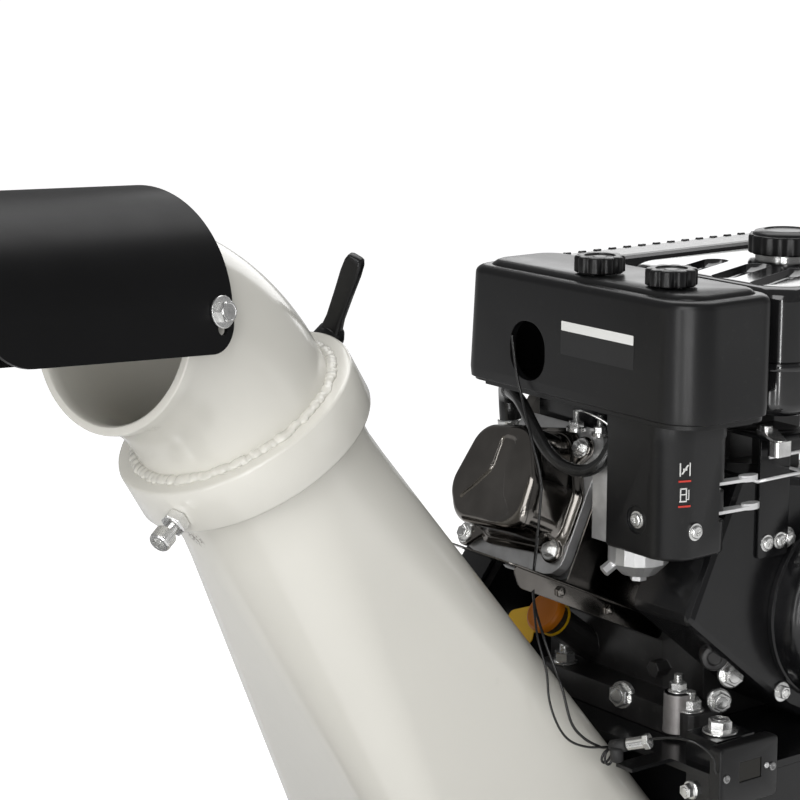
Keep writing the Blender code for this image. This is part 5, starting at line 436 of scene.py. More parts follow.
class Solid:
    """A mesh in the making: shells are added to it, then it becomes a piece."""

    def __init__(self) -> None:
        """Starts empty."""
        self.bm = bmesh.new()

    def shell(self, made: bmesh.types.BMesh, matrix: Matrix) -> "Solid":
        """Adds a closed shell, moved by a matrix, with its faces pointing outwards."""
        bmesh.ops.remove_doubles(made, verts=made.verts, dist=1e-6)
        bmesh.ops.transform(made, matrix=matrix, verts=made.verts)
        bmesh.ops.recalc_face_normals(made, faces=made.faces)
        mesh = bpy.data.meshes.new("shell")
        made.to_mesh(mesh)
        made.free()
        self.bm.from_mesh(mesh)
        bpy.data.meshes.remove(mesh)
        return self

    @staticmethod
    def skin(rings: Sequence[Sequence[Point]], closed: bool, capped: bool = False) -> bmesh.types.BMesh:
        """Makes the faces between rings, and from the last ring to the first or as caps if asked."""
        made = bmesh.new()
        loops = [[made.verts.new(point) for point in ring] for ring in rings]
        pairs = list(zip(loops, loops[1:]))
        if closed:
            pairs.append((loops[-1], loops[0]))
        if capped:
            made.faces.new(loops[0])
            made.faces.new(loops[-1])
        for lower, upper in pairs:
            for i in range(len(lower)):
                j = (i + 1) % len(lower)
                made.faces.new((lower[i], lower[j], upper[j], upper[i]))
        return made

    def loft(
            self, rings: Sequence[Sequence[Point]], matrix: Matrix = HERE, closed: bool = False) -> "Solid":
        """Adds a skin through rings of equal count, capped, or closed on itself."""
        return self.shell(self.skin(rings, closed, not closed), matrix)

    def prism(self, outline: Sequence[Point], low: float, high: float, matrix: Matrix = HERE) -> "Solid":
        """Adds an outline drawn out along Z."""
        return self.loft([[(x, y, z) for x, y in outline] for z in (low, high)], matrix)

    def lathe(self, profile: Sequence[Point], steps: int = 64, matrix: Matrix = HERE) -> "Solid":
        """Adds a closed profile of (radius, height) points turned about Z."""
        rings = [[(x, y, z) for x, y in circle(r, steps)] for r, z in profile]
        made = self.skin(rings, closed=profile[0][0] > 0)
        bmesh.ops.remove_doubles(made, verts=made.verts, dist=1e-7)
        return self.shell(made, matrix)

    def rod(self, start: Point, end: Point, radius: float, steps: int = 32, edge: float = 0.0) -> "Solid":
        """Adds a round bar between two points, its ends bevelled by an edge."""
        start, end = Vector(start), Vector(end)
        length = (end - start).length
        matrix = Matrix.Translation(start) @ (end - start).to_track_quat("Z", "Y").to_matrix().to_4x4()
        if not edge:
            return self.prism(circle(radius, steps), 0, length, matrix)
        return self.lathe([
            (0, 0), (radius - edge, 0), (radius, edge), (radius, length - edge), (radius - edge, length),
            (0, length)], steps, matrix)

    def box(self, low: Point, high: Point) -> "Solid":
        """Adds an upright box."""
        return self.prism(rectangle(low[0], low[1], high[0], high[1]), low[2], high[2])

    def tube(self, path: Sequence[Point], radius: object, steps: int = 16) -> "Solid":
        """Adds a round section carried along a path; radius may be one for each point."""
        radii = radius if isinstance(radius, (list, tuple)) else [radius] * len(path)
        spots = [Vector(point) for point in path]
        ahead = [
            (after - before).normalized()
            for before, after in zip([spots[0]] + spots[:-1], spots[1:] + [spots[-1]])]
        side = ahead[0].orthogonal().normalized()
        rings = []
        for spot, along, reach in zip(spots, ahead, radii):
            side = (side - along * side.dot(along)).normalized()
            across = along.cross(side)
            rings.append([spot + reach * (cos(t) * side + sin(t) * across) for t in round_turn(steps)])
        return self.loft(rings)

    def nut(self, matrix: Matrix, radius: float, height: float, crown: float = 0.0) -> "Solid":
        """Adds a hexagon with turned-down corners, standing on a frame's plane."""
        edge = radius * 0.1
        ring = hexagon(radius)
        small = hexagon(radius * 0.9)
        rings = [
            [(x, y, 0) for x, y in ring], [(x, y, height - edge) for x, y in ring],
            [(x, y, height) for x, y in small]]
        self.loft(rings, matrix)
        if crown:
            self.lathe([
                (0, height - 0.0002), (radius * 0.62, height - 0.0002),
                (radius * 0.56, height + crown * 0.6), (radius * 0.3, height + crown),
                (0, height + crown)], 24, matrix)
        return self

    def add(self, other: "Solid") -> "Solid":
        """Takes another solid's shells in."""
        item = other.item("added")
        self.bm.from_mesh(item.data)
        discard(item)
        return self

    def item(self, name: str) -> Item:
        """Turns the shells into a linked object."""
        mesh = bpy.data.meshes.new(name)
        self.bm.to_mesh(mesh)
        self.bm.free()
        return linked(name, mesh)

    def minus(self, *tools: "Solid") -> "Solid":
        """Cuts other solids out of this one."""
        return self.combined("DIFFERENCE", tools)

    def only_in(self, tool: "Solid") -> "Solid":
        """Keeps what lies inside another solid."""
        return self.combined("INTERSECT", [tool])

    def combined(self, operation: str, tools: Sequence["Solid"]) -> "Solid":
        """Runs one exact boolean with each tool in turn."""
        target = self.item("target")
        others = [tool.item("tool") for tool in tools]
        for other in others:
            modifier = target.modifiers.new("boolean", "BOOLEAN")
            modifier.operation = operation
            modifier.solver = "EXACT"
            modifier.object = other
        return self.taken(target, others)

    def taken(self, target: Item, others: Iterable[Item]) -> "Solid":
        """Takes the evaluated mesh of an object back in and removes the helpers."""
        settle(target)
        self.bm = bmesh.new()
        self.bm.from_mesh(target.data)
        for used in (target, *others):
            discard(used)
        return self

    def piece(
            self, name: str, finish: Union["Finish", Material], body: str = "chassis",
            stands_for: Sequence[str] = (), bevel: float = 0.0, sharp: float = 40.0, matrix: Matrix = HERE,
            slot: str = "") -> Item:
        """Finishes the solid as a piece of the machine.

        Args:
            name: The piece's name.
            finish: What it is made of.
            body: The body that it rides on.
            stands_for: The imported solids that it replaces.
            bevel: Rounding of its edges.
            sharp: Angle in degrees over which an edge stays crisp.
            matrix: Its place in the maker's frame.
            slot: The record's material slot, if it isn't the finish's own.

        Returns:
            The piece.
        """
        bmesh.ops.transform(self.bm, matrix=SHIFT @ matrix, verts=self.bm.verts)
        made = self.item(name)
        if bevel:
            modifier = made.modifiers.new("edges", "BEVEL")
            modifier.width = bevel
            modifier.segments = 2
            modifier.limit_method = "ANGLE"
            modifier.angle_limit = radians(sharp)
            modifier.use_clamp_overlap = True
            settle(made)
        return dress(made, finish, body, stands_for, sharp, slot)


def linked(name: str, data: bpy.types.ID) -> Item:
    """An object with some data, linked to the scene."""
    made = bpy.data.objects.new(name, data)
    bpy.context.scene.collection.objects.link(made)
    return made


def discard(item: Item) -> None:
    """Removes a helper object with its mesh."""
    mesh = item.data
    bpy.data.objects.remove(item)
    bpy.data.meshes.remove(mesh)


def settle(item: Item) -> None:
    """Puts an object's evaluated mesh in the place of its modifiers."""
    depsgraph = bpy.context.evaluated_depsgraph_get()
    old = item.data
    new = bpy.data.meshes.new_from_object(item.evaluated_get(depsgraph))
    item.modifiers.clear()
    item.data = new
    if old.users == 0:
        bpy.data.meshes.remove(old)


def dress(
        made: Item, finish: Union[Finish, Material], body: str, stands_for: Sequence[str] = (),
        sharp: float = 40.0, slot: str = "") -> Item:
    """Gives a finished mesh its material, shading and body."""
    material = finish.material if isinstance(finish, Finish) else finish
    made.data.materials.clear()
    made.data.materials.append(material)
    made.data.shade_smooth()
    made.data.set_sharp_from_angle(angle=radians(sharp))
    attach(made, body)
    if stands_for:
        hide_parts(*stands_for)
    slot = slot or (finish.value.name if isinstance(finish, Finish) else "")
    slot in SLOTS
    log.info("%s: %d faces on %s", made.name, len(made.data.polygons), body)
    return made


# Repeats, made by geometry nodes

class Flow(NodeTree):
    """A geometry tree with named inputs, run once over a mesh."""

    def __init__(self, name: str, **inputs: object) -> None:
        """Starts a tree whose inputs have these names and first values."""
        self.tree = bpy.data.node_groups.new(name, "GeometryNodeTree")
        kinds = {int: "NodeSocketInt", float: "NodeSocketFloat", tuple: "NodeSocketVector"}
        ports = self.tree.interface
        ports.new_socket("Geometry", in_out="INPUT", socket_type="NodeSocketGeometry")
        for label, value in inputs.items():
            made = ports.new_socket(label, in_out="INPUT", socket_type=kinds[type(value)])
            made.default_value = value
        ports.new_socket("Geometry", in_out="OUTPUT", socket_type="NodeSocketGeometry")
        self.start = self.tree.nodes.new("NodeGroupInput")
        self.end = self.tree.nodes.new("NodeGroupOutput")

    def given(self, label: str) -> Socket:
        """The output of a named input."""
        return self.start.outputs[label]

    def repeat(
            self, points: Socket, shape: Socket, finish: Finish, rotation: object = None,
            scale: object = None) -> "Flow":
        """Ends the tree: the shape on each point, made real, with its finish."""
        inputs = {"Points": points, "Instance": shape}
        if rotation is not None:
            inputs["Rotation"] = rotation
        if scale is not None:
            inputs["Scale"] = scale
        spread = self.node("GeometryNodeInstanceOnPoints", inputs)
        real = self.node("GeometryNodeRealizeInstances", {"Geometry": spread.outputs[0]})
        made = self.node(
            "GeometryNodeSetMaterial", {"Geometry": real.outputs[0], "Material": finish.material})
        self.tree.links.new(made.outputs[0], self.end.inputs[0])
        return self

    def run(self, over: Item, **values: object) -> Solid:
        """Runs the tree over an object and takes the result.

        Args:
            over: The object whose mesh the tree starts from; it is used up.
            values: The inputs that differ from their first values.

        Returns:
            The result as a solid.
        """
        modifier = over.modifiers.new("repeat", "NODES")
        modifier.node_group = self.tree
        for port in self.tree.interface.items_tree:
            if port.in_out == "INPUT" and port.name in values:
                modifier[port.identifier] = values[port.name]
        return Solid().taken(over, [])


class Round(Flow):
    """Copies of a shape turned about Z."""

    def __init__(self, shape: Item, finish: Finish) -> None:
        """Takes the shape that is repeated."""
        super().__init__("round", Count=8, Turn=0.5)
        line = self.node("GeometryNodeMeshLine", {"Count": self.given("Count"), "Offset": (0, 0, 0)})
        which = self.node("GeometryNodeInputIndex")
        turn = self.node(
            "ShaderNodeMath", {0: which.outputs[0], 1: self.given("Turn")}, operation="MULTIPLY")
        way = self.node("ShaderNodeCombineXYZ", {"Z": turn.outputs[0]})
        source = self.node("GeometryNodeObjectInfo", {"Object": shape})
        self.repeat(line.outputs[0], source.outputs["Geometry"], finish, rotation=way.outputs[0])


class Row(Flow):
    """Copies of a shape at equal steps along a line."""

    def __init__(self, shape: Item, finish: Finish) -> None:
        """Takes the shape that is repeated."""
        super().__init__("row", Count=4, Step=(0.01, 0.0, 0.0))
        line = self.node(
            "GeometryNodeMeshLine", {"Count": self.given("Count"), "Offset": self.given("Step")})
        source = self.node("GeometryNodeObjectInfo", {"Object": shape})
        self.repeat(line.outputs[0], source.outputs["Geometry"], finish)


class Bead(Flow):
    """A weld bead: overlapping drops along a path."""

    def __init__(self, finish: Finish) -> None:
        """Makes the drops of uneven size, pressed flat along the path."""
        super().__init__("bead", Drops=100, Size=0.003, Seed=3)
        path = self.node("GeometryNodeMeshToCurve", {"Mesh": self.given("Geometry")})
        even = self.node(
            "GeometryNodeResampleCurve", {"Curve": path.outputs[0], "Count": self.given("Drops")})
        stray = self.node(
            "FunctionNodeRandomValue",
            {0: (-0.0005, -0.0005, -0.0004), 1: (0.0005, 0.0005, 0.0003), "Seed": self.given("Seed")},
            data_type="FLOAT_VECTOR")
        loose = self.node(
            "GeometryNodeSetPosition", {"Geometry": even.outputs[0], "Offset": stray.outputs[0]})
        drop = self.node(
            "GeometryNodeMeshUVSphere", {"Segments": 12, "Rings": 8, "Radius": self.given("Size")})
        uneven = self.node(
            "FunctionNodeRandomValue",
            {0: (0.8, 0.8, 0.42), 1: (1.25, 1.25, 0.62), "Seed": self.given("Seed")},
            data_type="FLOAT_VECTOR")
        self.repeat(loose.outputs[0], drop.outputs[0], finish, scale=uneven.outputs[0])


def path_item(points: Sequence[Point], closed: bool = False) -> Item:
    """A mesh of edges along points, for a tree to follow."""
    mesh = bpy.data.meshes.new("path")
    edges = [(i, i + 1) for i in range(len(points) - 1)]
    if closed:
        edges.append((len(points) - 1, 0))
    mesh.from_pydata([tuple(point) for point in points], edges, [])
    return linked("path", mesh)


def copies(kind: type, shape: Solid, finish: Finish, **values: object) -> Solid:
    """Repeats a shape by one of the trees and removes the shape that was repeated."""
    source = shape.item("source")
    made = kind(source, finish).run(path_item([(0, 0, 0)]), **values)
    discard(source)
    return made


# Discharge chute, elbow and deflector

@dataclass
class Chute:
    """The discharge chute with the frames that hang on it."""

    lean: float = radians(31)
    collar_x: float = -0.263
    collar_z: float = 1.042
    base_z: float = 0.6
    base_length: float = 0.26
    base_width: float = 0.225
    base_shift: float = 0.0107
    corner: float = 0.02
    sheet: float = 0.004
    flange: float = 0.022
    flange_sheet: float = 0.006
    pipe_radius: float = 0.077
    pipe_wall: float = 0.005
    pipe_length: float = 0.075
    pipe_top: float = -0.0043

    @property
    def frame(self) -> Matrix:
        """Origin at the collar's top centre, Z up the leaning pipe."""
        return aim((self.collar_x, 0, self.collar_z), (-sin(self.lean), 0, cos(self.lean)), (1, 0, 0))

    @property
    def base_x(self) -> float:
        """The base's middle."""
        return self.collar_x + (self.collar_z - self.base_z) * tan(self.lean) + self.base_shift

    def ring(self, share: float, shrink: float, drop: float, steps: int = 16) -> list[Point]:
        """A section of the body, from 0 at the rounded square base to 1 at the round pipe."""
        local = self.frame.inverted()
        half_x, half_y = self.base_length / 2 - shrink, self.base_width / 2 - shrink
        pipe = self.pipe_radius - shrink * self.pipe_wall / self.sheet
        ring = []
        for quarter in range(4):
            sx = 1 if quarter in (0, 3) else -1
            sy = 1 if quarter in (0, 1) else -1
            for i in range(steps + 1):
                turn = (quarter + i / steps) * pi / 2
                way = Vector((cos(turn), sin(turn), 0))
                low = local @ Vector((
                    self.base_x + sx * (half_x - self.corner) + self.corner * way.x,
                    sy * (half_y - self.corner) + self.corner * way.y, self.base_z - drop))
                ring.append(low.lerp(way * pipe + Vector((0, 0, -self.pipe_length)), share))
        return ring

    def round_ring(self, shrink: float, height: float, steps: int = 16) -> list[Point]:
        """A section of the round pipe, with the body's count of points."""
        pipe = self.pipe_radius - shrink * self.pipe_wall / self.sheet
        return [
            (pipe * cos(turn), pipe * sin(turn), height)
            for turn in ((quarter + i / steps) * pi / 2 for quarter in range(4) for i in range(steps + 1))]

    def build(self) -> None:
        """Builds the body, its base flange with bolts, and the seam of weld round the flange."""
        wall = self.sheet
        rings = [self.ring(share, 0, 0) for share in (0, 0.25, 0.5, 0.75, 0.97)]
        rings += [self.round_ring(0, height) for height in (-self.pipe_length + 0.004, self.pipe_top)]
        rings += [self.round_ring(wall, height) for height in (self.pipe_top, -self.pipe_length + 0.004)]
        rings += [self.ring(share, wall, 0) for share in (0.97, 0.75, 0.5, 0.25, 0)]
        body = Solid().loft(rings, closed=True)
        body.piece(
            "discharge_chute", Finish.CHUTE, "chassis", ["discharge_chute"], sharp=50, matrix=self.frame)
        half_x, half_y = self.base_length / 2 + self.flange, self.base_width / 2 + self.flange
        plate = Solid().prism(
            rounded(rectangle(-half_x, -half_y, half_x, half_y), 0.012), 0, self.flange_sheet)
        inner_x, inner_y = self.base_length / 2 - wall, self.base_width / 2 - wall
        hole = Solid().prism(rounded(rectangle(-inner_x, -inner_y, inner_x, inner_y), 0.016), -0.01, 0.02)
        plate = plate.minus(hole)
        for x in (-half_x + 0.01, 0, half_x - 0.01):
            for y in (-half_y + 0.01, half_y - 0.01):
                plate.nut(place(x, y, self.flange_sheet - 0.0002), 0.0072, 0.0054, 0.001)
        plate.piece("chute_flange", Finish.CHUTE, bevel=0.0008, matrix=place(self.base_x, 0, self.base_z))
        corner = rounded(
            rectangle(
                -half_x + self.flange, -half_y + self.flange, half_x - self.flange, half_y - self.flange),
            self.corner)
        path = path_item([(x, y, self.flange_sheet) for x, y in corner], closed=True)
        Bead(Finish.CHUTE).run(path, Drops=420, Size=0.0028).piece(
            "chute_weld", Finish.CHUTE, matrix=place(self.base_x, 0, self.base_z))


@dataclass
class Elbow:
    """The turning elbow on its collar, with its locking screw, clamp lever and pivot bolts."""

    chute: Chute
    turn: float = radians(18)
    bend: float = radians(50)
    start: float = -0.004
    rise: float = 0.01
    bend_radius: float = 0.1334
    lip: float = 0.01
    pipe_radius: float = 0.075
    wall: float = 0.007
    collar_radius: float = 0.092
    collar_height: float = 0.036
    collar_edge: float = 0.0022
    weld_radius: float = 0.0772
    bolt_seat: float = 0.0833
    pivot_back: float = 0.0188
    pivot_rise: float = 0.005
    boss: float = 0.0075
    droop: float = radians(6.5)
    screw_drop: float = 0.022

    @property
    def frame(self) -> Matrix:
        """The chute's frame turned so that X is the side to which the elbow bends."""
        return self.chute.frame @ Matrix.Rotation(pi + self.turn, 4, "Z")

    @property
    def bore(self) -> float:
        """The collar's inside radius."""
        return (self.chute.pipe_radius + GAP) / cos(pi / 24)

    def station(self, angle: float) -> tuple[Vector, Vector, Vector]:
        """Centre and direction of the pipe after a bend, and the way down across it."""
        reach = self.bend_radius
        return (
            Vector((reach * (1 - cos(angle)), 0, self.rise + reach * sin(angle))),
            Vector((sin(angle), 0, cos(angle))), Vector((cos(angle), 0, -sin(angle))))

    @property
    def pivot(self) -> Matrix:
        """The deflector's pivot in the elbow's frame: X along the hood, Y through the bolts."""
        centre, along, down = self.station(self.bend)
        origin = centre + along * (self.lip - self.pivot_back) - down * self.pivot_rise
        ahead = cos(self.droop) * along + sin(self.droop) * down
        turned = Matrix((ahead, Vector((0, 1, 0)), ahead.cross(Vector((0, 1, 0))))).transposed()
        return Matrix.Translation(origin) @ turned.to_4x4()

    def pipe_ring(self, radius: float, angle: float, extra: float, steps: int = 96) -> list[Vector]:
        """One section of the pipe."""
        centre, along, down = self.station(angle)
        middle = centre + along * extra
        return [middle + radius * (cos(t) * down + sin(t) * Vector((0, 1, 0))) for t in round_turn(steps)]

    def pipe(self) -> Solid:
        """The bent pipe with its wall and a slightly rounded rim."""
        out, inside, rim = self.pipe_radius, self.pipe_radius - self.wall, 0.0012
        bends = swept(24, self.bend)
        rings = [self.pipe_ring(out, 0, self.start - self.rise)]
        rings += [self.pipe_ring(out, angle, 0) for angle in bends]
        for radius, back in (
            (out, rim), (out - rim * 0.3, rim * 0.3), (out - rim, 0), (inside + rim, 0), (inside, rim)):
            rings.append(self.pipe_ring(radius, self.bend, self.lip - back))
        rings += [self.pipe_ring(inside, angle, 0) for angle in reversed(bends)]
        rings.append(self.pipe_ring(inside, 0, self.start - self.rise))
        return Solid().loft(rings, closed=True)

    def build(self) -> None:
        """Builds the elbow, its weld and its fittings."""
        radius, height, edge = self.collar_radius, self.collar_height, self.collar_edge
        made = self.pipe()
        made.lathe([
            (self.bore, -height), (radius - edge, -height), (radius - edge * 0.3, edge * 0.3 - height),
            (radius, edge - height), (radius, -edge), (radius - edge * 0.3, -edge * 0.3),
            (radius - edge, 0), (self.pipe_radius - 0.002, 0), (self.pipe_radius - 0.002, self.start),
            (self.bore, self.start)], 128)
        at_pivot = self.pivot
        for side in (-1, 1):
            made.rod(
                at_pivot @ Vector((0, side * 0.069, 0)), at_pivot @ Vector((0, side * 0.0791, 0)),
                self.boss, 40)
        made.piece(
            "discharge_elbow", Finish.CHUTE, "elbow", ["discharge_elbow"], sharp=45, matrix=self.frame)
        circle_path = [(*spot, 0.0008) for spot in circle(self.weld_radius, 90)]
        Bead(Finish.CHUTE).run(path_item(circle_path, closed=True), Drops=230, Size=0.0046, Seed=7).piece(
            "collar_weld", Finish.CHUTE, "elbow", sharp=180, matrix=self.frame)
        self.collar_screw()
        self.clamp_lever()
        self.pivot_bolts()

    def collar_screw(self) -> None:
        """The socket-headed locking screw and its lock nut."""
        outward = self.frame @ aim((0, 0, -self.screw_drop), (1, 0, 0))
        seat = self.collar_radius + GAP
        nut = Solid().nut(place(0, 0, seat), 0.0095, 0.008)
        nut.lathe([
            (0.005, seat + 0.0078), (0.0078, seat + 0.0078), (0.0072, seat + 0.0086),
            (0.0054, seat + 0.0086)], 32)
        nut.piece("collar_lock_nut", Finish.ZINC, "elbow", ["collar_lock_nut"], matrix=outward)
        head, length, tip = seat + 0.015, 0.011, self.bore + 0.001
        threads = [(0, tip), (0.0042, tip)]
        turns = 17
        for i in range(turns):
            at = tip + (head - tip) * i / turns
            threads += [(0.0044, at + 0.0001), (0.005, at + (head - tip) / turns / 2)]
        threads += [
            (0.0044, head), (0.0072, head), (0.0078, head + 0.0006), (0.0078, head + length - 0.001),
            (0.007, head + length), (0.0046, head + length), (0.0046, head + length - 0.006),
            (0, head + length - 0.006)]
        screw = Solid().lathe(threads, 36)
        rib = Solid().box((0.0075, -0.0003, head + 0.001), (0.008, 0.0003, head + length - 0.0022))
        screw.add(copies(Round, rib, Finish.ZINC, Count=36, Turn=FULL / 36))
        screw.piece(
            "collar_set_screw", Finish.ZINC, "elbow", ["collar_set_screw"], sharp=35, matrix=outward)

    def clamp_lever(self) -> None:
        """The adjustable lever with its turned hub and threaded stud."""
        bearing = pi - self.turn + radians(12)
        out = Vector((cos(bearing), sin(bearing), 0))
        at = self.frame @ aim(
            out * (self.collar_radius + GAP) + Vector((0, 0, -self.collar_height / 2)), out)
        made = Solid().lathe(
            mm((0, 0), (8.8, 0), (11, 3), (11, 18), (10.5, 19.5), (7.7, 24), (6, 24), (5, 22.8), (0, 22.8)),
            48)
        made.rod((0, 0, -0.0143), (0, 0, 0.004), 0.005, 24)
        turn, cant, length = radians(37), radians(20), 0.073
        along = Vector((cos(turn) * cos(cant), sin(turn) * cos(cant), sin(cant)))
        across = Vector((-sin(turn), cos(turn), 0))
        up = along.cross(across)
        start = Vector((0, 0, 0.0149))
        rings = []
        for share, wide, deep in (
            (-0.06, 0.0085, 0.007), (0.1, 0.0074, 0.006), (0.25, 0.0064, 0.005), (0.55, 0.0068, 0.0048),
            (0.8, 0.0074, 0.0048), (0.93, 0.007, 0.0045), (0.985, 0.0058, 0.0038), (1.0, 0.0042, 0.0028)):
            middle = start + along * length * share
            outline = rounded(rectangle(-wide, -deep, wide, deep), min(wide, deep) * 0.5, 5)
            rings.append([middle + across * x + up * y for x, y in outline])
        made.loft(rings)
        made.piece("clamp_lever", Finish.PLASTIC, "clamp", ["clamp_lever"], sharp=50, matrix=at)

    def pivot_bolts(self) -> None:
        """A bolt with a flat washer at each side of the hood."""
        for side, name in ((-1, "far"), (1, "near")):
            outward = self.frame @ self.pivot @ aim((0, 0, 0), (0, side, 0), (1, 0, 0))
            seat = self.bolt_seat
            made = Solid().lathe([
                (0.0042, seat), (0.0106, seat), (0.011, seat + 0.0004), (0.011, seat + 0.0016),
                (0.0106, seat + 0.002), (0.0042, seat + 0.002)], 48)
            made.rod((0, 0, 0.071), (0, 0, seat + 0.001), 0.004, 20)
            made.nut(place(0, 0, seat + 0.0018), 0.0075, 0.0054)
            made.lathe([
                (0, seat + 0.007), (0.0052, seat + 0.007), (0.0056, seat + 0.0076), (0.0064, seat + 0.0076),
                (0.0066, seat + 0.007), (0.0066, seat + 0.006), (0, seat + 0.006)], 36)
            made.piece(
                f"deflector_bolt_{name}", Finish.ZINC, "elbow", [f"deflector_bolt_{name}"], sharp=35,
                matrix=outward)


@dataclass
class Hood:
    """The rolled deflector over the elbow's mouth."""

    elbow: Elbow
    radius: float = 0.08
    sheet: float = 0.003
    length: float = 0.225
    tail: float = 0.0115
    skirt: float = 0.0278
    front_skirt: float = 0.0218
    centre: float = 0.0072
    corner: float = 0.022
    nose: float = 0.046
    slot_width: float = 0.009
    slot_drop: float = 0.011

    def build(self) -> None:
        """Builds the sheet, its rounded corners and the slots that limit it."""
        inner, outer = self.radius, self.radius + self.sheet
        crown = [(cos(t), sin(t)) for t in swept(96, pi)]
        outline = [(outer, -self.skirt)] + [(outer * c, outer * s + self.centre) for c, s in crown]
        outline += [(-outer, -self.skirt), (-inner, -self.skirt)]
        outline += [(-inner * c, inner * s + self.centre) for c, s in crown] + [(inner, -self.skirt)]
        rear, front = -self.tail, self.length - self.tail
        sheet = Solid().prism(outline, rear, front, END_ON)
        template = rounded(
            [(rear, -self.skirt), (front, -self.front_skirt), (front, outer + 0.01), (rear, outer + 0.01)],
            [self.corner, self.nose, 0, 0], 20)
        sheet = sheet.only_in(Solid().prism(template, -outer - 0.01, outer + 0.01, SIDE_ON))
        half = self.slot_width / 2
        slot = rounded(rectangle(-half, -self.slot_drop - half, half, half), half * 0.98, 10)
        sheet = sheet.minus(Solid().prism(slot, -outer - 0.01, outer + 0.01, SIDE_ON))
        sheet.piece(
            "chute_deflector", Finish.SATIN, "hood", ["chute_deflector"], sharp=40,
            matrix=self.elbow.frame @ self.elbow.pivot)


# Engine

@dataclass
class Engine:
    """The engine's main places, which its sub-assemblies share."""

    cylinder_y: float = 0.018
    tilt: float = radians(25)
    head_end: float = 0.204

    @property
    def cylinder(self) -> Matrix:
        """Origin on the crank's axis; Z along the cylinder, X up across it."""
        return aim(
            (CRANK[0], self.cylinder_y, CRANK[1]), (-cos(self.tilt), 0, sin(self.tilt)),
            (sin(self.tilt), 0, cos(self.tilt)))


def ribbed(radius: float, depth: float, ribs: int, steps_each: int = 12, flat: float = 3.0) -> list[Point]:
    """A round outline with flutes; a greater flat makes broader ribs."""
    outline = []
    for i in range(ribs * steps_each):
        turn = FULL * i / (ribs * steps_each)
        dip = (0.5 - 0.5 * cos(ribs * turn)) ** flat
        outline.append(((radius - depth * dip) * cos(turn), (radius - depth * dip) * sin(turn)))
    return outline


def smooth_path(points: Sequence[Point], steps: int = 6) -> list[Vector]:
    """A curve through points."""
    spots = [Vector(point) for point in points]
    ends = [spots[0] * 2 - spots[1]] + spots + [spots[-1] * 2 - spots[-2]]
    path = []
    for a, b, c, d in zip(ends, ends[1:], ends[2:], ends[3:]):
        for step in range(steps):
            t = step / steps
            path.append(
                0.5 * (
                    2 * b + (c - a) * t + (2 * a - 5 * b + 4 * c - d) * t * t
                    + (3 * b - a - 3 * c + d) * t ** 3))
    path.append(spots[-1])
    return path


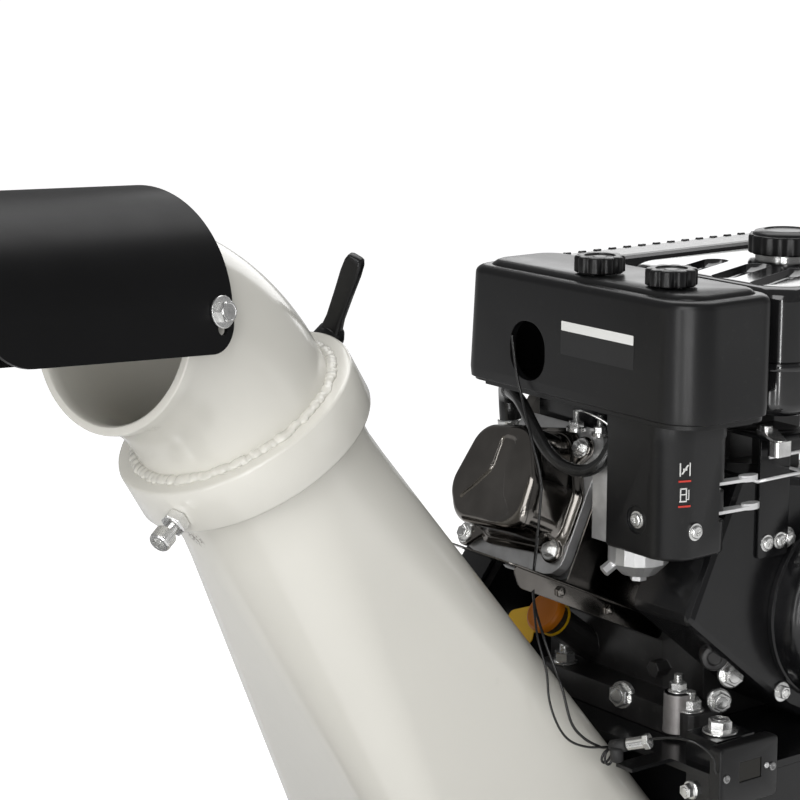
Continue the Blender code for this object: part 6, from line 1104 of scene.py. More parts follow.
@dataclass
class AirCleaner:
    """The air cleaner's box with its raised lid, oval opening, blank label and two knobs."""

    rear: float = -0.002
    front: float = 0.087
    near: float = -0.19
    far: float = 0.0635
    spread: float = 0.006
    draft: float = 0.078
    top: float = 1.116
    floor: float = 1.022
    corner: float = 0.032
    edge: float = 0.0065
    panel: float = 0.004
    panel_inset: float = 0.0105
    wall: float = 0.003
    knob_radius: float = 0.0192
    knob_height: float = 0.0135
    knob_x: float = 0.029
    knob_ys: tuple = (("far", -0.058), ("near", -0.137))

    def plan(self, shrink: float, spread: float = 0.0, steps: int = 10) -> list[Point]:
        """The box from above, drawn in, its far side spread by its draft."""
        near, far = self.corner - shrink, self.corner * 0.5
        return rounded(
            rectangle(
                self.rear + shrink, self.near + shrink, self.front - shrink, self.far + spread - shrink),
            [near, near * 0.5, far, far], steps)

    def stems(self) -> list[Solid]:
        """The bores for the knobs' stems."""
        return [
            Solid().rod((self.knob_x, y, self.top - 0.02), (self.knob_x, y, self.top + 0.02), 0.0043, 24)
            for _, y in self.knob_ys]

    def build(self) -> None:
        """Builds the box, its label place and the knobs."""
        edge, top, floor, wall = self.edge, self.top, self.floor, self.wall
        turns = swept(6)[1:]
        stages = [
            (floor, 0.003), (floor + 0.0035, 0.0028), (floor + 0.0045, 0.0006), (floor + 0.012, 0.0),
            (top - edge, 0.0)]
        stages += [(top - edge + edge * sin(t), edge * (1 - cos(t))) for t in turns]
        rings = []
        for z, grow in stages:
            spread = self.spread * min(1.0, max(0.0, top - edge - z) / self.draft)
            rings.append([(x, y, z) for x, y in self.plan(grow, spread)])
        lift, inset = self.panel, self.panel_inset
        lid = [
            (top - 0.002, inset - 0.0015), (top, inset - 0.0015), (top + lift * 0.25, inset - 0.0008),
            (top + lift * 0.75, inset + 0.0012), (top + lift, inset + 0.0032)]
        box = Solid().loft(rings)
        inner = Solid().prism(self.plan(wall + 0.003), floor + wall, top - wall - 0.001)
        oval = rounded(rectangle(-0.032, 1.034, 0.01, 1.08), 0.02, 16)
        vent = Solid().prism(oval, self.rear - 0.01, self.rear + wall + 0.01, END_ON)
        notch = Solid().box(
            (self.rear - 0.01, self.far - 0.02, floor - 0.01),
            (self.front + 0.01, self.far + 0.02, floor + wall - 0.001))
        throat = Solid().rod((0.052, -0.096, floor - 0.01), (0.052, -0.096, floor + 0.01), 0.012, 24)
        box = box.minus(inner, vent, notch, throat, *self.stems())
        raised = Solid().loft(stack(self.plan, lid)).minus(*self.stems())
        raised.piece("air_cleaner_lid", Finish.PLASTIC, sharp=55)
        box.piece("air_cleaner_box", Finish.PLASTIC, "chassis", ["air_cleaner_box"], sharp=38)
        face = self.rear - 0.0002
        label = Solid().prism(
            rounded(rectangle(-0.1325, 1.0605, -0.0505, 1.0865), 0.0012, 4), face, self.rear, END_ON)
        label.piece("plain_label", Finish.LABEL)
        strip = Solid().prism(
            rounded(rectangle(-0.1318, 1.0788, -0.0512, 1.086), 0.0006, 3), face - 0.0001, self.rear,
            END_ON)
        strip.piece("plain_label_strip", Finish.WHITE)
        for name, y in self.knob_ys:
            self.knob(name, y)

    def knob(self, name: str, y: float) -> None:
        """A fluted knob with a dished top and a stem through the lid."""
        high, radius = self.knob_height, self.knob_radius
        stages = [
            (0.001, 0.001), (0.0018, 0.0), (high - 0.0016, 0.0), (high - 0.0005, 0.0006), (high, 0.0018)]
        made = Solid().loft(stack(lambda shrink: ribbed(radius - shrink, 0.0026, 10), stages))
        made.lathe(disc(radius * 0.72, 0, 0.006), 48)
        made.rod((0, 0, -0.018), (0, 0, 0.002), 0.004, 24)
        dish = Solid().lathe([
            (0, high + 0.002), (radius * 0.66, high + 0.002), (radius * 0.6, high - 0.0012),
            (radius * 0.3, high - 0.0016), (radius * 0.26, high - 0.0008), (0, high - 0.0008)], 48)
        made = made.minus(dish)
        made.piece(
            f"lid_knob_{name}", Finish.PLASTIC, f"knob_{name}", [f"lid_knob_{name}"], sharp=40,
            matrix=place(self.knob_x, y, self.top + self.panel + GAP))


@dataclass
class CarburettorCover:
    """The lower cover with its levers' slots, screws in their dishes and the two plain symbols."""

    rear: float = 0.01
    front: float = 0.069
    near: float = -0.162
    far: float = -0.092
    corner: float = 0.024
    floor: float = 0.918
    top: float = 1.0217
    wall: float = 0.003
    screw_y: float = -0.125
    screw_z: float = 0.945
    lever_y: float = -0.15
    lever_zs: tuple = (0.97, 0.9475)

    def plan(self, shrink: float) -> list[Point]:
        """The cover from above, drawn in, open to the far side."""
        return rounded(
            rectangle(self.rear + shrink, self.near + shrink, self.front - shrink, self.far),
            [self.corner - shrink, (self.corner - shrink) * 0.4, 0, 0], 12)

    def build(self) -> None:
        """Builds the cover, its screws and its symbols."""
        stages = (
            (self.floor, 0.0022), (self.floor + 0.001, 0.001), (self.floor + 0.003, 0.0),
            (self.top - 0.016, 0.0), (self.top - 0.014, -0.0008), (self.top, -0.0008))
        outer = Solid().loft(stack(self.plan, stages))
        wall = self.wall
        inner = Solid().prism(
            [(x, y if y < self.far - 1e-6 else y + 0.015) for x, y in self.plan(wall)], self.floor - 0.02,
            self.top - wall)
        dish = Solid().lathe(
            [(0, -0.012), (0.0125, -0.012), (0.0105, 0.0018), (0, 0.0018)], 40,
            aim((self.rear, self.screw_y, self.screw_z), (1, 0, 0)))
        slots = [
            Solid().box(
                (self.front - 0.01, self.near - 0.004, z - 0.004),
                (self.front + 0.01, self.lever_y + 0.03, z + 0.004))
            for z in self.lever_zs]
        port = Solid().rod((0.052, -0.096, self.top - 0.01), (0.052, -0.096, self.top + 0.01), 0.0101, 24)
        shell = outer.minus(inner, dish, *slots, port)
        shell.piece("carburettor_cover", Finish.PLASTIC, "chassis", ["carburettor_cover"], sharp=38)
        head = Solid().lathe(
            DOMED_HEAD, 40, aim((self.rear + 0.0016, self.screw_y, self.screw_z), (-1, 0, 0)))
        head.lathe(DOMED_HEAD, 40, aim((0.0352, self.near - 0.0001, 0.9397), (0, -1, 0)))
        head.piece("cover_screws", Finish.ZINC, sharp=35)
        turned = Vector((-0.354, -0.935, 0))
        for name, z, bars in (("choke", 0.988, CHOKE_SIGN), ("tap", 0.969, TAP_SIGN)):
            at = aim((0.0253, -0.1604, z), turned, (0.935, -0.354, 0))
            sign = Solid()
            for left, low, right, high, lean in bars:
                sign.prism(
                    [(left, low), (right, low), (right + lean, high), (left + lean, high)], -0.0006, 0.0002,
                    at)
            sign.piece(f"{name}_symbol", Finish.WHITE)
            bar = Solid().prism(rectangle(-0.0048, -0.0095, 0.0048, -0.0082), -0.0006, 0.0002, at)
            bar.piece(f"{name}_symbol_bar", Finish.RED)


# A round screw head with a cross recess, as (radius, height)
DOMED_HEAD = mm(
    (0, -1), (6.2, -1), (6.6, 0), (6.6, 0.8), (5.2, 1), (5, 2.6), (4.2, 3.4), (2.4, 3.6), (1.8, 2), (0, 2))
# Bars of the two plain symbols: left, low, right, high and lean
CHOKE_SIGN = mm(
    (-4.2, -5, -3.4, 5, 0), (3.4, -5, 4.2, 5, 0), (-3, -3.4, -1.6, 3.4, 4.6), (-1.6, -0.8, 1.6, 0.8, 0))
TAP_SIGN = mm(
    (-4, -5.5, 1.8, -4.6, 0), (-3.6, -4.6, -2.8, 4.8, 0), (1, -4.6, 1.8, 4.8, 0), (-3.6, 4, 1.8, 5, 0),
    (-2.8, -0.2, 1, 0.6, 0), (3, -4, 3.6, 3.6, 0), (1.8, -4, 3.6, -3.4, 0))


@dataclass
class ValveCover:
    """The pressed cover over the valves: flange, drawn body, ears and a plain sunken panel."""

    engine: Engine
    outline: tuple = mm((-30, -44), (52, -38), (50, 5), (24, 48), (-36, 38), (-50, -18))
    ears: tuple = mm((-54, -49), (48, -41), (42, 42), (-48, 24))
    depth: float = 0.0465
    rim: float = 0.01
    flange: float = 0.006
    ear_radius: float = 0.01
    corner: float = 0.021
    sheet: float = 0.003

    @property
    def middle(self) -> Vector:
        """The middle of the outline's corners."""
        return sum(
            (Vector((across, -along)) for along, across in self.outline),
            Vector((0, 0))) / len(self.outline)

    def grown(self, grow: float, steps: int = 10) -> list[Point]:
        """The cover's outline, grown by a reach."""
        corners = [Vector((across, -along)) for along, across in self.outline]
        middle = self.middle
        reach = [middle + (corner - middle) * (1 + grow / (corner - middle).length) for corner in corners]
        return rounded([tuple(corner) for corner in reach], self.corner, steps)

    def build(self) -> None:
        """Builds the cover and its bolts."""
        start = self.engine.head_end + GAP
        end = start + self.depth
        stages = [
            (start + 0.001, 0.0066), (start + 0.0035, 0.0058), (start + 0.005, 0.003),
            (start + 0.0078, 0.0012), (start + 0.012, 0.0003), (end - 0.012, -0.0006)]
        stages += [(end - 0.012 + 0.012 * sin(t), -0.0006 - 0.0085 * (1 - cos(t))) for t in swept(10)[1:]]
        stages.append((end + 0.0004, -0.018))
        body = Solid().loft(stack(self.grown, stages))
        hollow = [
            (start - 0.01, -self.sheet), (end - 0.01, -self.sheet - 0.001), (end - self.sheet, -0.012)]
        inside = Solid().loft(stack(self.grown, hollow))
        panel = rounded(
            mm(
                (-35, 16), (-35, -22), (-24, -33), (-13, -21), (4, -13), (32, -15), (32, 3), (4, 3),
                (-13, 17), (-24, 28)),
            mm(6, 6, 4, 8, 12, 6, 6, 12, 8, 4), 6)
        centre = Vector((-0.008, -0.005))
        stages = [
            (end - 0.0016, 0.88), (end - 0.0014, 0.94), (end - 0.0006, 1), (end + 0.0008, 1.05),
            (end + 0.002, 1.08)]
        sunk = Solid().loft(stack(lambda share: scaled(panel, centre, share), stages))
        made = body.minus(inside, sunk)
        ring = [
            (start, self.rim - 0.0006), (start + 0.0012, self.rim), (start + 0.0028, self.rim - 0.0002),
            (start + 0.0036, self.rim - 0.0016), (start + 0.0042, self.rim - 0.004),
            (start + 0.0058, self.rim - 0.0052), (start + self.flange, self.rim - 0.0066)]
        ring += [(start + self.flange, -self.sheet), (start, -self.sheet)]
        made.loft(stack(self.grown, ring), closed=True)
        middle = self.middle
        bolts = Solid()
        for along, across in self.ears:
            ear = Vector((across, -along))
            root = ear.lerp(middle, 0.42)
            way = (ear - root).normalized()
            side = Vector((-way.y, way.x))
            lobe = [
                tuple(ear + self.ear_radius * (cos(t) * way + sin(t) * side))
                for t in swept(16, pi, -pi / 2)]
            lobe += [
                tuple(root + side * self.ear_radius * 1.15), tuple(root - side * self.ear_radius * 1.15)]
            high = start + self.flange * 0.9
            centre = ear.lerp(root, 0.3)
            stages = (
                (start, 0.96), (start + 0.0012, 1.0), (high - 0.0014, 1.0), (high - 0.0004, 0.96),
                (high, 0.9))
            made.loft(stack(lambda share: scaled(lobe, centre, share), stages))
            bolts.lathe(
                mm((0, -0.5), (8, -0.5), (8.4, 0.4), (7.8, 1.4), (0, 1.4)), 32, place(ear.x, ear.y, high))
            bolts.nut(place(ear.x, ear.y, high + 0.001), 0.0058, 0.0042, 0.0006)
        made.piece(
            "valve_cover", Finish.CHROME, "chassis", ["valve_cover"], sharp=50, matrix=self.engine.cylinder)
        bolts.piece("valve_cover_bolts", Finish.ZINC, sharp=35, matrix=self.engine.cylinder)


@dataclass
class Wiring:
    """The hour meter's wire with its second strand, and the spark plug's boot with its lead."""

    wire_radius: float = 0.0011
    lead_radius: float = 0.005
    plug_seat: Point = (0.0543, 0.074, 0.967)
    plug_way: Point = (-0.1, 0.05, 1.0)
    boot_bend: tuple = mm((42, 66, 1010), (27, 46, 1013))
    wire: tuple = mm(
        (-6, 2.7, 1067.6), (-7, -5.1, 1037.6), (-8, -12.6, 1021.7), (-16, -34.8, 993), (-20, -50.8, 965.3),
        (-20, -49, 933.7), (-21.8, -45, 877.8), (-35.8, -74, 852.3), (-37.6, -92, 828.4),
        (-39.3, -102, 816), (-35.8, -108, 792.3), (-25, -109, 778.4), (-10.8, -110, 768.8),
        (-1.8, -113, 766.7), (16, -150, 780.6), (25.1, -175, 783.3), (36, -185.5, 772.4), (38, -186.5, 762),
        (39.7, -187, 758.5))
    strand: tuple = mm(
        (-20.4, -49, 920), (-24, -48, 885), (-42, -74, 856), (-48, -93, 831), (-54, -104, 812),
        (-50, -109.5, 793), (-39, -110.5, 779), (-22, -111, 770.5), (-1.8, -113, 766.7))
    lead: tuple = mm(
        (27, 46, 1013), (12, 14, 1012), (6.2, -8.8, 997.2), (4.5, -27.1, 981.7), (6.8, -43, 971.9),
        (12, -62, 970), (15, -80, 980), (28, -85, 1001), (50, -80, 1003), (76, -68, 994), (90, -64, 970),
        (95, -68, 952), (95, -72.8, 948))

    def build(self) -> None:
        """Builds the wire, its strand, the boot with its metal ring and the lead."""
        Solid().tube(smooth_path(self.wire, 8), self.wire_radius, 10).piece(
            "meter_wire", Finish.WIRE, "chassis", ["meter_wire"], sharp=80)
        Solid().tube(smooth_path(self.strand, 8), self.wire_radius * 0.85, 10).piece(
            "meter_wire_strand", Finish.WIRE, sharp=80)
        seat, way = Vector(self.plug_seat), Vector(self.plug_way).normalized()
        bend = [
            seat + way * 0.0105, seat + way * 0.022,
            seat + way * 0.034] + [Vector(p) for p in self.boot_bend]
        path = smooth_path(bend, 6)
        radii = [0.0095 - 0.003 * (i / (len(path) - 1)) ** 1.5 for i in range(len(path))]
        made = Solid().tube(path, radii, 28)
        made.tube(smooth_path((self.boot_bend[0],) + self.lead, 8), self.lead_radius, 20)
        made.piece("ignition_lead", Finish.WIRE, "chassis", ["ignition_lead"], sharp=80)
        ring = Solid().rod(seat + way * 0.0095, seat + way * 0.0155, 0.0112, 40, 0.0008)
        ring.piece("plug_boot_ring", Finish.ZINC, sharp=35)


@dataclass
class FuelTank:
    """The tank with its rolled seam, sunk grooves and cap."""

    rear: float = 0.112
    front: float = 0.385
    near: float = -0.168
    far: float = 0.02
    top: float = 1.112
    floor: float = 1.012
    corner: float = 0.028
    edge: float = 0.011
    cap_x: float = 0.244
    cap_y: float = -0.04
    neck_radius: float = 0.024
    neck_height: float = 0.012
    cap_radius: float = 0.03
    cap_height: float = 0.022
    groove_turn: float = radians(22)

    def ring(self, z: float, shrink: float) -> list[Point]:
        """The tank's plan at a height, drawn in."""
        outline = rounded(
            rectangle(self.rear + shrink, self.near + shrink, self.front - shrink, self.far - shrink),
            self.corner - shrink * 0.5, 10)
        return [(x, y, z) for x, y in outline]

    def build(self) -> None:
        """Builds the shell with its grooves, the seam, the neck and the cap."""
        edge, low, high = self.edge, self.floor, self.top
        turns = swept(8)
        stages = [(low + edge * (1 - sin(t)), 0.004 + edge * (1 - cos(t))) for t in reversed(turns)]
        stages += [(high - edge + edge * sin(t), 0.004 + (edge - 0.002) * (1 - cos(t))) for t in turns]
        shell = Solid().loft([self.ring(z, shrink) for z, shrink in stages])
        tools = []
        for i in range(3):
            start = Vector((self.rear + 0.012, self.far - 0.068 - 0.042 * i, high))
            way = Vector((cos(self.groove_turn), sin(self.groove_turn), 0))
            reach = 0.09 - 0.01 * (2 - i)
            outline = rounded(rectangle(0, -0.01, reach, 0.01), 0.0098, 8)
            middle = Vector((reach / 2, 0))
            stages = ((-0.0062, -0.3), (-0.0055, -0.16), (-0.0025, -0.03), (0.0, 0.05), (0.004, 0.09))
            rings = stack(lambda grow: scaled(outline, middle, 1 + grow), stages)
            tools.append(Solid().loft(rings, aim(start, UP, way)))
        shell = shell.minus(*tools)
        shell.piece("fuel_tank", Finish.TANK, "chassis", ["fuel_tank"], sharp=35)
        middle = (low + high) / 2 - 0.01
        seam = [
            self.ring(middle + dz, grow)
            for dz, grow in mm((-3, 3.5), (-2.8, 0.6), (-1.5, 0), (1.5, 0), (2.8, 0.6), (3, 3.5))]
        Solid().loft(seam, closed=True).piece("tank_seam", Finish.TANK, sharp=50, slot="black_paint")
        neck = Solid().lathe([
            (self.neck_radius - 0.003, -0.004), (self.neck_radius, -0.004),
            (self.neck_radius, self.neck_height), (self.neck_radius - 0.003, self.neck_height)], 64)
        neck.piece("tank_neck", Finish.ZINC, matrix=place(self.cap_x, self.cap_y, high))
        wide, tall, seat = self.cap_radius, self.cap_height, self.neck_height
        stages = ((0.003, 0.0012), (0.004, 0.0), (seat + 0.0045, 0.0), (seat + 0.006, 0.0012))
        cap = Solid().loft(stack(lambda shrink: ribbed(wide - shrink, 0.0016, 15, 8, 1.5), stages))
        cap = cap.minus(Solid().rod((0, 0, -0.001), (0, 0, seat + GAP), self.neck_radius + GAP * 2, 64))
        cap.lathe([
            (0, seat + 0.001), (wide - 0.003, seat + 0.001), (wide - 0.003, seat + 0.0058),
            (wide - 0.0038, tall - 0.003), (wide - 0.0052, tall - 0.0014), (wide * 0.6, tall),
            (wide * 0.56, tall - 0.0012), (0, tall - 0.0012)], 64)
        cap.rod((0, 0, -0.004), (0, 0, seat + 0.003), self.neck_radius - 0.0036, 48)
        cap.piece(
            "fuel_cap", Finish.PLASTIC, "tank_cap", ["fuel_cap"], sharp=45,
            matrix=place(self.cap_x, self.cap_y, high))


@dataclass
class HourMeter:
    """The hour counter on the platform's edge with its window, button and screws."""

    x: float = 0.071
    z: float = 0.753
    half_wide: float = 0.03
    half_high: float = 0.024
    back: float = -0.1783
    depth: float = 0.0115

    def build(self) -> None:
        """Builds the body, the dark window with its glass, the button and the screws."""
        face = self.back - self.depth
        low, high = self.z - self.half_high, self.z + self.half_high
        outline = rounded(rectangle(self.x - self.half_wide, low, self.x + self.half_wide, high), 0.004, 6)
        stages = ((self.back, 0.0), (face + 0.0012, 0.0), (face + 0.0004, 0.0005), (face, 0.0013))
        middle = Vector((self.x, self.z))
        body = Solid().loft(
            stack(lambda shrink: scaled(outline, middle, 1 - shrink / self.half_high), stages, "xzy"))
        left, right = self.x - self.half_wide * 0.35, self.x + self.half_wide * 0.42
        window = Solid().box((left, face - 0.002, self.z - 0.006), (right, face + 0.0015, self.z + 0.01))
        body = body.minus(window)
        body.piece("hour_meter", Finish.PLASTIC, "chassis", ["hour_meter"], sharp=35)
        glass = Solid().box(
            (left + 0.0004, face + 0.0006, self.z - 0.0056),
            (right - 0.0004, face + 0.0014, self.z + 0.0096))
        glass.piece("meter_window", Finish.WINDOW)
        button = Solid().rod(
            (self.x + self.half_wide * 0.6, face + 0.001, self.z + 0.002),
            (self.x + self.half_wide * 0.6, face - 0.001, self.z + 0.002), 0.0024, 24, 0.0005)
        button.piece("meter_button", Finish.ALUMINIUM)
        screws = Solid()
        for side in (-1, 1):
            screws.lathe(
                mm((0, 0), (3.4, 0), (3.2, 1), (2, 1.4), (1, 0.6), (0, 0.6)), 24,
                aim((self.x + side * self.half_wide * 0.8, face, self.z), (0, -1, 0)))
        screws.piece("meter_screws", Finish.STEEL)


# Small fittings of the engine

@dataclass
class Fastenings:
    """Bright nuts, studs, bolts and plugs on the crankcase, the cowl and the platform."""

    foot: float = 0.022
    feet: tuple = mm((95.8, -98), (95.8, 54), (334.2, -54), (334.2, 54))
    boss: Point = (0.09, -0.09)
    boss_height: float = 0.036

    @staticmethod
    def stud(made: Solid, at: Matrix, radius: float, low: float, high: float) -> None:
        """Adds a threaded end to a solid."""
        turns = max(3, round((high - low) / 0.0012))
        profile = [(0, low)]
        for i in range(turns):
            start = low + (high - low) * i / turns
            profile += [(radius * 0.86, start + 0.0001), (radius, start + (high - low) / turns / 2)]
        made.lathe(profile + [(radius * 0.86, high - 0.0002), (radius * 0.6, high), (0, high)], 28, at)

    def nut_on_stud(
            self, made: Solid, at: Matrix, across: float, flange: float, tall: float, show: float) -> None:
        """Adds a flanged nut with the end of its stud."""
        made.lathe([
            (0, 0), (flange, 0), (flange * 1.03, 0.0005), (flange, 0.001), (across * 0.9, 0.0024),
            (0, 0.0024)], 44, at)
        made.nut(at @ place(0, 0, 0.0018), across, tall)
        self.stud(made, at, across * 0.5, 0.001, tall + show)

    def build(self) -> None:
        """Builds every group of fasteners."""
        nuts = Solid()
        deck = DECK + self.foot + 0.0001
        for x, y in self.feet:
            self.nut_on_stud(nuts, place(x, y, deck), 0.009, 0.0112, 0.0075, 0.008)
        top = DECK + self.boss_height + 0.0001
        self.nut_on_stud(nuts, place(*self.boss, top), 0.007, 0.008, 0.006, 0.0085)
        drain = aim((0.0836, -0.0321, 0.769), (-1, -0.15, 0.1))
        nuts.lathe(mm((0, -3), (11.2, -3), (11.4, 0.4), (10.8, 1.4), (0, 1.4)), 44, drain)
        nuts.nut(drain @ place(0, 0, 0.001), 0.0098, 0.006, 0.0028)
        corner = place(0.079, -0.149, 0.7722)
        nuts.lathe(mm((0, 0), (13, 0), (13.6, 0.5), (13.3, 1.6), (10, 2.4), (0, 2.4)), 48, corner)
        nuts.nut(corner @ place(0, 0, 0.002), 0.0094, 0.008, 0.001)
        for spot, way, across in (
            ((0.1255, -0.1124, 0.7986), (-0.35, -1, 0.1), 0.0086),
            ((0.113, -0.113, 0.78), (-0.5, -1, 0.1), 0.008), ((0.0549, -0.144, 0.729), (-1, 0, 0), 0.0062)):
            at = aim(spot, way)
            nuts.lathe([
                (0, -0.004), (across * 1.2, -0.004), (across * 1.24, 0.0004), (across * 1.1, 0.0014),
                (0, 0.0014)], 40, at)
            nuts.nut(at @ place(0, 0, 0.001), across, 0.0058, 0.0012)
        nuts.piece("engine_fasteners", Finish.ZINC, sharp=35)
        boss = Solid().lathe([
            (0, 0.004), (0.0118, 0.004), (0.0114, 0.01), (0.0112, self.boss_height - 0.001),
            (0.0102, self.boss_height), (0, self.boss_height)], 40, place(*self.boss, DECK))
        boss.piece("stud_boss", Finish.RAW_CASTING, sharp=40)
        plug = Solid().lathe(
            mm((0, -4), (10.5, -4), (10.5, 8.5), (9.5, 10.5), (6, 11), (5, 9.5), (0, 9.5)), 40,
            aim((0.0962, -0.1215, 0.823), (-0.6, -0.8, 0.05)))
        plug.piece("grey_plug", Finish.CASTING, sharp=40)


@dataclass
class Shroud:
    """The bright sheet under and beside the cylinder and the black bracket that carries the air cleaner."""

    engine: Engine
    rear: float = 0.262
    front: float = 0.116
    overlap: float = 0.03

    def build(self) -> None:
        """Builds the folded strip and the bracket."""
        front = self.front - self.overlap
        outline = rounded([
            (-0.077, front), (0.006, front), (0.034, 0.14), (0.034, self.rear - 0.06),
            (-0.06, self.rear - 0.06), (-0.0612, self.rear),
            (-0.077, self.rear - 0.016)], mm(4, 6, 10, 4, 2, 4, 10), 6)
        strip = Solid().loft([[(x, y, z) for x, z in outline] for y in (-0.0682, -0.0694)])
        shelf = rounded(rectangle(-0.0694, front, 0.05, self.rear), 0.008, 6)
        strip.loft([[(x, y, z) for y, z in shelf] for x in (-0.0624, -0.0612)])
        strip.rod((-0.0618, -0.0688, front), (-0.0618, -0.0688, self.rear - 0.004), 0.0011, 16)
        for z in (0.15, 0.205):
            strip.nut(aim((-0.069, -0.0692, z), (0, -1, 0)), 0.0045, 0.003, 0.001)
        strip.piece("lower_shroud", Finish.CHROME, sharp=40, matrix=self.engine.cylinder)
        bracket = Solid().box((0.06, -0.05, 0.978), (0.062, 0.048, 1.0215))
        bracket.box((0.038, -0.05, 1.0195), (0.062, 0.048, 1.0215))
        bracket.box((0.06, -0.05, 0.978), (0.086, -0.048, 1.0215))
        bracket.piece("cleaner_bracket", Finish.BLACK_PAINT, bevel=0.0006)
        bits = Solid()
        for x, y, z, size in mm((48, -12, 990, 6.2), (56, -31, 988, 5.2)):
            bits.lathe(disc(size * 1.3, -0.002, 0.0008), 32, place(x, y, z))
            bits.nut(place(x, y, z + 0.0006), size, 0.005, 0.001)
            Fastenings.stud(bits, place(x, y, z), size * 0.45, 0.001, 0.015)
        bits.tube(
            smooth_path(mm((48, -12, 1004), (44, -26, 1006), (50, -40, 1001), (56, -50, 993)), 6), 0.0012,
            10)
        bits.piece("bracket_fasteners", Finish.ZINC, sharp=35)


@dataclass
class Controls:
    """The black upright on the cowl and its shelf with a bright lip, which carries the throttle lever; the
    shelf's black is painted shade.
    """

    x: float = 0.132
    top: float = 0.998
    low: float = 0.9
    back: float = -0.1406
    sheet: float = 0.0025
    pin_y: float = -0.136

    def build(self) -> None:
        """Builds the upright with its screws and the shelf with its rolled lip."""
        back, sheet, top = self.back, self.sheet, self.top
        upright = Solid().prism(
            rounded(rectangle(self.x - 0.012, self.low, self.x + 0.02, top - 0.0026), 0.003, 5), 0, sheet,
            Matrix.Translation((0, back, 0)) @ SIDE_ON)
        upright.piece("control_upright", Finish.BLACK_PAINT, bevel=0.0005, slot="black_paint")
        left, right = self.x - 0.0165, self.x + 0.034
        turns = swept(6)
        edge = back - 0.016
        bend = [(back + 0.03, top)] + [
            (edge + 0.004 - 0.004 * sin(t), top - 0.004 + 0.004 * cos(t))
            for t in turns] + [(edge, top - 0.014)]
        inner = [(edge + sheet, top - 0.014)] + [
            (edge + 0.004 - 0.0015 * sin(t), top - 0.004 + 0.0015 * cos(t))
            for t in reversed(turns)] + [(back + 0.03, top - sheet)]
        shelf = Solid().loft([[(x, y, z) for y, z in bend + inner] for x in (left, right)])
        bore = Solid().rod((self.x, self.pin_y, top - 0.01), (self.x, self.pin_y, top + 0.01), 0.0033, 24)
        shelf = shelf.minus(bore)
        # Painted shade: the shelf is polished steel, and its black paint stands in for the shade under the
        # air cleaner's box.
        shelf.piece(
            "control_bracket", Finish.BLACK_PAINT, "chassis", ["control_bracket"], bevel=0.0005,
            slot="polished_steel")
        lip = Solid().rod((left, edge, top - 0.014), (right, edge, top - 0.014), 0.0015, 16, 0.0004)
        arc = [
            (self.x - 0.006 + 0.026 * cos(t), edge - 0.004 - 0.01 * sin(t), top - 0.03 + 0.004 * sin(t))
            for t in swept(14, pi)]
        lip.tube([(arc[0][0], back, arc[0][2])] + arc + [(arc[-1][0], back, arc[-1][2])], 0.0013, 10)
        lip.piece("control_lip", Finish.BRIGHT, sharp=50)
        screws = Solid()
        for dx in (-0.003, 0.011):
            screws.lathe(DOMED_HEAD, 32, aim((self.x + dx, back - sheet, self.low + 0.012), (0, -1, 0)))
        screws.piece("control_screws", Finish.ZINC, sharp=35)


@dataclass
class OilFiller:
    """The oil filler's cap on its bent neck and the blank tag that hangs round the neck."""

    mouth: tuple = (0.07, 0.044, 0.82)
    way: tuple = (-0.8, 0.0, 0.6)
    cap_radius: float = 0.0178
    neck_radius: float = 0.013
    leaf_reach: float = 0.052
    leaf_half: float = 0.018
    leaf_turn: float = radians(26)
    card: float = 0.001

    def build(self) -> None:
        """Builds the cap and the tag."""
        at = aim(self.mouth, self.way, (0, 1, 0))
        wide = self.cap_radius
        cap = Solid().lathe([
            (0, GAP), (wide - 0.002, GAP), (wide, 0.002), (wide, 0.0066), (wide - 0.0008, 0.008),
            (wide - 0.0024, 0.0088), (wide - 0.004, 0.0084), (wide * 0.5, 0.0092), (0, 0.0094)], 64)
        cap.rod((0, 0, -0.012), (0, 0, 0.002), 0.0085, 32, 0.0008)
        cap.piece("oil_cap", Finish.OIL_CAP, "oil_plug", ["oil_cap"], sharp=40, matrix=at)
        collar, leaf, bridge = self.neck_radius + 0.0022, self.leaf_half, self.leaf_half * 0.45
        first = asin(bridge / collar)
        arc = [(collar * cos(t), collar * sin(t)) for t in swept(32, FULL - 2 * first, first)]
        root, tip = self.neck_radius + 0.0085, self.leaf_reach
        sheet = [(root, -bridge), (root, -leaf), (tip, -leaf), (tip, leaf), (root, leaf), (root, bridge)]
        outline = rounded(arc + sheet, [0.0] * len(arc) + [*mm(0, 5, 5, 5, 5, 0)], 6)
        tag = Solid().prism(outline, 0, self.card, Matrix.Rotation(self.leaf_turn, 4, "Z"))
        tag = tag.minus(Solid().rod((0, 0, -0.01), (0, 0, 0.01), self.neck_radius + GAP, 40))
        seat = Vector(self.mouth) - Vector(self.way).normalized() * 0.009
        tag.piece(
            "oil_tag", Finish.CARD, "chassis", ["oil_tag"], sharp=40, matrix=aim(seat, self.way, (0, 1, 0)))


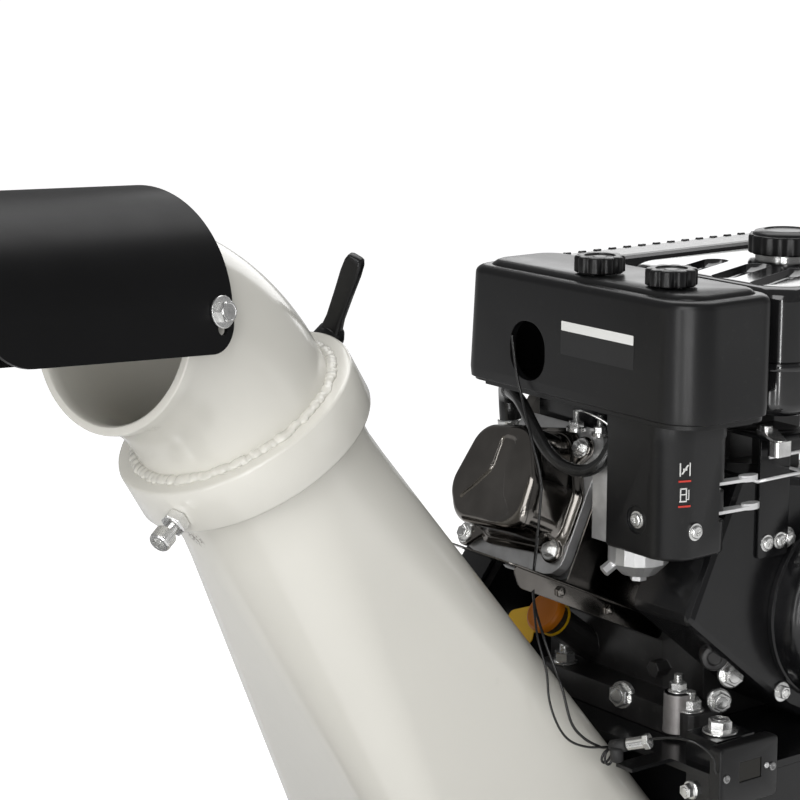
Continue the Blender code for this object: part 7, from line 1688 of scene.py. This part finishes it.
@dataclass
class WireClip:
    """The crimped ferrule and the rubber clip that hold the meter's wire at the platform."""

    def build(self) -> None:
        """Builds the ferrule on the wire, the clip and the twisted tails."""
        start, end = Vector((-0.001, -0.114, 0.7668)), Vector((0.0135, -0.143, 0.777))
        along = (end - start).normalized()
        ferrule = Solid().rod(start.lerp(end, 0.42), start.lerp(end, 0.86), 0.0048, 28, 0.0006)
        ferrule.rod(start.lerp(end, 0.84), start.lerp(end, 0.98), 0.0062, 6, 0.0005)
        ferrule.piece("wire_ferrule", Finish.ZINC, sharp=35)
        clip = Solid().rod(start, start.lerp(end, 0.4), 0.0052, 24, 0.001)
        side = along.cross(Vector(UP)).normalized()
        clip.rod(
            start.lerp(end, 0.2) + side * 0.0045,
            start.lerp(end, 0.2) - Vector((0, 0, 0.011)) + side * 0.003, 0.005, 24, 0.001)
        clip.piece("wire_clip", Finish.RUBBER, sharp=60)
        tails = Solid()
        for lean in (-1, 1):
            tails.tube(
                smooth_path([
                    start + Vector((0.001 * lean, 0, 0)), start + Vector((-0.006, 0.001 * lean, -0.004)),
                    start + Vector((-0.007, 0.002 * lean, -0.01)),
                    start + Vector((-0.002, 0.002 * lean, -0.012)), start.lerp(end, 0.15)], 6),
                0.001, 8)
        tails.piece("wire_tails", Finish.WIRE, sharp=80)


# Wheels, guard, starter and underside


@dataclass
class Wheels:
    """The two wheels: tyres with their tread, pressed rims, wheel nuts and valves."""

    axle_x: float = -0.08
    axle_z: float = 0.205
    track: float = 0.65
    lugs: int = 36
    bore: float = 0.0129
    nuts: int = 5
    nut_pitch: float = 0.049

    def tyre(self) -> Solid:
        """The carcass with ringed walls, and two rows of lugs that run over the shoulders."""
        wall = mm(
            (104.6, 37.2), (116.5, 38.5), (124, 44), (133, 49.5), (135, 51.2), (137.5, 51.2), (139.5, 50),
            (150, 52.2), (164, 53.6), (166, 54.5), (169, 54.5), (171, 53.4), (183, 50.8), (192.5, 44.5),
            (196.5, 34), (198.5, 15))
        made = Solid().lathe([*wall, *[(radius, -z) for radius, z in reversed(wall)]], 128)
        step = FULL / self.lugs
        for side in (1, -1):
            lug = Solid()
            outline = mm((-6.5, 3), (6.5, 3), (12.5, 17), (12.5, 35), (-0.5, 35), (-0.5, 20))
            lug.loft([
                [(high, across * wide, side * along) for across, along in outline]
                for high, wide in ((0.193, 1.15), (0.2022, 1.0), (0.2032, 0.86))])
            shoulder = rectangle(0.18, -0.0005, 0.199, 0.011)
            lug.loft(
                [[(x, y, side * (0.034 + z)) for x, y in shoulder] for z in (0.0, 0.009)]
                + [[(min(x, 0.193), y, side * 0.0505) for x, y in shoulder]])
            turn = Matrix.Rotation(step / 2 if side > 0 else 0.0, 4, "Z")
            bmesh.ops.transform(lug.bm, matrix=turn, verts=lug.bm.verts)
            made.add(copies(Round, lug, Finish.RUBBER, Count=self.lugs, Turn=step))
        return made

    def rim(self) -> Solid:
        """The pressed rim with its well, dished disc and hub."""
        well = mm(
            (98.5, 40), (100, 41.5), (112, 42), (114, 40.5), (113, 38.5), (105, 37.2), (103.6, 35),
            (103.6, 14), (101.2, 10))
        return Solid().lathe([
            *[(radius, -z) for radius, z in well], *well[::-1], (0.0985, 0.008), (0.093, 0.0062),
            (0.078, 0.0062), (0.072, 0.0085), (0.067, 0.0125), (0.063, 0.014), (0.036, 0.014),
            (0.03, 0.015), (0.0265, 0.0185), (0.026, 0.0445), (0.0245, 0.046), (self.bore, 0.046),
            (self.bore, -0.046), (0.0245, -0.046), (0.026, -0.0445), (0.026, 0.006), (0.062, 0.0095),
            (0.068, 0.006), (0.074, 0.002), (0.0985, 0.0015)], 128)

    def build(self) -> None:
        """Builds both wheels."""
        for side, name in ((1, "left"), (-1, "right")):
            at = aim((self.axle_x, side * self.track / 2, self.axle_z), (0, side, 0), (1, 0, 0))
            body = f"wheel_{name}"
            self.tyre().piece(f"{name}_tyre", Finish.RUBBER, body, [f"{name}_tyre"], sharp=35, matrix=at)
            self.rim().piece(f"{name}_rim", Finish.CHUTE, body, [f"{name}_rim"], sharp=35, matrix=at)
            nut = Solid().lathe(disc(0.009, 0, 0.0014), 24, place(self.nut_pitch, 0, 0.014))
            nut.nut(place(self.nut_pitch, 0, 0.0152), 0.0075, 0.0065, 0.0008)
            nut.rod((self.nut_pitch, 0, 0.015), (self.nut_pitch, 0, 0.0245), 0.004, 16, 0.0006)
            copies(Round, nut, Finish.ZINC, Count=self.nuts, Turn=FULL / self.nuts).piece(
                f"{name}_wheel_nuts", Finish.ZINC, body, sharp=35, matrix=at)
            valve = Solid().tube(mm((96, 0, 18), (90, 0, 20), (86, 0, 26), (85, 0, 40)), 0.0036, 16)
            valve.rod((0.085, 0, 0.033), (0.085, 0, 0.043), 0.0043, 16, 0.0006)
            valve.piece(f"{name}_valve", Finish.RUBBER, body, sharp=50, matrix=at)


@dataclass
class BeltGuard:
    """The pressed guard over the belt, with rounded edges, louvres and its three bolts."""

    drum: tuple = (-0.06, 0.43)
    small: float = 0.064
    large: float = 0.108
    back: float = 0.1783
    face: float = 0.222
    sheet: float = 0.003

    def outline(self, shrink: float, steps: int = 48) -> list[Point]:
        """The line round both pulleys, drawn in."""
        small, large = Vector(CRANK), Vector(self.drum)
        line = small - large
        base, lean = atan2(line.y, line.x), acos((self.large - self.small) / line.length)
        points = []
        for middle, radius, first, last in (
            (small, self.small, base - lean, base + lean),
            (large, self.large, base + lean, base + FULL - lean)):
            for t in swept(steps, last - first, first):
                points.append(tuple(middle + (radius - shrink) * Vector((cos(t), sin(t)))))
        return points

    def build(self) -> None:
        """Builds the guard and its bolts."""
        def shell(stages: Sequence[Point]) -> Solid:
            """A form round both pulleys through the stages (place, shrink)."""
            return Solid().loft(stack(self.outline, stages, "xzy"))

        face, sheet = self.face, self.sheet
        outer = shell((
            (self.back, 0), (face - 0.007, 0), (face - 0.0042, 0.0008), (face - 0.002, 0.0026),
            (face - 0.0006, 0.005), (face, 0.008)))
        inner = shell(((self.back - 0.01, sheet), (face - 0.008, sheet), (face - sheet, 0.009)))
        slot = Solid().loft([
            [(x, y, z) for x, z in rounded(rectangle(0.0435, 0.592, 0.1115, 0.6), 0.0039, 6)]
            for y in (face - 0.01, face + 0.01)])
        outer.minus(inner, copies(Row, slot, Finish.BLACK_PAINT, Count=5, Step=(0.0, 0.0, 0.022))).piece(
            "belt_guard", Finish.BLACK_PAINT, "chassis", ["belt_guard"], sharp=35)
        bolts = Solid()
        for x, z in (CRANK, (0.023, 0.676), (-0.06, 0.356)):
            at = aim((x, face, z), (0, 1, 0), (1, 0, 0))
            bolts.lathe(disc(0.0105, 0, 0.0016), 36, at)
            bolts.nut(at @ place(0, 0, 0.0014), 0.0075, 0.0055, 0.0008)
        bolts.piece("guard_bolts", Finish.ZINC, sharp=35)


@dataclass
class Cowl:
    """The vented starter cover on the fan's cowl, the cowl's bolts and the grip."""

    near: float = -0.1403
    cup_radius: float = 0.08
    cup_depth: float = 0.038
    vents: int = 12
    bolt_pitch: float = 0.0885

    def build(self) -> None:
        """Builds the bolts, the starter's cover and the grip."""
        radius, depth, wall = self.cup_radius, self.cup_depth, 0.0025
        at = aim((CRANK[0], self.near - GAP, CRANK[1]), (0, -1, 0), (0, 0, -1))
        bolt = Solid().lathe(disc(0.008, 0, 0.0012), 28, place(self.bolt_pitch, 0, 0.0002))
        bolt.nut(place(self.bolt_pitch, 0, 0.001), 0.0055, 0.0048, 0.0008)
        copies(Round, bolt, Finish.ZINC, Count=4, Turn=FULL / 4).piece(
            "cowl_bolts", Finish.ZINC, sharp=35, matrix=at @ Matrix.Rotation(FULL / 8, 4, "Z"))
        profile = [
            (0, 0), (radius, 0), (radius, 0.0045), (radius - 0.0018, 0.0052), (radius - 0.0026, 0.02),
            (radius - 0.0044, 0.0245), (radius - 0.0078, 0.0285), (radius - 0.012, 0.0312),
            (radius * 0.7, 0.0345), (radius * 0.47, 0.0372), (radius * 0.44, 0.0376),
            (radius * 0.41, 0.0362), (radius * 0.22, 0.0362), (radius * 0.2, 0.0378), (0, depth)]
        cup = Solid().lathe(profile, 128)
        cup.box((-0.012, radius * 0.8, 0.004), (0.012, radius + 0.014, depth * 0.6))
        inside = Solid().lathe([
            (0, -0.001), (radius - wall - 0.002, -0.001), (radius - 0.003 - wall, 0.019),
            (radius - 0.013, 0.0285), (radius * 0.7, 0.0318), (radius * 0.42, 0.034), (0, 0.034)], 96)
        slot = Solid().prism(
            rounded([
                (radius * 0.48, -0.003), (radius * 0.8, -0.0052), (radius * 0.8, 0.0052),
                (radius * 0.48, 0.003)], 0.0028, 5),
            depth * 0.5, depth + 0.01)
        mouth = Solid().rod((0, radius * 0.5, depth * 0.3), (0, radius + 0.03, depth * 0.3), 0.0035, 20)
        cup = cup.minus(
            inside, mouth,
            copies(Round, slot, Finish.BLACK_PAINT, Count=self.vents, Turn=FULL / self.vents))
        cup.piece("starter_cover", Finish.BLACK_PAINT, "chassis", ["starter_cover"], sharp=32, matrix=at)
        grip_at = at @ Vector((0, radius + 0.014 + GAP, depth * 0.3))
        hold = aim(grip_at, (1, 0, 0))
        thick = 0.011
        handle = Solid().loft([
            [(x, r * cos(t), thick + r * 0.98 * sin(t)) for t in round_turn(32)]
            for x, r in mm(
                (-43, 4), (-42.2, 7), (-39.5, 9.2), (-35.5, 9.9), (-24, 9.4), (-10, 8.7), (10, 8.7),
                (24, 9.4), (35.5, 9.9), (39.5, 9.2), (42.2, 7), (43, 4))])
        handle.lathe(mm((0, 0), (7, 0), (6, 8), (0, 8)), 24)
        handle.lathe(disc(0.0025, -0.03, 0.004), 16)
        handle.piece("starter_grip", Finish.PLASTIC, "grip", ["starter_grip"], sharp=40, matrix=hold)


@dataclass
class Underside:
    """Painted shade: black sheets behind the drum's neck and along the platform's near edge, which stand in
    for the shade under the platform.
    """

    top: float = 0.7437

    def build(self) -> None:
        """Builds both sheets and the bolts that hold them."""
        # Painted shade: a black sheet behind the drum's neck, where there is shade under the platform.
        apron = Solid().loft([
            [
                (x, y, z)
                for y, z in rounded([
                    (-0.136, self.top - 0.078), (0.125, self.top - 0.078), (0.125, self.top),
                    (-0.136, self.top)], [0.012, 0.012, 0, 0], 6)]
            for x in (0.0985, 0.1)])
        apron.box((0.0985, -0.136, self.top - 0.0015), (0.118, 0.125, self.top))
        apron.piece("dust_apron", Finish.BLACK_PAINT, sharp=35)
        # Painted shade: a black folded sheet along the platform's near edge under the hour meter, where
        # there is shade.
        fold = Solid().loft([
            [
                (x, y, z)
                for x, z in rounded(
                    [(0.051, 0.7), (0.389, 0.7), (0.389, self.top), (0.051, self.top)],
                    [0.006, 0.006, 0, 0], 5)]
            for y in (-0.1778, -0.1755)])
        fold.piece("platform_edge", Finish.BLACK_PAINT, sharp=35)
        bolt = Solid().nut(aim((0.0984, -0.115, 0.729), (-1, 0, 0)), 0.006, 0.0045, 0.0008)
        copies(Row, bolt, Finish.ZINC, Count=4, Step=(0.0, 0.073, 0.0)).piece(
            "apron_bolts", Finish.ZINC, sharp=35)


@dataclass
class FlangeBolts:
    """The bolts of the hopper's flange."""

    hopper_x: float = -0.2663
    half: float = 0.1427
    low: float = 0.377
    high: float = 0.543

    @staticmethod
    def bolt(at: Matrix, across: float = 0.007) -> Solid:
        """A hexagon bolt on its washer."""
        made = Solid().lathe(disc(across * 1.35, 0, 0.0014), 28, at)
        return made.nut(at @ place(0, 0, 0.0012), across, across * 0.75, 0.0008)

    def build(self) -> None:
        """Builds a row of bolts along each of the flange's four sides."""
        rear = (-1, 0, 0)
        bolts = Solid()
        for y in (-self.half, self.half):
            head = self.bolt(aim((self.hopper_x, y, self.low), rear))
            bolts.add(copies(Row, head, Finish.ZINC, Count=4, Step=(0.0, 0.0, (self.high - self.low) / 3)))
        for z in (self.low, self.high):
            head = self.bolt(aim((self.hopper_x, -self.half + 0.0571, z), rear))
            bolts.add(copies(Row, head, Finish.ZINC, Count=4, Step=(0.0, 0.0571, 0.0)))
        bolts.piece("hopper_flange_bolts", Finish.ZINC, sharp=35)


# The solids that keep their shape

# Those whose look isn't their slot's usual one
OWN_FINISH = {"choke_lever": Finish.BRIGHT, "fuel_lever": Finish.BRIGHT}


class Solids:
    """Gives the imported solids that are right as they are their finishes."""

    def build(self) -> None:
        """Puts the finish named in the record on each node that still shows."""
        slots = {part["node"]: part.get("material_slot") for part in frame["record"].get("subparts", [])}
        finishes = {finish.value.name: finish for finish in Finish}
        for name, node in frame["nodes"].items():
            if node.hide_render:
                continue
            finish = OWN_FINISH.get(name) or finishes.get(slots.get(name), Finish.BLACK_PAINT)
            node.data.materials.clear()
            node.data.materials.append(finish.material)
            log.info("%s: finished as %s", name, finish.value.name)


# Studio

@dataclass
class Studio:
    """A plain pale floor, soft lamps and the camera of the picture."""

    camera_at: Point = (-1.3287, -1.435, 1.404)
    azimuth: float = -36.6
    pitch: float = 11.8
    lens: float = 110.25
    ambient: float = 0.4
    reflected: float = 0.22
    lamps: tuple = (
        ("key", (-2.6, -1.6, 2.9), (-0.1, 0, 0.9), 2.0, 2.0, 46.0),
        ("top", (0.9, 0.9, 3.4), (-0.1, 0, 0.9), 2.6, 1.6, 38.0),
        ("side", (1.8, -2.6, 1.6), (-0.1, 0, 0.8), 1.6, 2.4, 6.0),
        ("left_strip", (-3.1, -0.9, 0.95), (-0.1, 0, 0.85), 0.35, 1.9, 12.0),
        ("near_strip", (-2.22, -2.42, 0.95), (-0.1, 0, 0.85), 0.13, 1.8, 13.0),
        ("far_strip", (-2.66, -1.93, 0.95), (-0.1, 0, 0.85), 0.13, 1.8, 13.0),
        ("rear", (2.0, 1.75, 1.95), (0.05, 0.0, 1.05), 1.7, 1.3, 13.0),)

    @staticmethod
    def rays(recipe: Recipe) -> tuple[Value, Value]:
        """Whether a ray comes from the camera, and whether from a mirror."""
        path = recipe.node("ShaderNodeLightPath")
        return Value(recipe, path.outputs["Is Camera Ray"]), Value(recipe, path.outputs["Is Glossy Ray"])

    def floor(self) -> None:
        """A wide pale floor that keeps the machine's shadow."""
        made = Solid().box((-40, -40, -0.01), (40, 40, 0)).item("floor")
        r = Recipe("floor_pale")
        seen, mirrored = self.rays(r)
        glow = r.node("ShaderNodeEmission", {"Color": (1.0, 1.0, 1.0)})
        r.feed(glow.inputs["Strength"], seen * 0.74 + mirrored * 0.15)
        base = r.blend(r.noise(3.0, 2), (0.8, 0.8, 0.8), (0.82, 0.82, 0.82))
        r.done(Base_Color=base, Roughness=0.9)
        both = r.node("ShaderNodeAddShader", {0: r.shader.outputs[0], 1: glow.outputs[0]})
        end = r.tree.nodes["Material Output"]
        r.tree.links.new(both.outputs[0], end.inputs["Surface"])
        made.data.materials.append(r.material)

    def world(self) -> None:
        """Plain light all round, white behind the machine."""
        world = bpy.data.worlds.new("studio")
        bpy.context.scene.world = world
        r = Recipe("studio", world)
        seen, mirrored = self.rays(r)
        level = seen * (1.0 - self.ambient) + mirrored * (self.reflected - self.ambient) + self.ambient
        r.feed(r.shader.inputs["Color"], (1.0, 1.0, 1.0))
        r.feed(r.shader.inputs["Strength"], level)

    def lights(self) -> None:
        """The soft lamps."""
        for name, at, to, wide, high, power in self.lamps:
            lamp = bpy.data.lights.new(name, "AREA")
            lamp.shape = "RECTANGLE"
            lamp.size, lamp.size_y, lamp.energy = wide, high, power
            item = linked(name, lamp)
            item.location = at
            item.rotation_euler = (Vector(to) - Vector(at)).to_track_quat("-Z", "Y").to_euler()

    def camera(self) -> None:
        """The camera at the picture's place."""
        data = bpy.data.cameras.new("camera")
        data.lens, data.sensor_width = self.lens, 36.0
        data.clip_start, data.clip_end = 0.05, 100.0
        item = linked("camera", data)
        item.location = self.camera_at
        item.rotation_euler = (radians(90 - self.pitch), 0, radians(self.azimuth))
        bpy.context.scene.camera = item
        bpy.context.scene.view_settings.view_transform = "Standard"

    def build(self) -> None:
        """Builds the whole studio."""
        self.floor()
        self.world()
        self.lights()
        self.camera()


def main() -> None:
    """Builds every sub-assembly in order, then the studio."""
    logging.basicConfig(level=logging.INFO, format="%(name)s: %(message)s")
    chute = Chute()
    elbow = Elbow(chute)
    engine = Engine()
    discharge = (chute, elbow, Hood(elbow))
    motor = (AirCleaner(), CarburettorCover(), ValveCover(engine), Wiring(), FuelTank(), HourMeter())
    fittings = (Fastenings(), Shroud(engine), Controls(), OilFiller(), WireClip())
    running_gear = (Wheels(), BeltGuard(), Cowl(), Underside(), FlangeBolts())
    for part in (*discharge, *motor, *fittings, *running_gear, Solids(), Studio()):
        part.build()


if __name__ == "__main__":
    main()
